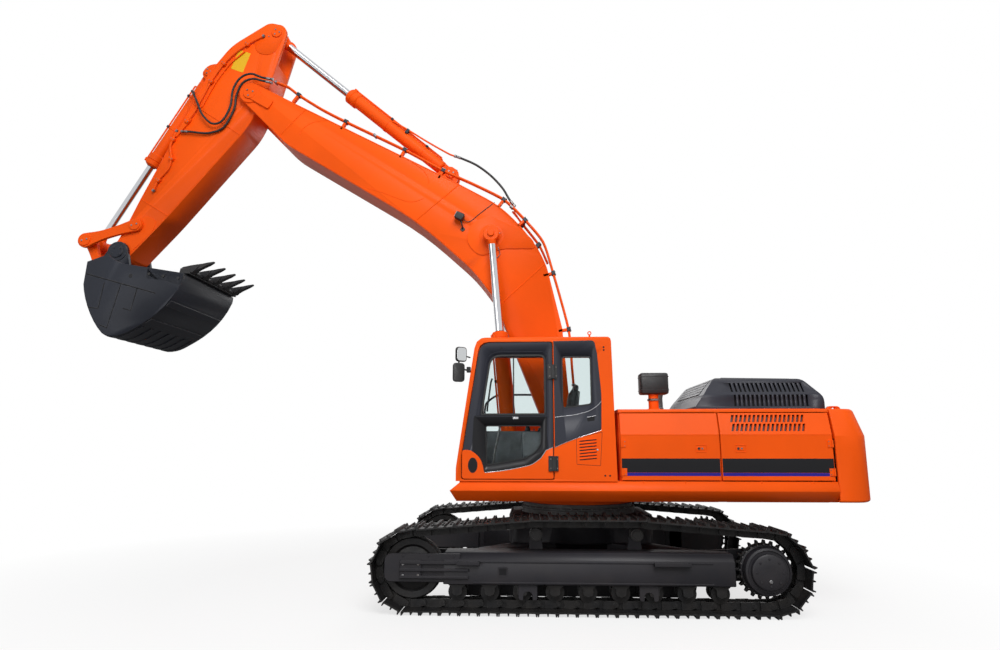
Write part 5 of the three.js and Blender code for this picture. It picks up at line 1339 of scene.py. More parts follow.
class ModelDeck(bpy.types.Operator):
    """Main frame with its pins' end caps, edge strips, bolts and non-slip bars"""

    bl_idname = "excavator.deck"
    bl_label = "Main frame"

    def execute(self, context):
        parts = [from_frame("main_frame", "body_enamel", edge=0.007, segments=2)]
        shifted(parts[0], FROM_HOUSE)
        for side in (1, -1):
            # End caps of the boom's foot pin, with its keeper plate, and of the lift cylinders' pins.
            parts += pin_cap(0.2, 2.05, 0.388, 0.1, side, count=4)
            parts.append(slab(0.26, 0.42, 0.388 * side, 0.4 * side, 2.02, 2.08, "body_enamel", 0.004))
            parts += pin_cap(0.93, 1.72, 0.57, 0.075, side)
            # Folded edge strips under the side members, and bolts along their upper edge.
            for x0, x1 in ((-2.9, -1.7), (-1.6, -0.45), (-0.35, 1.35)):
                parts.append(slab(
                    x0, x1, 1.27 * side, 1.38 * side, DECK_LOW - 0.004, DECK_LOW + 0.006, "body_enamel",
                    0.002,
                ))
            parts.append(bolts(
                [(x, side * 1.463, 1.487) for x in (-2.7, -2.1, -1.2, -0.7)], 0.012, side=side,
                finish="body_enamel",
            ))
        # Bolts in arcs over the swing bearing, and non-slip bars on the deck before the boom's foot.
        parts.append(bolts(
            [(a, b, DECK_TOP) for a, b in circle(0, 0, 0.64, 20) if abs(b) < 0.36], 0.016, across="z"
        ))
        for i in range(9):
            parts.append(slab(
                0.95 + i * 0.05, 0.965 + i * 0.05, -0.33, 0.33, DECK_TOP, DECK_TOP + 0.006, "primer_grey",
                0.001,
            ))
        settle("deck_steel", parts, "house", HOUSE, ["main_frame"])
        return {"FINISHED"}


class ModelCounterweight(bpy.types.Operator):
    """Cast counterweight, rounded in plan and leaning in above its crease, with its lifting lugs"""

    bl_idname = "excavator.counterweight"
    bl_label = "Counterweight"

    def execute(self, context):
        front = DECK_REAR - 0.0053
        depth = TAIL + front
        rows = []
        for half, back, z in (
            (HOUSE_HALF + 0.005, 0.03, DECK_LOW), (HOUSE_HALF + 0.02, 0.0, DECK_LOW + 0.02),
            (HOUSE_HALF + 0.02, 0.0, 1.9), (HOUSE_HALF + 0.02, 0.0, CREASE - 0.02),
            (HOUSE_HALF - LEAN + 0.01, 0.07, HOUSE_TOP - 0.025),
            (HOUSE_HALF - LEAN - 0.012, 0.09, HOUSE_TOP),
        ):
            plan = rounded(
                [
                    (front, half), (-TAIL + depth * 0.42 + back, half, 0.24),
                    (-TAIL + back, half * 0.62, 0.42), (-TAIL + back, -half * 0.62, 0.42),
                    (-TAIL + depth * 0.42 + back, -half, 0.24), (front, -half),
                ],
                8,
            )
            rows.append([(x, y, z) for x, y in plan])
        # Rows of the plan are stacked and bridged, then the top and bottom are filled.
        put_down_all()
        mesh = bpy.data.meshes.new("counterweight")
        count = len(rows[0])
        edges = [(r * count + i, r * count + (i + 1) % count) for r in range(len(rows)) for i in range(count)]
        mesh.from_pydata([p for row in rows for p in row], edges, [])
        piece = bpy.data.objects.new("counterweight", mesh)
        bpy.context.scene.collection.objects.link(piece)
        take(piece)
        bpy.ops.object.mode_set(mode="EDIT")
        bpy.ops.mesh.select_all(action="SELECT")
        bpy.ops.mesh.bridge_edge_loops()
        bpy.ops.mesh.select_all(action="DESELECT")
        bpy.ops.mesh.select_non_manifold()
        bpy.ops.mesh.edge_face_add()
        bpy.ops.object.mode_set(mode="OBJECT")
        tidy(piece)
        fill_ends(piece)
        soften(piece, 0.012, 3, 20)
        paint(smooth(piece, 13), "body_enamel")
        parts = [piece]
        for side in (1, -1):
            y = side * 0.62
            lug = plate(
                [
                    (-3.48, HOUSE_TOP - 0.02), (-3.46, HOUSE_TOP + 0.075, 0.06),
                    (-3.29, HOUSE_TOP + 0.075, 0.06), (-3.27, HOUSE_TOP - 0.02),
                ],
                y - 0.025, y + 0.025, "body_enamel", edge=0.005, segments=2,
            )
            hole = turned(
                drum(0.026, -0.05, 0.05), "body_enamel", at=(-3.375, y, HOUSE_TOP + 0.032), sides=20
            )
            parts.append(cut_away(lug, hole))
            # Dark parting seam to the doors, and a round tail lamp in its dish.
            parts.append(slab(
                front - 0.004, front + 0.001, side * 1.2, side * 1.44, DECK_LOW + 0.03, CREASE - 0.05,
                "black_enamel_and_painted_shade", 0,
            ))
            lamp = Matrix.Translation((
                -TAIL - 0.003, side * 0.78, 1.6
            )) @ Matrix.Rotation(math.radians(-90), 4, "Y")
            for radius, low, high, finish in (
                (0.06, -0.02, 0.008, "black_plastic"), (0.048, 0.0, 0.012, "tail_red")
            ):
                parts.append(shifted(turned(drum(radius, low, high, 0.003), finish, across="z"), lamp))
        # Cover plate in the middle of the rear face, with its bolts and a bright boss.
        parts.append(slab(-TAIL - 0.004, -TAIL + 0.05, -0.2, 0.2, 1.36, 1.56, "body_enamel", 0.008, 2))
        parts.append(turned(
            drum(0.05, -0.006, 0.014), "bare_steel", at=(-TAIL - 0.002, 0, 1.46), across="x", sides=24
        ))
        parts.append(bolts(
            [(-TAIL - 0.004, y, z) for y in (-0.16, 0.16) for z in (1.4, 1.52)], 0.014, across="x", side=-1
        ))
        settle("counterweight_cast", parts, "house", HOUSE, ["counterweight"])
        return {"FINISHED"}


def fill_ends(piece):
    """Close the open top and bottom of a stacked body with one face each."""
    edit = bmesh.new()
    edit.from_mesh(piece.data)
    open_edges = [e for e in edit.edges if e.is_boundary]
    if open_edges:
        bmesh.ops.holes_fill(edit, edges=open_edges, sides=0)
    bmesh.ops.recalc_face_normals(edit, faces=edit.faces)
    edit.to_mesh(piece.data)
    edit.free()


class ModelHood(bpy.types.Operator):
    """Engine hood with a sloped front, perforated front sheet and two rows of air slots on each side"""

    bl_idname = "excavator.hood"
    bl_label = "Engine hood"

    def execute(self, context):
        lid = shifted(from_frame("engine_hood", "cab_enamel", edge=0.012, segments=3, angle=12), FROM_HOUSE)
        base = HOUSE_TOP + 0.008
        cutters = []
        for z, low_x, tall in ((base + 0.125, -2.0, 0.15), (base + 0.3, -1.98, 0.125)):
            for side in (1, -1):
                spots = [(low_x - i * 0.057, side * 0.93, z) for i in range(17)]
                cutters += slot_cutters(spots, 0.028, tall, 0.2, 0.0)
        cut_away(lid, *cutters)
        parts = [lid]
        # Dark screens behind the slots, the sheet on the slope, ribs along the top, hinges and a latch.
        for side in (1, -1):
            parts.append(slab(
                -3.0, -1.7, side * 0.85, side * 0.856, base + 0.03, base + 0.21, "black_plastic", 0
            ))
            parts.append(slab(
                -2.94, -1.9, side * 0.74, side * 0.746, base + 0.2, base + 0.38, "black_plastic", 0
            ))
        parts.append(plate(
            [
                (-1.6075, base + 0.215), (-1.604, base + 0.2185), (-1.764, base + 0.4145),
                (-1.768, base + 0.411),
            ],
            -0.66, 0.66, "perforated_sheet", edge=0,
        ))
        for y in (-0.7, -0.25, 0.25, 0.7):
            rib = [(-1.9, base + 0.425), (-1.9, base + 0.445), (-2.8, base + 0.4295), (-2.8, base + 0.41)]
            parts.append(plate(rib, y - 0.02, y + 0.02, "cab_enamel", edge=0.003))
        for y in (-0.35, 0.35):
            parts.append(turned(
                drum(0.011, y - 0.05, y + 0.05, 0.002), "bare_steel", at=(-3.152, 0, base + 0.02), sides=16
            ))
        parts.append(slab(-1.502, -1.49, 0.55, 0.78, base + 0.012, base + 0.04, "grey_plastic", 0.004, 2))
        settle("hood_shell", parts, "engine_hood", HOUSE, ["engine_hood"])
        return {"FINISHED"}


def tank(x0, x1, top):
    """Rounded body of a tank on the right deck, between two places along it and up to its top."""
    return [plate(
        oblong(x0, x1, -HOUSE_HALF, -0.605, 0.05), FLOOR, top,
        "body_enamel", across="z", edge=0.01, segments=3,
    )]


def model_house_walls():
    """Walls, bolted roof plates beside the hood, and the service hatch before it with its tread bars."""
    shell = shifted(from_frame("house_shell", "body_enamel", edge=0.008, segments=2), FROM_HOUSE)
    parts = [shell]
    roof = HOUSE_TOP
    for side in (1, -1):
        parts.append(slab(-2.9, -1.3, side * 1.0, side * 1.34, roof, roof + 0.004, "body_enamel", 0.002))
        parts.append(bolts(
            [(-2.84 + i * 0.3, side * y, roof + 0.004) for i in range(6) for y in (1.03, 1.31)], 0.008,
            across="z",
        ))
    parts.append(plate(
        oblong(-1.18, -0.5, -0.8, 0.7, 0.04), roof, roof + 0.006, "body_enamel",
        across="z", edge=0.003,
    ))
    for i in range(14):
        parts.append(slab(
            -1.08 + i * 0.04, -1.066 + i * 0.04, -0.62, -0.12, roof + 0.004, roof + 0.01, "primer_grey",
            0.001,
        ))
    settle("house_walls", parts, "house", HOUSE, ["house_shell"])


def model_engine():
    """Engine: ribbed block, sump, covers on top, belt wheel, a row of plugs, two filters and a hose."""
    parts = [
        slab(-2.7, -1.55, -0.29, 0.29, FLOOR + 0.16, 2.1, "cast_iron", 0.02, 2),
        slab(-2.62, -1.72, -0.2, 0.2, 2.08, 2.31, "cast_iron", 0.03, 3),
        slab(-2.64, -1.71, -0.245, 0.245, FLOOR, FLOOR + 0.2, "cast_iron", 0.03, 2),
        slab(-2.62, -1.95, -0.2, 0.2, 2.3, 2.598, "cast_iron", 0.03, 3),
        turned(drum(0.13, -0.03, 0.03), "cast_iron", at=(-1.52, 0, 1.8), across="x"),
    ]
    for i in range(9):
        x = -2.62 + i * 0.12
        parts.append(slab(x, x + 0.018, -0.325, 0.325, FLOOR + 0.3, 2.02, "cast_iron", 0.004))
    for i in range(6):
        x = -2.55 + i * 0.15
        parts.append(turned(drum(0.05, 0.29, 0.328, 0.01), "bare_steel", at=(x, 0, 1.95), sides=20))
    for x in (-2.35, -2.15):
        parts.append(turned(
            drum(0.055, FLOOR + 0.12, FLOOR + 0.36, 0.015), "black_plastic", at=(x, 0.27, 0), across="z",
            sides=24,
        ))
    parts.append(pipe(
        eased([(-1.72, 0.1, 2.3), (-1.66, 0.13, 2.35), (-1.6, 0.2, 2.3), (-1.58, 0.24, 2.1)]), 0.035,
        "rubber",
    ))
    settle("engine_parts", parts, "house", HOUSE, ["engine_block"])


def model_radiator():
    """Radiator: core with its tubes, top and bottom tanks and side frames."""
    parts = [
        slab(-2.84, -1.79, 1.0, 1.09, FLOOR + 0.12, 2.17, "primer_grey", 0.004),
        slab(-2.87, -1.76, 0.98, 1.11, 2.16, 2.288, "black_plastic", 0.02, 2),
        slab(-2.87, -1.76, 0.98, 1.11, FLOOR, FLOOR + 0.13, "black_plastic", 0.02, 2),
    ]
    for x in (-2.87, -1.79):
        parts.append(slab(x, x + 0.03, 0.98, 1.11, FLOOR + 0.1, 2.18, "cast_iron", 0.004))
    for i in range(24):
        x = -2.82 + i * 0.0435
        parts.append(slab(x, x + 0.008, 1.085, 1.1, FLOOR + 0.13, 2.16, "bare_steel", 0))
    settle("radiator_core", parts, "house", HOUSE, ["radiator"])


def model_oil_tank():
    """Hydraulic tank with its lid and sight gauge."""
    parts = tank(HOUSE_FRONT + 0.015, 0.33, HOUSE_TOP - 0.012)
    parts.append(turned(
        [(0, -0.01), (0.2, -0.01), (0.2, 0.008), (0.19, 0.012), (0, 0.012)], "body_enamel",
        at=(-0.05, -1.0, HOUSE_TOP - 0.012), across="z", sides=40,
    ))
    parts.append(slab(0.2, 0.24, -HOUSE_HALF - 0.006, -HOUSE_HALF, 1.75, 1.95, "bare_steel", 0.003))
    parts.append(slab(0.208, 0.232, -HOUSE_HALF - 0.008, -HOUSE_HALF, 1.765, 1.935, "lamp_glass", 0.002))
    settle("oil_tank", parts, "house", HOUSE, ["hydraulic_tank"])


def model_fuel_tank():
    """Fuel tank with its filler cap and straps."""
    parts = tank(0.345, 1.0, HOUSE_TOP - 0.06)
    parts.append(turned(
        [(0, -0.01), (0.066, -0.01), (0.066, 0.035), (0.07, 0.04), (0.07, 0.062), (0.064, 0.069), (0, 0.069)],
        "black_plastic", at=(0.68, -1.0, HOUSE_TOP - 0.06), across="z", sides=24,
    ))
    for z in (1.72, 2.1):
        parts.append(slab(
            0.36, 0.985, -HOUSE_HALF - 0.006, -HOUSE_HALF + 0.002, z, z + 0.03, "body_enamel", 0.003
        ))
    settle("fuel_tank_shell", parts, "house", HOUSE, ["fuel_tank"])


def model_step_box():
    """Two-level tool box with treads on both steps and a latch."""
    parts = tank(1.015, 1.29, HOUSE_TOP - 0.426) + tank(1.28, 1.5, HOUSE_TOP - 0.646)
    for x0, x1, z in ((1.03, 1.27, HOUSE_TOP - 0.426), (1.31, 1.48, HOUSE_TOP - 0.646)):
        for i in range(12):
            y = -1.4 + i * 0.065
            parts.append(slab(x0, x1, y, y + 0.02, z, z + 0.006, "primer_grey", 0.002))
    parts += latch(1.15, -HOUSE_HALF, 1.75, -1)
    settle("step_box", parts, "house", HOUSE, ["tool_box"])


def model_precleaner():
    """Air precleaner: stem with its foot and clamp, and a rounded housing with two ribs."""
    stem = turned(drum(0.065, HOUSE_TOP + 0.0005, 2.6), "body_enamel", at=(-0.96, 0.9, 0), across="z")
    bowl = slab(-1.148, -0.782, 0.792, 1.008, 2.585, 2.865, "black_plastic", 0.03, 4)
    parts = [stem, bowl]
    for z in (2.632, 2.808):
        parts.append(slab(-1.15, -0.78, 0.79, 1.01, z, z + 0.012, "black_plastic", 0.005, 2))
    parts.append(turned(
        drum(0.085, HOUSE_TOP + 0.0005, HOUSE_TOP + 0.03), "body_enamel", at=(-0.96, 0.9, 0), across="z"
    ))
    parts.append(turned(drum(0.079, 2.5, 2.53), "bare_steel", at=(-0.96, 0.9, 0), across="z"))
    settle("precleaner", parts, "house", HOUSE, ["air_precleaner"])


def model_exhaust():
    """Exhaust pipe with its foot, its clamp and a dark mouth."""
    route = eased(
        [
            (-1.4, -1.06, HOUSE_TOP + 0.001), (-1.4, -1.06, 2.56), (-1.4, -1.06, 2.7), (-1.44, -1.06, 2.8),
            (-1.53, -1.06, 2.87),
        ],
        4,
    )
    parts = [
        pipe(route, 0.062, "cast_iron", 24),
        turned(
            drum(0.1, HOUSE_TOP + 0.0005, HOUSE_TOP + 0.02), "body_enamel", at=(-1.4, -1.06, 0), across="z"
        ),
        turned(drum(0.069, 2.5, 2.53), "bare_steel", at=(-1.4, -1.06, 0), across="z"),
    ]
    tip = Matrix.Translation((-1.52, -1.06, 2.8625)) @ Matrix.Rotation(math.radians(-52), 4, "Y")
    parts.append(shifted(turned(drum(0.052, 0.0, 0.014, 0.001), "black_enamel_and_painted_shade", across="z"), tip))
    settle("exhaust", parts, "house", HOUSE, ["exhaust_pipe"])


def model_handrail():
    """Handrail beside the tanks, on two round feet."""
    route = eased([
        (1.44, -1.38, 1.735), (1.44, -1.38, 2.3), (1.4, -1.38, 2.62), (1.2, -1.38, 2.76), (0.5, -1.38, 2.76),
        (0.3, -1.38, 2.62), (0.26, -1.38, 2.5), (0.26, -1.38, HOUSE_TOP + 0.001),
    ], 5, 0.2)
    parts = [pipe(route, 0.017, "cab_enamel")]
    for x, z in ((1.44, 1.7365), (0.26, HOUSE_TOP + 0.001)):
        parts.append(turned(
            drum(0.033, z - 0.002, z + 0.01), "cab_enamel", at=(x, -1.38, 0), across="z", sides=20
        ))
    settle("handrail", parts, "house", HOUSE, ["right_handrail"])


class ModelBodywork(bpy.types.Operator):
    """House walls, roof plates, engine, radiator, tanks, tool box, exhaust, precleaner and handrail"""

    bl_idname = "excavator.bodywork"
    bl_label = "Bodywork and engine"

    def execute(self, context):
        model_house_walls()
        model_engine()
        model_radiator()
        model_oil_tank()
        model_fuel_tank()
        model_step_box()
        model_precleaner()
        model_exhaust()
        model_handrail()
        return {"FINISHED"}


# ---------------------------------------------------------------- cab

CAB_IN, CAB_OUT = 0.585, 1.48
CAB_LOW, CAB_ROOF = 1.5003, 3.28
DOOR_REAR = 0.375
CAB_MIDDLE = (CAB_IN + CAB_OUT) / 2
CAB_DECK = CAB_LOW + 0.0603
RAIL_LOW, RAIL_HIGH = CAB_LOW + 0.67, CAB_LOW + 0.795
UPPER_PANE = [(0.46, RAIL_HIGH, 0.04), (1.273, RAIL_HIGH, 0.03), (1.155, 3.05, 0.14), (0.46, 3.05, 0.08)]
LOWER_PANE = [
    (0.46, 1.87, 0.1), (0.67, 1.67, 0.14), (1.226, 1.62, 0.06), (1.273, RAIL_LOW, 0.04),
    (0.46, RAIL_LOW, 0.04),
]
LOWER_VIEW = [
    (0.52, 1.93, 0.08), (0.67, 1.775, 0.1), (1.2, 1.685, 0.05), (1.21, RAIL_LOW, 0.03),
    (0.52, RAIL_LOW, 0.03),
]
QUARTER_PANE = [(-0.11, 2.42, 0.05), (0.265, 2.37, 0.05), (0.265, 3.025, 0.05), (-0.11, 3.025, 0.05)]
SKIRT_TOP = [
    (0.383, 1.903), (0.465, 1.869), (0.529, 1.775), (0.641, 1.692, 0.1), (0.976, 1.624, 0.2),
    (1.222, 1.6, 0.02),
]


def paint_faces(piece, finish, chosen):
    """Give another finish to the faces that a test of their centre and normal picks."""
    piece.data.materials.append(FINISHES[finish])
    slot = len(piece.data.materials) - 1
    for face in piece.data.polygons:
        if chosen(face.center, face.normal):
            face.material_index = slot
    return piece


def model_cab_shell():
    """Shell with all that is fixed to its outside."""
    shell = shifted(from_frame("cab_shell", "body_enamel", edge=0.006, segments=2, angle=25), FROM_HOUSE)
    inside = lambda at, way: (-0.34 < at.x < 1.52 and 0.64 < at.y < 1.425 and 1.55 < at.z < 3.225)
    paint_faces(shell, "grey_plastic", inside)
    paint_faces(shell, "cab_enamel", lambda at, way: way.x > 0.6 and at.z < 3.16)
    parts = [shell]
    skin = CAB_OUT + 0.0045
    # Dark panel behind the door, round the quarter window, with a bright line across it.
    panel = plate(
        [
            (0.359, 1.905, 0.01), (0.359, 3.216, 0.01), (-0.15, 3.222, 0.04), (-0.182, 3.06),
            (-0.224, 2.56, 0.1), (-0.212, 2.115, 0.02), (0.078, 2.019, 0.3),
        ],
        CAB_OUT - 0.002, skin, "cab_enamel", edge=0.0025, segments=2,
    )
    hole = plate(QUARTER_PANE, CAB_OUT - 0.05, CAB_OUT + 0.05, "cab_enamel", edge=0)
    parts.append(cut_away(panel, hole))
    parts.append(ring(QUARTER_PANE, 0.018, CAB_OUT - 0.03, skin + 0.0015, "rubber"))
    trim = eased(
        [
            (0.35, skin, 2.269), (0.2, skin, 2.284), (0.1, skin, 2.299), (-0.05, skin, 2.336),
            (-0.16, skin, 2.4), (-0.218, skin, 2.46),
        ],
        4,
    )
    parts.append(pipe(trim, 0.0042, "chrome", 8))
    edge_line = eased(
        [
            (0.36, skin - 0.002, 1.904), (0.22, skin - 0.002, 1.965), (0.078, skin - 0.002, 2.017),
            (-0.08, skin - 0.002, 2.066), (-0.212, skin - 0.002, 2.11),
        ],
        3,
    )
    parts.append(pipe(edge_line, 0.003, "chrome", 8))
    # Recessed handle of the panel, and the louvred service flap below it; each slot is a black plate as
    # painted shade, under its raised lip.
    parts.append(plate(
        [(-0.13, 2.225, 0.012), (-0.045, 2.215, 0.012), (-0.04, 2.262, 0.012), (-0.135, 2.285, 0.012)],
        skin - 0.004, skin + 0.0012, "black_enamel_and_painted_shade", edge=0.001,
    ))
    parts.append(pipe([(-0.15, skin + 0.001, 2.288), (-0.04, skin + 0.001, 2.267)], 0.003, "chrome", 8))
    flap = [(0.097, 1.7, 0.015), (0.097, 2.022, 0.015), (-0.222, 2.09, 0.015), (-0.192, 1.683, 0.015)]
    parts.append(ring(flap, 0.004, CAB_OUT - 0.004, CAB_OUT + 0.0012, "black_enamel_and_painted_shade", edge=0))
    for i in range(7):
        z = 1.748 + i * 0.037
        slot_line = [(0.058, z), (0.058, z + 0.013), (-0.148, z + 0.033), (-0.148, z + 0.02)]
        parts.append(plate(slot_line, CAB_OUT - 0.004, CAB_OUT + 0.0012, "black_enamel_and_painted_shade", edge=0))
        lip = [(0.06, z + 0.012), (0.06, z + 0.021), (-0.15, z + 0.041), (-0.15, z + 0.032)]
        parts.append(plate(lip, CAB_OUT - 0.002, CAB_OUT + 0.009, "body_enamel", edge=0.003, segments=2))
    parts.append(turned(drum(0.011, 0, 0.005, 0.001), "chrome", at=(-0.158, CAB_OUT, 1.875), sides=16))
    # Fixed halves of the door's hinges, and its seal round the opening.
    for z in (1.71, 2.83):
        parts.append(slab(
            0.318, 0.345, CAB_OUT, CAB_OUT + 0.02, z - 0.09, z + 0.09, "black_plastic", 0.004, 2
        ))
        parts.append(bolts([(0.331, CAB_OUT + 0.02, z + d) for d in (-0.055, 0.055)], 0.008))
    door_hole = [(0.43, 1.58, 0.03), (1.44, 1.58, 0.06), (1.44, 1.84), (1.255, 3.15, 0.1), (0.43, 3.15, 0.03)]
    parts.append(ring(door_hole, 0.02, CAB_OUT - 0.06, CAB_OUT - 0.0475, "rubber"))
    # Roof: a raised panel with a dark hatch on it, and four lifting eyes.
    parts.append(plate(
        oblong(0.1, 1.05, 0.72, 1.34, 0.06), CAB_ROOF - 0.002, CAB_ROOF + 0.012,
        "body_enamel", across="z", edge=0.006, segments=2,
    ))
    parts.append(plate(
        oblong(0.2, 0.75, 0.8, 1.26, 0.05), CAB_ROOF + 0.01, CAB_ROOF + 0.022,
        "cab_enamel", across="z", edge=0.005, segments=2,
    ))
    for x, y in ((1.105, 1.38), (-0.103, 1.38), (1.105, 0.68), (-0.103, 0.68)):
        parts.append(turned(
            drum(0.012, 0, 0.03, 0.001), "body_enamel", at=(x, y, CAB_ROOF), across="z", sides=16
        ))
        eye = [(x + a, y, CAB_ROOF + 0.05 + b) for a, b in circle(0, 0, 0.02, 20)]
        parts.append(pipe([*eye, eye[0]], 0.007, "body_enamel", 8))
    # Windscreen seal, wiper and its motor, and the screws of the rear pillar.
    def screen_at(y, z, off):
        return (1.57 - (z - 1.66) * 0.24 / 1.62 + off, y, z)

    corners = oblong(CAB_IN + 0.07, CAB_OUT - 0.07, 1.7, 3.14)
    seal = [screen_at(y, z, -0.004) for y, z in rounded([(*c, 0.07) for c in corners], 5)]
    parts.append(pipe([*seal, seal[0]], 0.012, "rubber", 8))
    parts.append(pipe([screen_at(1.0, 1.72, 0.012), screen_at(1.16, 2.6, 0.012)], 0.007, "black_plastic", 8))
    parts.append(pipe([screen_at(1.16, 2.25, 0.002), screen_at(1.16, 2.95, 0.002)], 0.009, "rubber", 8))
    parts.append(slab(1.572, 1.59, 0.9, 1.1, 1.63, 1.71, "black_plastic", 0.008, 2))
    for x, z in ((-0.267, 3.135), (-0.243, 1.568), (-0.3, 1.568), (-0.267, 3.1)):
        parts.append(turned(drum(0.011, -0.001, 0.004, 0.001), "black_enamel_and_painted_shade", at=(x, CAB_OUT, z), sides=12))
    # Headliner, inside panel of the rear wall, and the heater's box before it.
    parts.append(slab(
        -0.32, 1.2, CAB_IN + 0.066, CAB_OUT - 0.066, CAB_ROOF - 0.085, CAB_ROOF - 0.068, "grey_plastic",
        0.01, 2,
    ))
    parts.append(slab(
        -0.325, -0.3, CAB_IN + 0.09, CAB_OUT - 0.09, CAB_DECK + 0.02, 2.24, "grey_plastic", 0.015, 2
    ))
    parts.append(slab(-0.3, 0.0, CAB_IN + 0.1, CAB_OUT - 0.1, CAB_DECK, 2.1, "black_plastic", 0.03, 3))
    settle("cab_bodywork", parts, "house", HOUSE, ["cab_shell"])


def model_cab_panes():
    """Panes of the shell, each a softened copy of its sheet."""
    for node in ("windscreen", "cab_rear_window", "cab_right_window", "cab_quarter_window"):
        pane = from_frame(node, "glass", edge=0.0015)
        settle(f"{node}_pane", [pane], "house", Matrix(), [node])


class ModelCab(bpy.types.Operator):
    """Cab shell with its dark side panel, roof hatch, louvred flap, seals, lifting eyes, wiper and panes"""

    bl_idname = "excavator.cab"
    bl_label = "Cab shell"

    def execute(self, context):
        model_cab_shell()
        model_cab_panes()
        return {"FINISHED"}


class ModelCabDoor(bpy.types.Operator):
    """Cab door: dark frame, body-coloured foot with a bright edge, two panes, rail, latch and hinges"""

    bl_idname = "excavator.cab_door"
    bl_label = "Cab door"

    def execute(self, context):
        low, high = CAB_LOW + 0.025, CAB_ROOF - 0.075
        outline = [
            (DOOR_REAR, low, 0.02), (1.498, low, 0.04), (1.498, CAB_LOW + 0.3, 0.1), (1.28, high, 0.14),
            (DOOR_REAR, high, 0.04),
        ]
        leaf = plate(outline, CAB_OUT - 0.045, CAB_OUT, "cab_enamel", edge=0.006, segments=2)
        cutters = [
            plate(p, CAB_OUT - 0.1, CAB_OUT + 0.1, "cab_enamel", edge=0) for p in (UPPER_PANE, LOWER_PANE)
        ]
        parts = [cut_away(leaf, *cutters)]
        # Rubber and a pressed lip round the upper pane.
        parts.append(ring(UPPER_PANE, 0.022, CAB_OUT - 0.038, CAB_OUT + 0.002, "rubber"))
        lip = [(0.425, RAIL_HIGH - 0.02), (1.325, RAIL_HIGH - 0.02), (1.19, 3.088, 0.17), (0.425, 3.088, 0.1)]
        parts.append(ring(lip, 0.007, CAB_OUT - 0.002, CAB_OUT + 0.004, "cab_enamel", edge=0.002))
        # Gloss black surround of the lower pane.
        surround = plate(
            [
                (0.452, 1.895), (0.47, 1.872), (0.529, 1.781), (0.641, 1.7, 0.1), (0.976, 1.632, 0.2),
                (1.226, 1.606), (1.25, 1.73), (1.375, 1.868, 0.2), (1.352, RAIL_HIGH - 0.004, 0.03),
                (0.452, RAIL_HIGH - 0.004, 0.03),
            ],
            CAB_OUT - 0.002, CAB_OUT + 0.002, "black_enamel_and_painted_shade", edge=0.001,
        )
        view = plate(LOWER_VIEW, CAB_OUT - 0.1, CAB_OUT + 0.1, "black_enamel_and_painted_shade", edge=0)
        parts.append(cut_away(surround, view))
        parts.append(ring(LOWER_VIEW, 0.012, CAB_OUT - 0.036, CAB_OUT + 0.003, "rubber"))
        # Body-coloured foot of the door, its quarter round at the front and the bright edge along it.
        foot = plate(
            [
                (0.379, low + 0.003, 0.02), (1.494, low + 0.003, 0.04), (1.494, 1.872, 0.03),
                (1.4, 1.876, 0.06), (1.3, 1.81, 0.06), (1.244, 1.72, 0.06), *reversed(SKIRT_TOP),
            ],
            CAB_OUT - 0.002, CAB_OUT + 0.005, "body_enamel", edge=0.003, segments=2,
        )
        parts.append(foot)
        edge_line = [(x, CAB_OUT + 0.004, z + 0.001) for x, z in rounded(SKIRT_TOP, 6)]
        parts.append(pipe(edge_line, 0.0038, "chrome", 8))
        # Dark oval cover in the quarter round, with its rubber.
        oval = [
            (1.362 + 0.058 * math.cos(a), 1.69 + 0.092 * math.sin(a))
            for a in (math.radians(10 * i) for i in range(36))
        ]
        parts.append(plate(oval, CAB_OUT + 0.002, CAB_OUT + 0.0075, "black_enamel_and_painted_shade", edge=0.002, steps=1))
        parts.append(ring(oval, 0.006, CAB_OUT + 0.002, CAB_OUT + 0.009, "rubber"))
        # Rail: handle, latch, and the bar where the sliding panes meet.
        parts.append(slab(
            0.39, 1.34, CAB_OUT - 0.07, CAB_OUT - 0.04, RAIL_LOW, RAIL_HIGH, "black_plastic", 0.01, 2
        ))
        parts.append(slab(0.8, 0.87, CAB_OUT, CAB_OUT + 0.014, 2.245, 2.275, "chrome", 0.004, 2))
        parts.append(slab(
            0.852, 0.868, CAB_OUT - 0.036, CAB_OUT - 0.016, RAIL_HIGH - 0.01, 3.055, "black_plastic", 0.003
        ))
        parts.append(turned(
            drum(0.016, -0.001, 0.006, 0.002), "black_enamel_and_painted_shade", at=(1.011, CAB_OUT, 3.13), sides=20
        ))
        grip = eased(
            [
                (1.19, CAB_OUT - 0.05, 2.35), (1.19, CAB_OUT - 0.1, 2.4), (1.15, CAB_OUT - 0.1, 2.7),
                (1.13, CAB_OUT - 0.05, 2.75),
            ],
            6, 0.3,
        )
        parts.append(pipe(grip, 0.011, "black_plastic"))
        # Moving halves of the hinges.
        for z in (1.71, 2.83):
            parts.append(slab(
                0.384, 0.438, CAB_OUT, CAB_OUT + 0.024, z - 0.092, z + 0.092, "black_plastic", 0.005, 2
            ))
            parts.append(turned(
                drum(0.0135, z - 0.09, z + 0.09, 0.003), "black_plastic", at=(0.357, CAB_OUT + 0.026, 0),
                across="z", sides=20,
            ))
            parts.append(slab(
                0.357, 0.39, CAB_OUT + 0.014, CAB_OUT + 0.034, z - 0.085, z + 0.085, "black_plastic", 0.003
            ))
            parts.append(bolts([(0.41, CAB_OUT + 0.024, z + d) for d in (-0.055, 0.055)], 0.009))
        settle("cab_door_frame", parts, "cab_door", HOUSE, ["cab_door"])
        for node in ("door_glass_upper", "door_glass_lower"):
            pane = from_frame(node, "glass", edge=0.0015)
            settle(f"{node}_pane", [pane], "cab_door", Matrix(), [node])
        return {"FINISHED"}


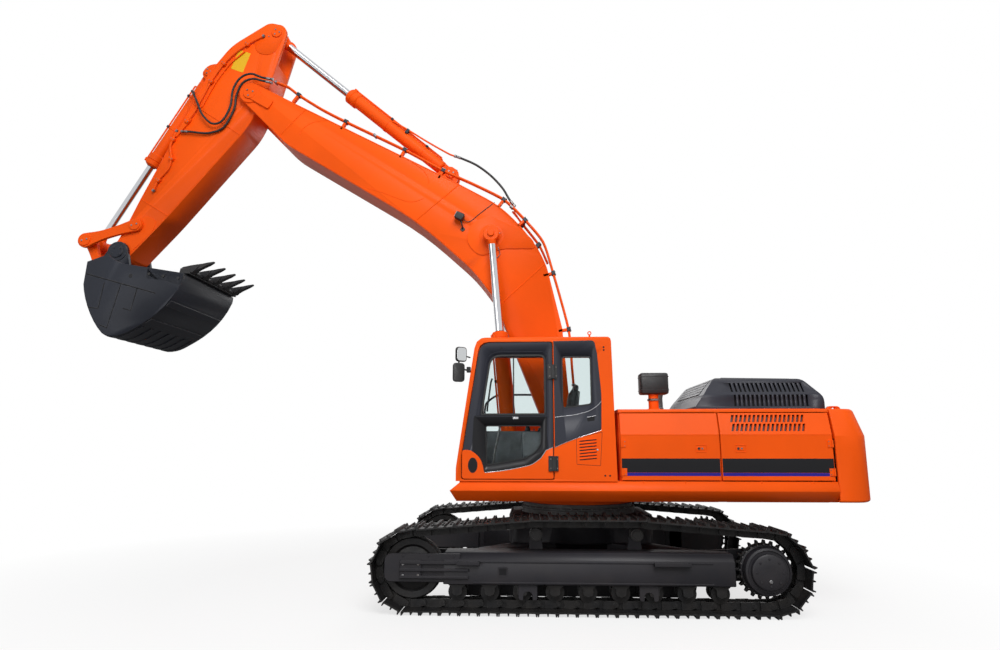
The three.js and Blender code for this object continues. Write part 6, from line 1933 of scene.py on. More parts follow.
def cushion(name, size, at, tilt=0.0, channels=()):
    """A seat pad: a crowned block blown up by cloth pressure, with sewn channels across it and piping."""
    x, y, z = size
    put_down_all()
    bpy.ops.mesh.primitive_cube_add(size=1)
    pad = bpy.context.object
    pad.scale = (x - 0.03, y - 0.03, z - 0.03)
    bpy.ops.object.transform_apply(location=False, rotation=False, scale=True)
    soften(pad, 0.03, 4, 30)
    apply_modifier(pad, "REMESH", mode="VOXEL", voxel_size=0.011)
    take(pad)
    bpy.ops.object.modifier_add(type="CLOTH")
    cloth = pad.modifiers[-1]
    cloth.settings.use_pressure = True
    cloth.settings.uniform_pressure_force = 4
    cloth.settings.effector_weights.gravity = 0
    cloth.point_cache.frame_end = 12
    before = [v.co.copy() for v in pad.data.vertices]
    for step in range(1, 13):
        bpy.context.scene.frame_set(step)
    bpy.ops.object.modifier_apply(modifier=cloth.name)
    bpy.context.scene.frame_set(1)
    for vertex, home in zip(pad.data.vertices, before):
        move = vertex.co - home
        if move.length > 0.014:
            vertex.co = home + move * (0.014 / move.length)
    # Crown, pulled-in seams and a flat underside.
    for vertex in pad.data.vertices:
        p = vertex.co
        u, v = p.x / (x / 2), p.y / (y / 2)
        dome = max(0.0, (1 - u * u) * (1 - v * v))
        if p.z > 0:
            p.z += 0.012 * dome
            for line in channels:
                gap = abs(p.x - line)
                p.z -= 0.012 * math.exp(-((gap / 0.011) ** 2))
            gap = abs(abs(p.y) - (y / 2 - 0.09))
            p.z -= 0.011 * math.exp(-((gap / 0.011) ** 2))
        else:
            p.z = max(p.z, -z / 2 + 0.006)
    paint(smooth(pad, 60), "seat_cloth")
    rim = rounded(oblong(-x / 2 + 0.012, x / 2 - 0.012, -y / 2 + 0.012, y / 2 - 0.012, 0.06), 6)
    piping = pipe([(a, b, z / 2 - 0.03) for a, b in [*rim, rim[0]]], 0.0045, "black_plastic", 8)
    turn = Matrix.Translation(at) @ Matrix.Rotation(math.radians(tilt), 4, "Y")
    piece = settle(
        name, [pad, piping], "house", HOUSE @ turn,
        ["operator_seat"] if name == "seat_cushion" else (),
    )
    return piece


def model_seat():
    """Cushion, back and head rest on their base."""
    cushion("seat_cushion", (0.5, 0.49, 0.13), (0.36, CAB_MIDDLE, CAB_DECK + 0.405), 0, (-0.1, 0.04))
    cushion("seat_back", (0.62, 0.46, 0.12), (0.135, CAB_MIDDLE, CAB_DECK + 0.775), 81, (-0.12, 0.02, 0.15))
    cushion("head_rest", (0.13, 0.28, 0.09), (0.062, CAB_MIDDLE, CAB_DECK + 1.09), 81)
    # Seat base: suspension with bellows, tray, the hard shell of the back, and a lever.
    parts = [slab(
        0.17, 0.57, CAB_MIDDLE - 0.19, CAB_MIDDLE + 0.19, CAB_DECK, CAB_DECK + 0.045, "black_plastic", 0.01,
        2,
    )]
    for i in range(6):
        grow = 0.012 * (i % 2)
        parts.append(slab(
            0.2 - grow, 0.54 + grow, CAB_MIDDLE - 0.16 - grow, CAB_MIDDLE + 0.16 + grow,
            CAB_DECK + 0.045 + i * 0.035, CAB_DECK + 0.08 + i * 0.035, "rubber", 0.012, 2,
        ))
    parts.append(slab(
        0.12, 0.6, CAB_MIDDLE - 0.235, CAB_MIDDLE + 0.235, CAB_DECK + 0.255, CAB_DECK + 0.34,
        "black_plastic", 0.02, 3,
    ))
    shell = plate(
        [
            (0.1, CAB_DECK + 0.33, 0.03), (0.17, CAB_DECK + 0.33, 0.02), (0.065, CAB_DECK + 1.05, 0.03),
            (0.02, CAB_DECK + 1.05, 0.03),
        ],
        CAB_MIDDLE - 0.215, CAB_MIDDLE + 0.215, "black_plastic", edge=0.012, segments=3,
    )
    parts.append(shell)
    parts.append(pipe(
        [(0.3, CAB_MIDDLE + 0.24, CAB_DECK + 0.3), (0.44, CAB_MIDDLE + 0.245, CAB_DECK + 0.3)], 0.01,
        "black_plastic",
    ))
    settle("seat_frame", parts, "house", HOUSE)


def model_cab_controls():
    """Consoles with their sticks, travel levers and pedals, floor mat and monitor."""
    parts = []
    for side in (1, -1):
        y = CAB_MIDDLE + side * 0.305
        parts.append(plate(
            [
                (0.16, CAB_DECK, 0.03), (0.72, CAB_DECK, 0.06), (0.76, CAB_DECK + 0.3, 0.06),
                (0.76, CAB_DECK + 0.555, 0.05), (0.16, CAB_DECK + 0.5, 0.04),
            ],
            y - 0.04, y + 0.04, "grey_plastic", edge=0.012, segments=3,
        ))
        parts.append(slab(
            0.18, 0.56, y - 0.036, y + 0.036, CAB_DECK + 0.535, CAB_DECK + 0.588, "black_plastic", 0.02, 3
        ))
        # Joystick with its gaiter, stem and shaped grip.
        parts.append(turned(
            [
                (0, 0), (0.036, 0), (0.03, 0.018), (0.033, 0.026), (0.022, 0.042), (0.025, 0.05),
                (0.012, 0.066), (0, 0.066),
            ],
            "rubber", at=(0.69, y, CAB_DECK + 0.55), across="z", sides=20,
        ))
        parts.append(turned(
            [
                (0, 0), (0.008, 0), (0.009, 0.07), (0.02, 0.08), (0.0215, 0.13), (0.019, 0.165),
                (0.012, 0.19), (0, 0.194),
            ],
            "black_plastic", at=(0.69, y, CAB_DECK + 0.565), across="z", sides=20,
        ))
        for i in range(4):
            parts.append(slab(
                0.6, 0.62, y - 0.025 + i * 0.014, y - 0.017 + i * 0.014, CAB_DECK + 0.56, CAB_DECK + 0.572,
                "black_plastic", 0.002,
            ))
    for dy in (-0.08, 0.08):
        y = CAB_MIDDLE + dy
        lever = eased(
            [
                (1.14, y, CAB_DECK + 0.01), (1.12, y, CAB_DECK + 0.25), (1.07, y, CAB_DECK + 0.5),
                (1.045, y, CAB_DECK + 0.66),
            ],
            4,
        )
        parts.append(pipe(lever, 0.009, "bare_steel"))
        parts.append(turned(
            [(0, 0), (0.014, 0), (0.019, 0.02), (0.017, 0.05), (0.02, 0.085), (0.012, 0.1), (0, 0.1)],
            "black_plastic", at=(1.048, y, CAB_DECK + 0.63), across="z", sides=20,
        ))
        parts.append(turned([(0, 0), (0.04, 0), (0.03, 0.02), (0.033, 0.03), (0.015, 0.05), (0, 0.05)],
                            "rubber", at=(1.138, y, CAB_DECK + 0.02), across="z", sides=20))
        pedal = plate(
            [
                (1.16, CAB_DECK + 0.03), (1.17, CAB_DECK + 0.022), (1.29, CAB_DECK + 0.1),
                (1.285, CAB_DECK + 0.11),
            ],
            y - 0.055, y + 0.055, "cast_iron", edge=0.003,
        )
        parts.append(pedal)
        for i in range(5):
            x = 1.175 + i * 0.022
            parts.append(slab(
                x, x + 0.008, y - 0.05, y + 0.05, CAB_DECK + 0.036 + i * 0.0147,
                CAB_DECK + 0.043 + i * 0.0147, "rubber", 0.002,
            ))
    parts.append(slab(
        0.64, 1.44, CAB_MIDDLE - 0.36, CAB_MIDDLE + 0.36, CAB_DECK, CAB_DECK + 0.014, "rubber", 0.006, 2
    ))
    for i in range(15):
        parts.append(slab(
            0.68, 1.42, CAB_MIDDLE - 0.33 + i * 0.047, CAB_MIDDLE - 0.316 + i * 0.047, CAB_DECK + 0.013,
            CAB_DECK + 0.019, "rubber", 0.002,
        ))
    # Monitor with its dark screen, on its arm at the front right.
    parts.append(pipe(
        eased(
            [(1.3, 0.68, CAB_DECK + 0.02), (1.34, 0.69, CAB_DECK + 0.4), (1.3, 0.71, CAB_DECK + 0.68)], 5
        ),
        0.014, "black_plastic",
    ))
    parts.append(slab(1.25, 1.3, 0.66, 0.86, CAB_DECK + 0.62, CAB_DECK + 0.8, "black_plastic", 0.015, 3))
    parts.append(slab(1.246, 1.251, 0.68, 0.84, CAB_DECK + 0.645, CAB_DECK + 0.775, "black_enamel_and_painted_shade", 0.001))
    settle("cab_controls", parts, "house", HOUSE, ["controls"])


class ModelCabInterior(bpy.types.Operator):
    """Seat with its cushions, consoles, levers, pedals, floor mat and monitor"""

    bl_idname = "excavator.cab_interior"
    bl_label = "Cab interior"

    def execute(self, context):
        model_seat()
        model_cab_controls()
        return {"FINISHED"}


class ModelMirrors(bpy.types.Operator):
    """Two mirrors on their bent arms beside the cab's front pillar"""

    bl_idname = "excavator.mirrors"
    bl_label = "Mirrors"

    def execute(self, context):
        stay = eased(
            [
                (1.44, 1.43, 2.86), (1.5, 1.5, 2.87), (1.53, 1.585, 2.9), (1.535, 1.6, 3.0),
                (1.53, 1.6, 3.12),
            ],
            6, 0.35,
        )
        brace = eased([(1.41, 1.44, 3.02), (1.47, 1.52, 3.03), (1.52, 1.59, 3.03)], 5, 0.4)
        parts = [pipe(stay, 0.011, "black_plastic"), pipe(brace, 0.009, "black_plastic")]
        parts.append(slab(1.4, 1.45, 1.415, 1.47, 2.83, 2.9, "black_plastic", 0.006, 2))
        for x, y, z, wide, tall, turn in (
            (1.505, 1.6, 3.04, 0.15, 0.185, 35), (1.535, 1.6, 2.815, 0.15, 0.235, 202)
        ):
            head = plate(
                oblong(-wide / 2, wide / 2, -tall / 2, tall / 2, 0.045),
                -0.025, 0.018, "black_plastic", edge=0.014, segments=3, steps=6,
            )
            face = plate(
                oblong(-wide / 2 + 0.012, wide / 2 - 0.012, -tall / 2 + 0.012, tall / 2 - 0.012, 0.035),
                0.016, 0.0195, "mirror_glass", edge=0.001, steps=6,
            )
            place = Matrix.Translation((x, y, z)) @ Matrix.Rotation(math.radians(turn), 4, "Z")
            for part in (head, face):
                parts.append(shifted(part, place))
        settle("cab_mirrors", parts, "house", HOUSE, ["left_mirrors"])
        return {"FINISHED"}


# ---------------------------------------------------------------- boom, arm and their oil lines

BOOM_HALF, ARM_HALF, BUCKET_HALF = 0.34, 0.255, 0.79
PIPE_SIDES = (0.286, 0.328)
PIPE_ROUTE = [
    (0.43, 0.6), (0.62, 0.75), (1.06, 1.095), (1.819, 1.5), (2.269, 1.715), (2.7, 1.75), (3.152, 1.735),
    (3.66, 1.56), (4.125, 1.375), (4.784, 1.165), (5.773, 0.8), (6.205, 0.655), (6.64, 0.545), (6.86, 0.51),
    (7.06, 0.42),
]
CROWD_HOSE = [
    (4.23, 0.19, 1.69), (4.1, 0.195, 1.75), (3.88, 0.205, 1.83), (3.6, 0.22, 1.87), (3.33, 0.24, 1.86),
    (3.12, 0.262, 1.81), (2.99, 0.268, 1.795),
]
UPPER_HOSE = [
    (-0.375, 0.385, -0.163), (-0.305, 0.385, -0.002), (-0.251, 0.385, 0.181), (-0.098, 0.368, 0.285),
    (0.115, 0.35, 0.262), (0.333, 0.338, 0.13), (0.523, 0.334, 0.075), (0.667, 0.332, 0.088),
    (0.747, 0.33, 0.2), (0.716, 0.33, 0.406), (0.617, 0.332, 0.587), (0.53, 0.306, 0.769),
    (0.497, 0.238, 0.88), (0.49, 0.134, 0.922),
]
LOWER_HOSE = [
    (-0.322, 0.385, -0.19), (-0.258, 0.385, -0.03), (-0.2, 0.383, 0.104), (-0.061, 0.355, 0.205),
    (0.151, 0.31, 0.182), (0.351, 0.294, 0.07), (0.675, 0.29, 0.01), (0.87, 0.292, 0.12),
    (0.975, 0.295, 0.265), (1.04, 0.298, 0.385), (1.118, 0.3, 0.5),
]
ARM_PIPES = (
    [(-0.9, 0.52), (-0.64, 0.64), (-0.44, 0.7), (-0.16, 0.735), (0.2, 0.7), (0.745, 0.575), (0.94, 0.56)],
    [(1.16, 0.59), (1.3, 0.545), (1.42, 0.5), (1.56, 0.35), (1.721, 0.277), (1.946, 0.284), (2.12, 0.23)],
)


def oil_hose(name, route, body, place, node):
    """A black hose between two fittings with crimped ferrules and hexagon nuts."""
    radius = sizes("fittings").pipe
    points = eased(route, 6)
    ends = []
    for end, other in ((points[0], points[2]), (points[-1], points[-3])):
        way = (other - end).normalized()
        aim = Matrix.Translation(end) @ way.to_track_quat("Z", "Y").to_matrix().to_4x4()
        ferrule = turned(
            [
                (0, 0.03), (radius + 0.002, 0.03), (radius + 0.0045, 0.036), (radius + 0.0035, 0.05),
                (radius + 0.005, 0.054), (radius + 0.0035, 0.068), (radius + 0.005, 0.072),
                (radius + 0.004, 0.09), (0, 0.09),
            ],
            "bare_steel", across="z", sides=20,
        )
        put_down_all()
        bpy.ops.mesh.primitive_cylinder_add(
            vertices=6, radius=radius + 0.008, depth=0.036, location=(0, 0, 0.012)
        )
        nut = paint(soften(bpy.context.object, 0.002), "bare_steel")
        ends += [shifted(ferrule, aim), shifted(nut, aim)]
    fittings = settle(f"{name}_fittings", ends, body, place)
    hose = pipe(points, radius, "rubber", 16)
    hose = settle(name, [hose], body, place, [node])


class ModelHoses(bpy.types.Operator):
    """The oil hoses over the boom's elbow and round the arm's joint"""

    bl_idname = "excavator.hoses"
    bl_label = "Oil hoses"

    def execute(self, context):
        oil_hose("crowd_hose", CROWD_HOSE, "boom", BOOM, "boom_hose")
        oil_hose("curl_hose", UPPER_HOSE, "arm", ARM, "arm_hose_upper")
        oil_hose("arm_line_hose", LOWER_HOSE, "arm", ARM, "arm_hose_lower")
        return {"FINISHED"}


def pipe_clamp(x, z, tilt, low, high, sides, finish="cab_enamel"):
    """A two-piece clamp over a pair of pipes, with its bolts, on a standing plate."""
    block = slab(-0.032, 0.032, low, high, -0.026, 0.026, finish, 0.008, 2)
    lid = slab(-0.036, 0.036, low + 0.006, high - 0.006, 0.024, 0.032, "bare_steel", 0.002)
    heads = bolts([(a, sum(sides) / 2, 0.032) for a in (-0.018, 0.018)], 0.009, across="z")
    turn = Matrix.Translation((x, 0, z)) @ Matrix.Rotation(math.radians(-tilt), 4, "Y")
    return [shifted(part, turn) for part in (block, lid, heads)]


def pad_plate(outline, side, half, finish="body_enamel", thick=0.016, edge=0.005):
    """A doubler welded on a side plate."""
    return plate(
        outline, side * (half - 0.002), side * (half + thick), finish, edge=edge, segments=2, steps=8
    )


def weld(points, side, half, radius=0.006):
    """A weld bead along points of a side view, on the face of a side plate."""
    return pipe([(x, side * half, z) for x, z in points], radius, "body_enamel", 8)


def model_boom_body():
    """Box of the boom with its flanges, welds, doublers, eyes, lamp and the arm cylinder's bracket."""
    body = shifted(from_frame("boom", "body_enamel", edge=0.009, segments=2), BOOM.inverted())
    parts = [body]
    top = rounded(
        [
            (-0.09, 0.13), (0.222, 0.336), (1.128, 1.034), (1.951, 1.495, 0.1), (2.239, 1.59, 0.26),
            (2.715, 1.64, 0.3), (3.154, 1.612, 0.22), (3.816, 1.401, 0.3), (6.382, 0.472, 0.2),
            (7.19, 0.18),
        ],
        6,
    )[1:]
    under = rounded([(0.05, -0.148), (0.12, -0.15), (2.141, 0.615), (2.639, 0.665, 0.3), (3.787, 0.553, 0.5),
                     (6.125, -0.124, 0.3), (6.5, -0.135), (7.08, -0.158)], 6)[1:]
    for side in (1, -1):
        # Welds of the flanges along both edges, and the butt seams across the sides.
        parts.append(weld([(x, z - 0.016) for x, z in top[2:-1]], side, BOOM_HALF, 0.005))
        parts.append(weld([(x, z + 0.018) for x, z in under[1:-1]], side, BOOM_HALF, 0.005))
        for seam in (
            [(1.995, 0.6), (2.0, 1.48)], [(3.805, 0.565), (3.785, 1.4)], [(6.306, -0.11), (6.362, 0.46)]
        ):
            parts.append(weld(seam, side, BOOM_HALF, 0.0085))
        # Doubler round the lift cylinder's eye, rising to the top edge, and the boss itself.
        doubler = [
            (2.615, 1.176, 0.12), (2.264, 1.56, 0.14), (2.371, 1.618, 0.08), (2.62, 1.61, 0.1),
            (2.86, 1.5, 0.3), (3.13, 1.4, 0.3), (3.2, 1.1, 0.3), (3.05, 0.88, 0.25), (2.72, 0.86, 0.25),
        ]
        parts.append(pad_plate(doubler, side, BOOM_HALF))
        eye = turned(
            [(0, 0.33), (0.19, 0.33), (0.19, 0.352), (0.175, 0.36), (0.15, 0.36), (0.145, 0.352), (0, 0.352)],
            "body_enamel", at=(0, 0, 0), sides=40,
        )
        parts.append(shifted(
            eye,
            Matrix.Translation((2.843, 0, 1.209)) @ (
                Matrix() if side > 0 else Matrix.Rotation(math.radians(180), 4, "Z")
            ),
        ))
        # Weld lines of the plates inside, the tip's round doubler, and the bar that locks the pin.
        for curve in (
            [(5.96, 0.62), (6.06, 0.5), (6.13, 0.36), (6.135, 0.21), (6.1, 0.13)],
            [(4.55, 1.11), (4.35, 1.15), (4.19, 1.125), (4.11, 1.07)],
            [(4.7, 0.345), (4.46, 0.48), (4.17, 0.62), (4.05, 0.72), (3.985, 0.86)],
        ):
            parts.append(pipe(eased([(x, side * BOOM_HALF, z) for x, z in curve]), 0.0055, "body_enamel", 8))
        parts.append(pad_plate(circle(7.186, 0, 0.165, 40), side, BOOM_HALF, thick=0.016))
        lock = [
            (7.14, -0.075, 0.03), (7.25, -0.03, 0.05), (7.24, 0.07, 0.04), (6.815, 0.19, 0.035),
            (6.765, 0.035, 0.035),
        ]
        parts.append(pad_plate(lock, side, BOOM_HALF, thick=0.03, edge=0.008))
        parts += pin_cap(7.186, 0, BOOM_HALF + 0.014, 0.1, side, count=3)
        # Grease bank on the side of the elbow and its small steel line to the eye.
        parts.append(slab(
            2.5, 2.58, side * BOOM_HALF, side * (BOOM_HALF + 0.02), 0.98, 1.03, "body_enamel", 0.004
        ))
        line = eased(
            [
                (2.54, side * (BOOM_HALF + 0.01), 1.03), (2.56, side * (BOOM_HALF + 0.016), 1.12),
                (2.66, side * (BOOM_HALF + 0.018), 1.17),
            ],
            4,
        )
        parts.append(pipe(line, 0.005, "bare_steel", 8))
    # Work lamp on the left, its stand and cable.
    y = BOOM_HALF
    parts.append(plate(oblong(3.19, 3.25, 0.94, 1.0, 0.02), y, y + 0.012, "black_plastic", edge=0.003))
    parts.append(pipe(
        eased([(3.22, y + 0.008, 0.97), (3.26, y + 0.06, 1.0), (3.34, y + 0.075, 1.04)], 5), 0.012,
        "black_plastic",
    ))
    lamp = plate(oblong(-0.075, 0.055, -0.055, 0.055, 0.025),
                 -0.05, 0.05, "black_plastic", edge=0.015, segments=3)
    face = plate(oblong(0.05, 0.06, -0.045, 0.045, 0.02), -0.042, 0.042, "lamp_glass", edge=0.002)
    aim = Matrix.Translation((3.385, y + 0.075, 1.055)) @ Matrix.Rotation(math.radians(20), 4, "Y")
    parts += [shifted(lamp, aim), shifted(face, aim)]
    cable = eased(
        [
            (3.33, y + 0.05, 1.06), (3.24, y + 0.008, 1.12), (3.228, y + 0.006, 1.3),
            (3.215, y + 0.006, 1.5), (3.212, y - 0.01, 1.6),
        ],
        6,
    )
    parts.append(pipe(cable, 0.006, "rubber", 8))
    # Bracket of the arm cylinder's foot: pin covers and a gusset between the cheeks.
    for side in (1, -1):
        parts += pin_cap(4.1, 1.47, 0.103, 0.078, side)
        parts.append(slab(3.92, 4.0, side * 0.1, side * 0.22, 1.37, 1.4, "body_enamel", 0.004))
    parts.append(slab(3.96, 4.24, -0.075, 0.075, 1.3, 1.33, "body_enamel", 0.006))
    settle("boom_steel", parts, "boom", BOOM, ["boom"])


def model_boom_pipes():
    """Pipes along the boom's top with their clamps and stands, and the arm cylinder's supply."""
    radius = sizes("fittings").pipe
    parts = []
    for y in PIPE_SIDES:
        parts.append(pipe(eased([(x, y, z) for x, z in PIPE_ROUTE], 5, 0.35), radius, "body_enamel", 16))
        for x, z in (PIPE_ROUTE[0], PIPE_ROUTE[-1]):
            parts.append(turned(
                drum(radius + 0.006, -0.022, 0.022, 0.003), "bare_steel", at=(x, y, z), across="x", sides=6
            ))
        for x, z in ((2.99, 1.742), (5.28, 0.982)):
            parts.append(turned(
                drum(radius + 0.005, -0.03, 0.03, 0.003), "bare_steel", at=(x, y, z), across="x", sides=20
            ))
    low, high = PIPE_SIDES[0] - 0.024, PIPE_SIDES[1] + 0.024
    stops = (2, 3, 5, 6, 8, 9, 10, 12)
    for i in stops:
        x, z = PIPE_ROUTE[i]
        ahead, behind = Vector(PIPE_ROUTE[i + 1]), Vector(PIPE_ROUTE[i - 1])
        run = ahead - behind
        tilt = math.degrees(math.atan2(run.y, run.x))
        parts += pipe_clamp(x, z, tilt, low, high, PIPE_SIDES)
        turn = Matrix.Translation((x, 0, z)) @ Matrix.Rotation(math.radians(-tilt), 4, "Y")
        stand = slab(-0.02, 0.02, low + 0.01, high - 0.012, -0.15, -0.02, "body_enamel", 0.004)
        parts.append(shifted(stand, turn))
    # Supply pipes of the arm cylinder, from the clamp bank over the elbow to its two ports.
    for y in (0.235, 0.19):
        line = eased(
            [(2.0, y, 1.56), (2.3, y, 1.66), (2.7, y, 1.7), (2.95, y, 1.745 if y < 0.2 else 1.72)], 5, 0.4
        )
        parts.append(pipe(line, 0.015, "body_enamel"))
    parts.append(slab(2.27, 2.33, 0.165, 0.26, 1.6, 1.69, "cab_enamel", 0.008, 2))
    parts.append(slab(2.67, 2.73, 0.165, 0.26, 1.63, 1.73, "cab_enamel", 0.008, 2))
    settle("boom_oil_lines", parts, "boom", BOOM, ["boom_pipes"])


class ModelBoom(bpy.types.Operator):
    """Boom box with its flanges, doublers, weld seams, bosses, lamp, and the pipes along its top"""

    bl_idname = "excavator.boom"
    bl_label = "Boom"

    def execute(self, context):
        model_boom_body()
        model_boom_pipes()
        return {"FINISHED"}


def model_arm_body():
    """Box of the arm with its flanges, welds, bosses and blank sign."""
    body = shifted(from_frame("arm", "body_enamel", edge=0.008, segments=2), ARM.inverted())
    parts = [body]
    top = rounded(
        [
            (-0.45, 0.84), (-0.4, 0.855, 0.1), (0.12, 0.85, 0.12), (0.7, 0.7, 0.2), (2.45, 0.3, 0.3),
            (2.86, 0.19, 0.06), (3.1, 0.155),
        ],
        6,
    )
    under = rounded(
        [(-0.2, -0.145), (0.06, -0.19), (0.43, -0.285, 0.17), (2.362, -0.222, 0.2), (3.15, -0.155)], 6
    )
    for side in (1, -1):
        parts.append(weld([(x, z - 0.016) for x, z in top], side, ARM_HALF, 0.005))
        parts.append(weld([(x, z + 0.017) for x, z in under], side, ARM_HALF, 0.005))
        for seam in ([(0.62, -0.26), (0.66, 0.7)], [(2.3, -0.2), (2.34, 0.31)]):
            parts.append(weld(seam, side, ARM_HALF, 0.0085))
        tail = [
            (-1.2, 0.38, 0.1), (-1.1, 0.56, 0.1), (-0.75, 0.62, 0.25), (-0.6, 0.4, 0.3), (-0.75, 0.18, 0.2),
            (-1.1, 0.26, 0.1),
        ]
        parts.append(pad_plate(tail, side, ARM_HALF, thick=0.01))
        parts.append(pad_plate(circle(0, 0, 0.225, 40), side, ARM_HALF, thick=0.006, edge=0.003))
        tip = [
            (2.45, -0.12, 0.1), (2.62, -0.19, 0.1), (3.17, -0.12, 0.1), (3.12, 0.12, 0.08),
            (2.8, 0.16, 0.15), (2.5, 0.1, 0.15),
        ]
        parts.append(pad_plate(tip, side, ARM_HALF, thick=0.006, edge=0.003))
        parts += pin_cap(-1.08, 0.39, ARM_HALF + 0.008, 0.085, side)
        # Grease nipples beside the pins.
        for x, z in ((-1.08, 0.39), (0, 0)):
            parts.append(turned(
                drum(0.009, side * (ARM_HALF - 0.004), side * (ARM_HALF + 0.02), 0.001),
                "bare_steel", at=(x + 0.13, 0, z + 0.06), sides=12,
            ))
    for side in (1, -1):
        parts += pin_cap(0.06, 0.985, 0.103, 0.075, side)
    parts += [slab(-0.14, 0.02, -0.075, 0.075, 0.9, 0.925, "body_enamel", 0.006)]
    # Blank sign plate near the tail.
    sign = [(-0.489, 0.714, 0.012), (-0.551, 0.51, 0.012), (-0.22, 0.398, 0.012), (-0.161, 0.603, 0.012)]
    parts.append(plate(sign, ARM_HALF - 0.001, ARM_HALF + 0.0025, "sign_yellow", edge=0.001))
    settle("arm_steel", parts, "arm", ARM, ["arm"])


def model_arm_pipes():
    """Pipes on the arm's side with their clamps and end fittings."""
    radius = sizes("fittings").pipe
    y = ARM_HALF + radius + 0.012
    parts = []
    for route in ARM_PIPES:
        parts.append(pipe(eased([(x, y, z) for x, z in route], 6, 0.35), radius, "body_enamel", 16))
        for x, z in (route[0], route[-1]):
            parts.append(turned(
                drum(radius + 0.007, -0.022, 0.022, 0.003), "bare_steel", at=(x, y, z), across="x", sides=6
            ))
    upper, lower = ARM_PIPES
    for x, z in (upper[1], upper[3], upper[4], upper[6], lower[1], lower[3], lower[5]):
        parts.append(slab(
            x - 0.028, x + 0.028, ARM_HALF, y + radius + 0.008, z - 0.036, z + 0.036, "body_enamel", 0.008,
            2,
        ))
        parts.append(bolts([(x, y + radius + 0.008, z + d) for d in (-0.022, 0.022)], 0.0085))
    parts.append(plate(oblong(0.86, 1.24, 0.53, 0.6, 0.02), ARM_HALF, y, "body_enamel", edge=0.004))
    # A short second run beside the first.
    second = [(-0.52, 0.6), (-0.2, 0.66), (0.18, 0.635), (0.62, 0.54)]
    parts.append(pipe(eased([(x, ARM_HALF + 0.016, z) for x, z in second], 6, 0.35), 0.012, "body_enamel"))
    settle("arm_oil_lines", parts, "arm", ARM, ["arm_pipes"])


class ModelArm(bpy.types.Operator):
    """Arm box with its bosses, doublers, seams, blank sign plate, and the pipes on its side"""

    bl_idname = "excavator.arm"
    bl_label = "Arm"

    def execute(self, context):
        model_arm_body()
        model_arm_pipes()
        return {"FINISHED"}


# ---------------------------------------------------------------- cylinders and linkage


def barrel_parts(bore, length, y, lines):
    """A cylinder's tube with its foot eye, weld neck, band clamps, gland head with its bolts and oil port."""
    parts = [turned(
        [(0.052, -0.055), (0.11, -0.055), (0.118, -0.047), (0.118, 0.047), (0.11, 0.055), (0.052, 0.055)],
        "body_enamel", at=(0, y, 0), sides=36,
    )]
    neck = plate(
        [
            (0.04, -0.085, 0.02), (0.13, -0.085, 0.04), (0.205, -bore + 0.012), (0.205, bore - 0.012),
            (0.13, 0.085, 0.04), (0.04, 0.085, 0.02),
        ],
        y - 0.05, y + 0.05, "body_enamel", edge=0.012, segments=2,
    )
    tube = turned(
        [
            (0, 0.19), (bore - 0.02, 0.19), (bore, 0.21), (bore, length - 0.19),
            (bore + 0.018, length - 0.17), (bore + 0.018, length - 0.085), (bore + 0.008, length - 0.075),
            (bore + 0.016, length - 0.065), (bore + 0.016, length - 0.006), (bore + 0.001, length + 0.01),
            (bore - 0.02, length + 0.012), (bore - 0.026, length + 0.025), (0, length + 0.025),
        ],
        "body_enamel", at=(0, y, 0), across="x", sides=40,
    )
    parts += [neck, tube]
    heads = [(length + 0.01, y + a, b) for a, b in circle(0, 0, bore - 0.012, 10)]
    parts.append(bolts(heads, 0.011, across="x", finish="body_enamel"))
    wiper = turned(
        [(0, 0.02), (bore * 0.66, 0.02), (bore * 0.7, 0.028), (bore * 0.62, 0.034), (0, 0.034)], "rubber",
        at=(length, y, 0), across="x", sides=28,
    )
    parts.append(wiper)
    for share in (0.28, 0.62):
        x = length * share
        parts.append(turned(
            oblong(bore - 0.005, bore + 0.006, x - 0.022, x + 0.022),
            "body_enamel", at=(0, y, 0), across="x", sides=40,
        ))
    for side, y_pipe in lines:
        z = side * (bore + 0.017)
        run = eased(
            [
                (0.3, y + y_pipe, side * (bore - 0.01)), (0.31, y + y_pipe, z), (0.42, y + y_pipe, z),
                (length - 0.16, y + y_pipe, z), (length - 0.05, y + y_pipe, z),
                (length - 0.035, y + y_pipe, side * (bore - 0.01)),
            ],
            5, 0.2,
        )
        parts.append(pipe(run, 0.0125, "body_enamel"))
        for x in (length * 0.28, length * 0.62):
            parts.append(slab(
                x - 0.02, x + 0.02, y + y_pipe - 0.026, y + y_pipe + 0.026, side * (bore - 0.004),
                side * (bore + 0.031), "cab_enamel", 0.006, 2,
            ))
        parts.append(slab(
            length - 0.075, length - 0.015, y + y_pipe - 0.03, y + y_pipe + 0.03, side * (bore - 0.01),
            side * (bore + 0.03), "body_enamel", 0.006, 2,
        ))
    parts.append(turned(drum(0.008, 0, 0.018, 0.001), "bare_steel", at=(0, y, 0.116), across="z", sides=12))
    return parts


def rod_parts(radius, reach, y, pin_radius, pin_half):
    """A chrome rod with its welded eye, bush and pin."""
    bar = turned(
        [
            (0, -reach), (radius, -reach), (radius, -0.16), (radius + 0.004, -0.15), (radius + 0.012, -0.1),
            (0, -0.09),
        ],
        "chrome", at=(0, y, 0), across="x", sides=36,
    )
    bar.data.materials.append(FINISHES["body_enamel"])
    for face in bar.data.polygons:
        if face.center.x > -0.158:
            face.material_index = 1
    eye = turned(
        [
            (pin_radius, -0.055), (0.108, -0.055), (0.118, -0.045), (0.118, 0.045), (0.108, 0.055),
            (pin_radius, 0.055),
        ],
        "body_enamel", at=(0, y, 0), sides=36,
    )
    pin = turned(drum(pin_radius, -pin_half, pin_half, 0.008), "body_enamel", at=(0, y, 0), sides=28)
    nipple = turned(drum(0.008, 0, 0.016, 0.001), "bare_steel", at=(0, y, 0.116), across="z", sides=12)
    return [bar, eye, pin, nipple]


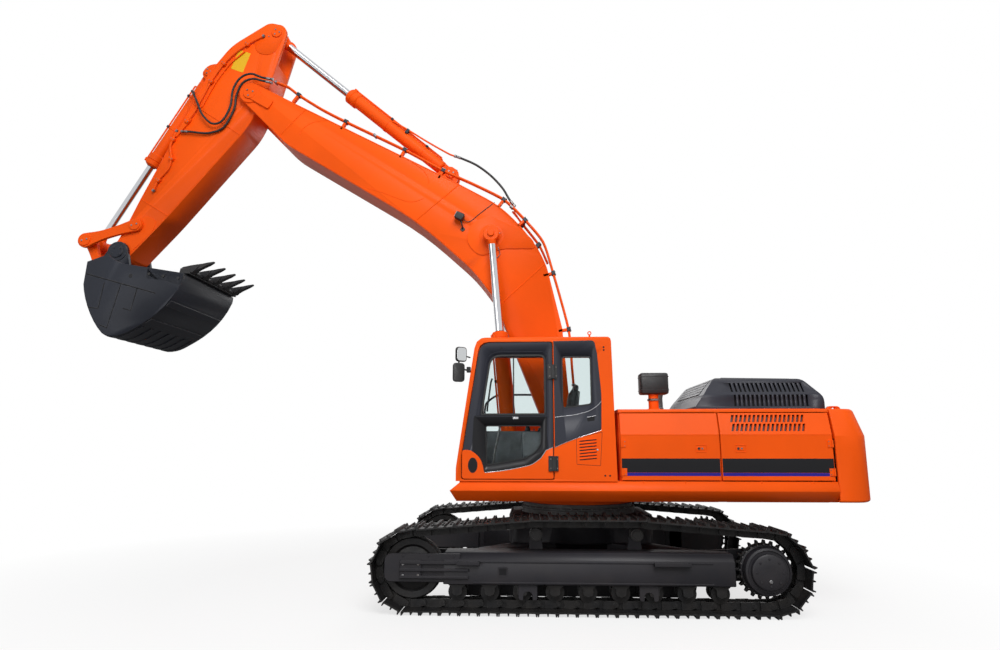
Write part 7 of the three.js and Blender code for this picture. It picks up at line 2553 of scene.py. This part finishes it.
class ModelCylinders(bpy.types.Operator):
    """The boom, arm and bucket cylinders: painted tubes, chrome rods, eyes, bands and oil lines"""

    bl_idname = "excavator.cylinders"
    bl_label = "Cylinders"

    def execute(self, context):
        for cylinder, barrels, rods, eye_at, size in (
            (
                "boom_cylinder", "boom_barrels", "boom_rods", BOOM @ LIFT_EYE,
                (0.1, 1.78, 0.056, 1.9, 0.05, 0.085),
            ),
            (
                "arm_cylinder", "arm_barrel", "arm_rod", ARM @ ARM_TAIL,
                (0.104, 2.18, 0.06, 2.33, 0.05, 0.13),
            ),
            (
                "bucket_cylinder", "bucket_barrel", "bucket_rod", LINK_TOP,
                (0.092, 1.78, 0.052, 1.85, 0.048, 0.075),
            ),
        ):
            bore, length, radius, reach, pin_radius, pin_half = size
            foot = cylinder_frame(cylinder)
            eye = Matrix.Translation(eye_at - foot.translation) @ foot
            pairs = [("_left", 0.462), ("_right", -0.462)] if cylinder == "boom_cylinder" else [("", 0)]
            for word, y in pairs:
                lines = [(1, 0.04), (1, -0.04)] if cylinder != "boom_cylinder" else [(-1, 0.0)]
                parts = barrel_parts(bore, length, y, lines)
                if cylinder == "arm_cylinder":
                    # The supply pipe leaves the tube and rises to the hose that comes over the elbow.
                    end = foot.inverted() @ BOOM @ Vector(CROWD_HOSE[0])
                    ahead = foot.inverted() @ BOOM @ Vector(CROWD_HOSE[1]) - end
                    riser = eased(
                        [
                            (1.3, 0.085, bore - 0.02), (1.05, 0.09, 0.12), (0.62, 0.12, 0.16),
                            end - ahead * 0.8, end,
                        ],
                        8, 0.4,
                    )
                    parts.append(pipe(riser, 0.0145, "body_enamel"))
                    parts.append(slab(0.98, 1.03, 0.05, 0.11, bore - 0.04, 0.14, "cab_enamel", 0.006, 2))
                settle(
                    f"{cylinder}_tube{word}", parts, barrels, foot,
                    [f"{cylinder}_barrel{word}"],
                )
                settle(
                    f"{cylinder}_chrome{word}", rod_parts(radius, reach, y, pin_radius, pin_half), rods,
                    eye, [f"{cylinder}_rod{word}"],
                )
        return {"FINISHED"}


def model_rocker():
    """Pair of rocker levers with their covers and pins."""
    inner, thick, reach = 0.263, 0.056, 0.794
    parts = []
    for side in (1, -1):
        y = (side * inner, side * (inner + thick))
        outline = [
            *circle(0, 0, 0.105, 12, 100, 260), (0.25, -0.072, 0.2), (0.55, -0.072, 0.2),
            *circle(reach, 0, 0.115, 12, -105, 105), (0.55, 0.072, 0.2), (0.25, 0.072, 0.2),
        ]
        parts.append(plate(outline, *y, "body_enamel", edge=0.008, segments=2))
        for x, radius in ((0, 0.1), (reach, 0.108)):
            cap_place = side * (inner + thick - 0.004)
            cover = turned(
                drum(radius * 0.82, cap_place, cap_place + side * 0.02, 0.004), "body_enamel", at=(x, 0, 0),
                sides=36,
            )
            heads = bolts([(x + dx, cap_place + side * 0.02, 0) for dx in (-0.04, 0.04)], 0.014, side=side)
            parts += [cover, heads]
        stub = (side * 0.098, side * (inner + 0.01))
        parts.append(turned(drum(0.048, *stub, 0.003), "bare_steel", at=(reach, 0, 0), sides=28))
        parts.append(turned(
            drum(0.075, side * 0.2, side * (inner + 0.002), 0.004), "body_enamel", at=(reach, 0, 0),
            sides=28,
        ))
    parts.append(turned(drum(0.048, -inner - 0.01, inner + 0.01, 0.003), "bare_steel", sides=28))
    settle("rocker_levers", parts, "rocker", ROCKER, ["rocker"])


def model_link():
    """Link of two cheeks joined by a cross plate."""
    long = LINK_RUN.length
    parts = []
    for side in (1, -1):
        y = (side * 0.1, side * 0.18)
        outline = [
            *circle(0, 0, 0.095, 10, 100, 260), (long * 0.3, -0.06, 0.1), (long * 0.7, -0.058, 0.1),
            *circle(long, 0, 0.082, 10, -105, 105), (long * 0.7, 0.058, 0.1), (long * 0.3, 0.06, 0.1),
        ]
        parts.append(plate(outline, *y, "body_enamel", edge=0.008, segments=2))
        parts.append(turned(drum(0.1, side * 0.176, side * 0.19, 0.004), "body_enamel", sides=28))
    parts.append(slab(long * 0.45, long * 0.74, -0.11, 0.11, -0.042, 0.042, "body_enamel", 0.012, 2))
    parts.append(turned(drum(0.048, -0.218, 0.218, 0.004), "bare_steel", at=(long, 0, 0), sides=28))
    settle("h_link", parts, "bucket_link", LINK, ["bucket_link"])


class ModelLinkage(bpy.types.Operator):
    """Rocker levers and the H-shaped link between them and the bucket"""

    bl_idname = "excavator.linkage"
    bl_label = "Bucket linkage"

    def execute(self, context):
        model_rocker()
        model_link()
        return {"FINISHED"}


# ---------------------------------------------------------------- bucket


def bend(a, b, c, d, steps):
    """Points of a curve from a to d, pulled by b and c; the last point is left to what follows."""
    a, b, c, d = (Vector(p) for p in (a, b, c, d))
    turns = [i / steps for i in range(steps)]
    return [
        tuple(a * (1 - t) ** 3 + b * 3 * t * (1 - t) ** 2 + c * 3 * t * t * (1 - t) + d * t**3)
        for t in turns
    ]


FLOOR_LINE = [
    *bend((1.405, 0.34), (1.33, 0.7), (1.12, 0.96), (0.86, 1.16), 8),
    *bend((0.86, 1.16), (0.72, 1.29), (0.56, 1.34), (0.44, 1.285), 6),
    *bend((0.44, 1.285), (0.24, 1.15), (0.04, 0.86), (-0.029, 0.64), 8),
    (-0.029, 0.64), (-0.068, 0.306),
]


def taper(piece, chosen, factor, middle):
    """Draw the chosen vertices of a piece together across the machine."""
    take(piece)
    bpy.ops.object.mode_set(mode="EDIT")
    bpy.ops.mesh.select_all(action="DESELECT")
    bpy.ops.object.mode_set(mode="OBJECT")
    for vertex in piece.data.vertices:
        vertex.select = chosen(vertex.co)
    bpy.ops.object.mode_set(mode="EDIT")
    bpy.ops.transform.resize(value=factor, center_override=middle)
    bpy.ops.object.mode_set(mode="OBJECT")
    return piece


def normal_at(line, i):
    """Unit normal out of an open outline at one of its points."""
    before, after = Vector(line[max(0, i - 1)]), Vector(line[min(len(line) - 1, i + 1)])
    run = (after - before).normalized()
    return Vector((-run.y, run.x)) * -1


def model_bucket_shell():
    """Shell of the bucket with its wear strips, side cutters, ears and ribs."""
    body = shifted(from_frame("bucket", "bucket_enamel", edge=0.007, segments=2), BUCKET.inverted())
    parts = [body]
    for side in (1, -1):
        # Side plate: raised crease lines painted black as the shade in its creases, the cutter and its bolts.
        for line in (
            [(-0.031, 0.484), (1.059, 0.597)], [(0.275, 0.564), (0.289, 0.948), (0.143, 0.956)],
            [(0.521, 0.556), (0.495, 1.199), (0.372, 1.172)], [(0.775, 0.579), (0.768, 0.9), (0.65, 0.888)],
        ):
            parts.append(pipe(
                [(x, side * (BUCKET_HALF - 0.005), z) for x, z in line], 0.01, "black_enamel_and_painted_shade", 8
            ))
        cutter = [
            (0.84, 0.247, 0.03), (1.4, 0.243, 0.02), (1.405, 0.34, 0.02), (1.38, 0.43, 0.03),
            (1.15, 0.4, 0.1), (0.85, 0.42, 0.06),
        ]
        parts.append(plate(
            cutter, side * (BUCKET_HALF - 0.03), side * BUCKET_HALF, "tooth_steel", edge=0.006
        ))
        heads = [
            (x, side * (BUCKET_HALF - 0.001), z) for x, z in ((0.891, 0.34), (1.104, 0.335), (1.332, 0.33))
        ]
        parts.append(bolts(heads, 0.024, side=side, finish="tooth_steel"))
        parts.append(turned(
            drum(0.03, side * (BUCKET_HALF - 0.003), side * (BUCKET_HALF + 0.001), 0.0005), "black_enamel_and_painted_shade",
            at=(0.628, 0, 0.409), sides=24,
        ))
        # Ear: disc with bolted cover on the arm's pin, and the link pin's boss.
        out = 0.323
        parts.append(turned(
            drum(0.15, side * (out - 0.004), side * (out + 0.012), 0.004), "bucket_enamel", sides=40
        ))
        parts.append(turned(drum(0.1, side * out, side * (out + 0.03), 0.006), "bucket_enamel", sides=36))
        parts.append(bolts(
            [(a, side * (out + 0.03), b) for a, b in circle(0, 0, 0.066, 4, 45, 405)[:4]], 0.015, side=side,
            finish="bucket_enamel",
        ))
        parts.append(turned(
            drum(0.088, side * (out - 0.004), side * (out + 0.014), 0.005), "bucket_enamel",
            at=(-0.21, 0, 0.484), sides=32,
        ))
        parts.append(bolts(
            [(-0.21 + dx, side * (out + 0.014), 0.484) for dx in (-0.035, 0.035)], 0.013, side=side,
            finish="bucket_enamel",
        ))
    # Wear strips wrapped over the heel, and the cross strips under the floor behind the lip.
    strips = 7
    for i in range(strips):
        y = -BUCKET_HALF + 0.1 + i * (2 * BUCKET_HALF - 0.2) / (strips - 1)
        run = FLOOR_LINE[7:20]
        outer = [tuple(Vector(p) + normal_at(FLOOR_LINE, k + 7) * 0.012) for k, p in enumerate(run)]
        back = [tuple(Vector(p) - normal_at(FLOOR_LINE, k + 7) * 0.01) for k, p in enumerate(run)]
        parts.append(plate(
            [*outer, *reversed(back)], y - 0.04, y + 0.04, "bucket_enamel", edge=0.003, steps=1
        ))
    for k in (3, 6):
        at, out = Vector(FLOOR_LINE[k]), normal_at(FLOOR_LINE, k)
        run = Vector((-out.y, out.x))
        corners = [
            at + run * 0.05 - out * 0.01, at + run * 0.05 + out * 0.01, at - run * 0.05 + out * 0.01,
            at - run * 0.05 - out * 0.01,
        ]
        parts.append(plate(
            [tuple(c) for c in corners], -BUCKET_HALF + 0.03, BUCKET_HALF - 0.03, "bucket_enamel",
            edge=0.003,
        ))
    # Tube across the top between the ears.
    parts.append(turned(drum(0.05, -0.26, 0.26, 0.004), "bucket_enamel", at=(0.02, 0, 0.44), sides=28))
    settle("bucket_shell", parts, "bucket", BUCKET, ["bucket"])


def model_bucket_lip():
    """Lip plate with its adapters and pointed teeth."""
    half_lip = BUCKET_HALF - 0.035
    lip = plate(
        [(1.3, 0.175), (1.43, 0.155), (1.46, 0.235), (1.34, 0.2427), (1.3, 0.2427)], -half_lip, half_lip,
        "tooth_steel", edge=0.005,
    )
    parts = [lip]
    count = 5
    for i in range(count):
        y = -BUCKET_HALF + 0.11 + i * (2 * BUCKET_HALF - 0.22) / (count - 1)
        holder = plate(
            [
                (1.305, 0.155, 0.02), (1.43, 0.104, 0.03), (1.54, 0.068, 0.02), (1.555, 0.1),
                (1.49, 0.205, 0.02), (1.36, 0.238, 0.02), (1.31, 0.22, 0.02),
            ],
            y - 0.062, y + 0.062, "tooth_steel", edge=0.01, segments=2,
        )
        point = plate(
            [
                (1.47, 0.095, 0.01), (1.6, 0.042, 0.05), (1.735, -0.012), (1.738, 0.01),
                (1.62, 0.092, 0.08), (1.5, 0.182, 0.02), (1.475, 0.175, 0.01),
            ],
            y - 0.05, y + 0.05, "tooth_steel", edge=0.008, segments=2,
        )
        taper(point, lambda p: p.x > 1.68, (1, 0.36, 1), (1.7, y, 0))
        taper(point, lambda p: 1.56 < p.x <= 1.68, (1, 0.78, 1), (1.6, y, 0))
        parts += [holder, smooth(point)]
        parts.append(turned(
            drum(0.016, y - 0.066, y + 0.066, 0.002), "tooth_steel", at=(1.515, 0, 0.14), sides=16
        ))
        if i < count - 1:
            pitch = (2 * BUCKET_HALF - 0.22) / (count - 1)
            parts.append(plate(
                [(1.39, 0.15, 0.01), (1.475, 0.17, 0.02), (1.475, 0.21, 0.02), (1.39, 0.24, 0.01)],
                y + pitch / 2 - 0.08, y + pitch / 2 + 0.08, "tooth_steel", edge=0.008, segments=2,
            ))
    settle("teeth_and_lip", parts, "bucket", BUCKET, ["cutting_edge"])


class ModelBucket(bpy.types.Operator):
    """Bucket shell with ears, side cutters, creased side plates and wear strips, and its five long teeth"""

    bl_idname = "excavator.bucket"
    bl_label = "Bucket"

    def execute(self, context):
        model_bucket_shell()
        model_bucket_lip()
        return {"FINISHED"}


# ---------------------------------------------------------------- panel and order of work


class BuildStage(bpy.types.Operator):
    """Finishes, pale floor, soft lamps, white surroundings and the camera"""

    bl_idname = "excavator.stage"
    bl_label = "Stage and finishes"

    def execute(self, context):
        build_finishes()
        build_stage()
        return {"FINISHED"}


GROUPS = (
    ("paint", ExcavatorPaint), ("tracks", ExcavatorTracks), ("fittings", ExcavatorFittings),
    ("stage", ExcavatorStage),
)
STEPS = (
    BuildStage, ModelHoses, ModelTracks, ModelWheels, ModelUndercarriage, ModelDeck, ModelSideDoors,
    ModelCounterweight, ModelHood, ModelBodywork, ModelCab, ModelCabDoor, ModelCabInterior, ModelMirrors,
    ModelBoom, ModelArm, ModelCylinders, ModelLinkage, ModelBucket,
)


class EXCAVATOR_PT_pieces(bpy.types.Panel):
    """Sizes, colours and the pieces in their order"""

    bl_idname = "EXCAVATOR_PT_pieces"
    bl_label = "Crawler excavator"
    bl_space_type = "VIEW_3D"
    bl_region_type = "UI"
    bl_category = "Excavator"

    def draw(self, context):
        for name, group in GROUPS:
            box = self.layout.box()
            values = getattr(context.scene, "excavator_" + name)
            for field in group.__annotations__:
                box.prop(values, field)
        column = self.layout.column()
        for step in STEPS:
            column.operator(step.bl_idname)


def register():
    for name, group in GROUPS:
        bpy.utils.register_class(group)
        setattr(bpy.types.Scene, "excavator_" + name, PointerProperty(type=group))
    for step in (*STEPS, EXCAVATOR_PT_pieces):
        bpy.utils.register_class(step)


def unregister():
    for step in reversed((*STEPS, EXCAVATOR_PT_pieces)):
        bpy.utils.unregister_class(step)
    for name, group in reversed(GROUPS):
        delattr(bpy.types.Scene, "excavator_" + name)
        bpy.utils.unregister_class(group)


def main():
    register()
    for step in STEPS:
        family, name = step.bl_idname.split(".")
        getattr(getattr(bpy.ops, family), name)()
    put_down_all()


if __name__ == "__main__":
    main()
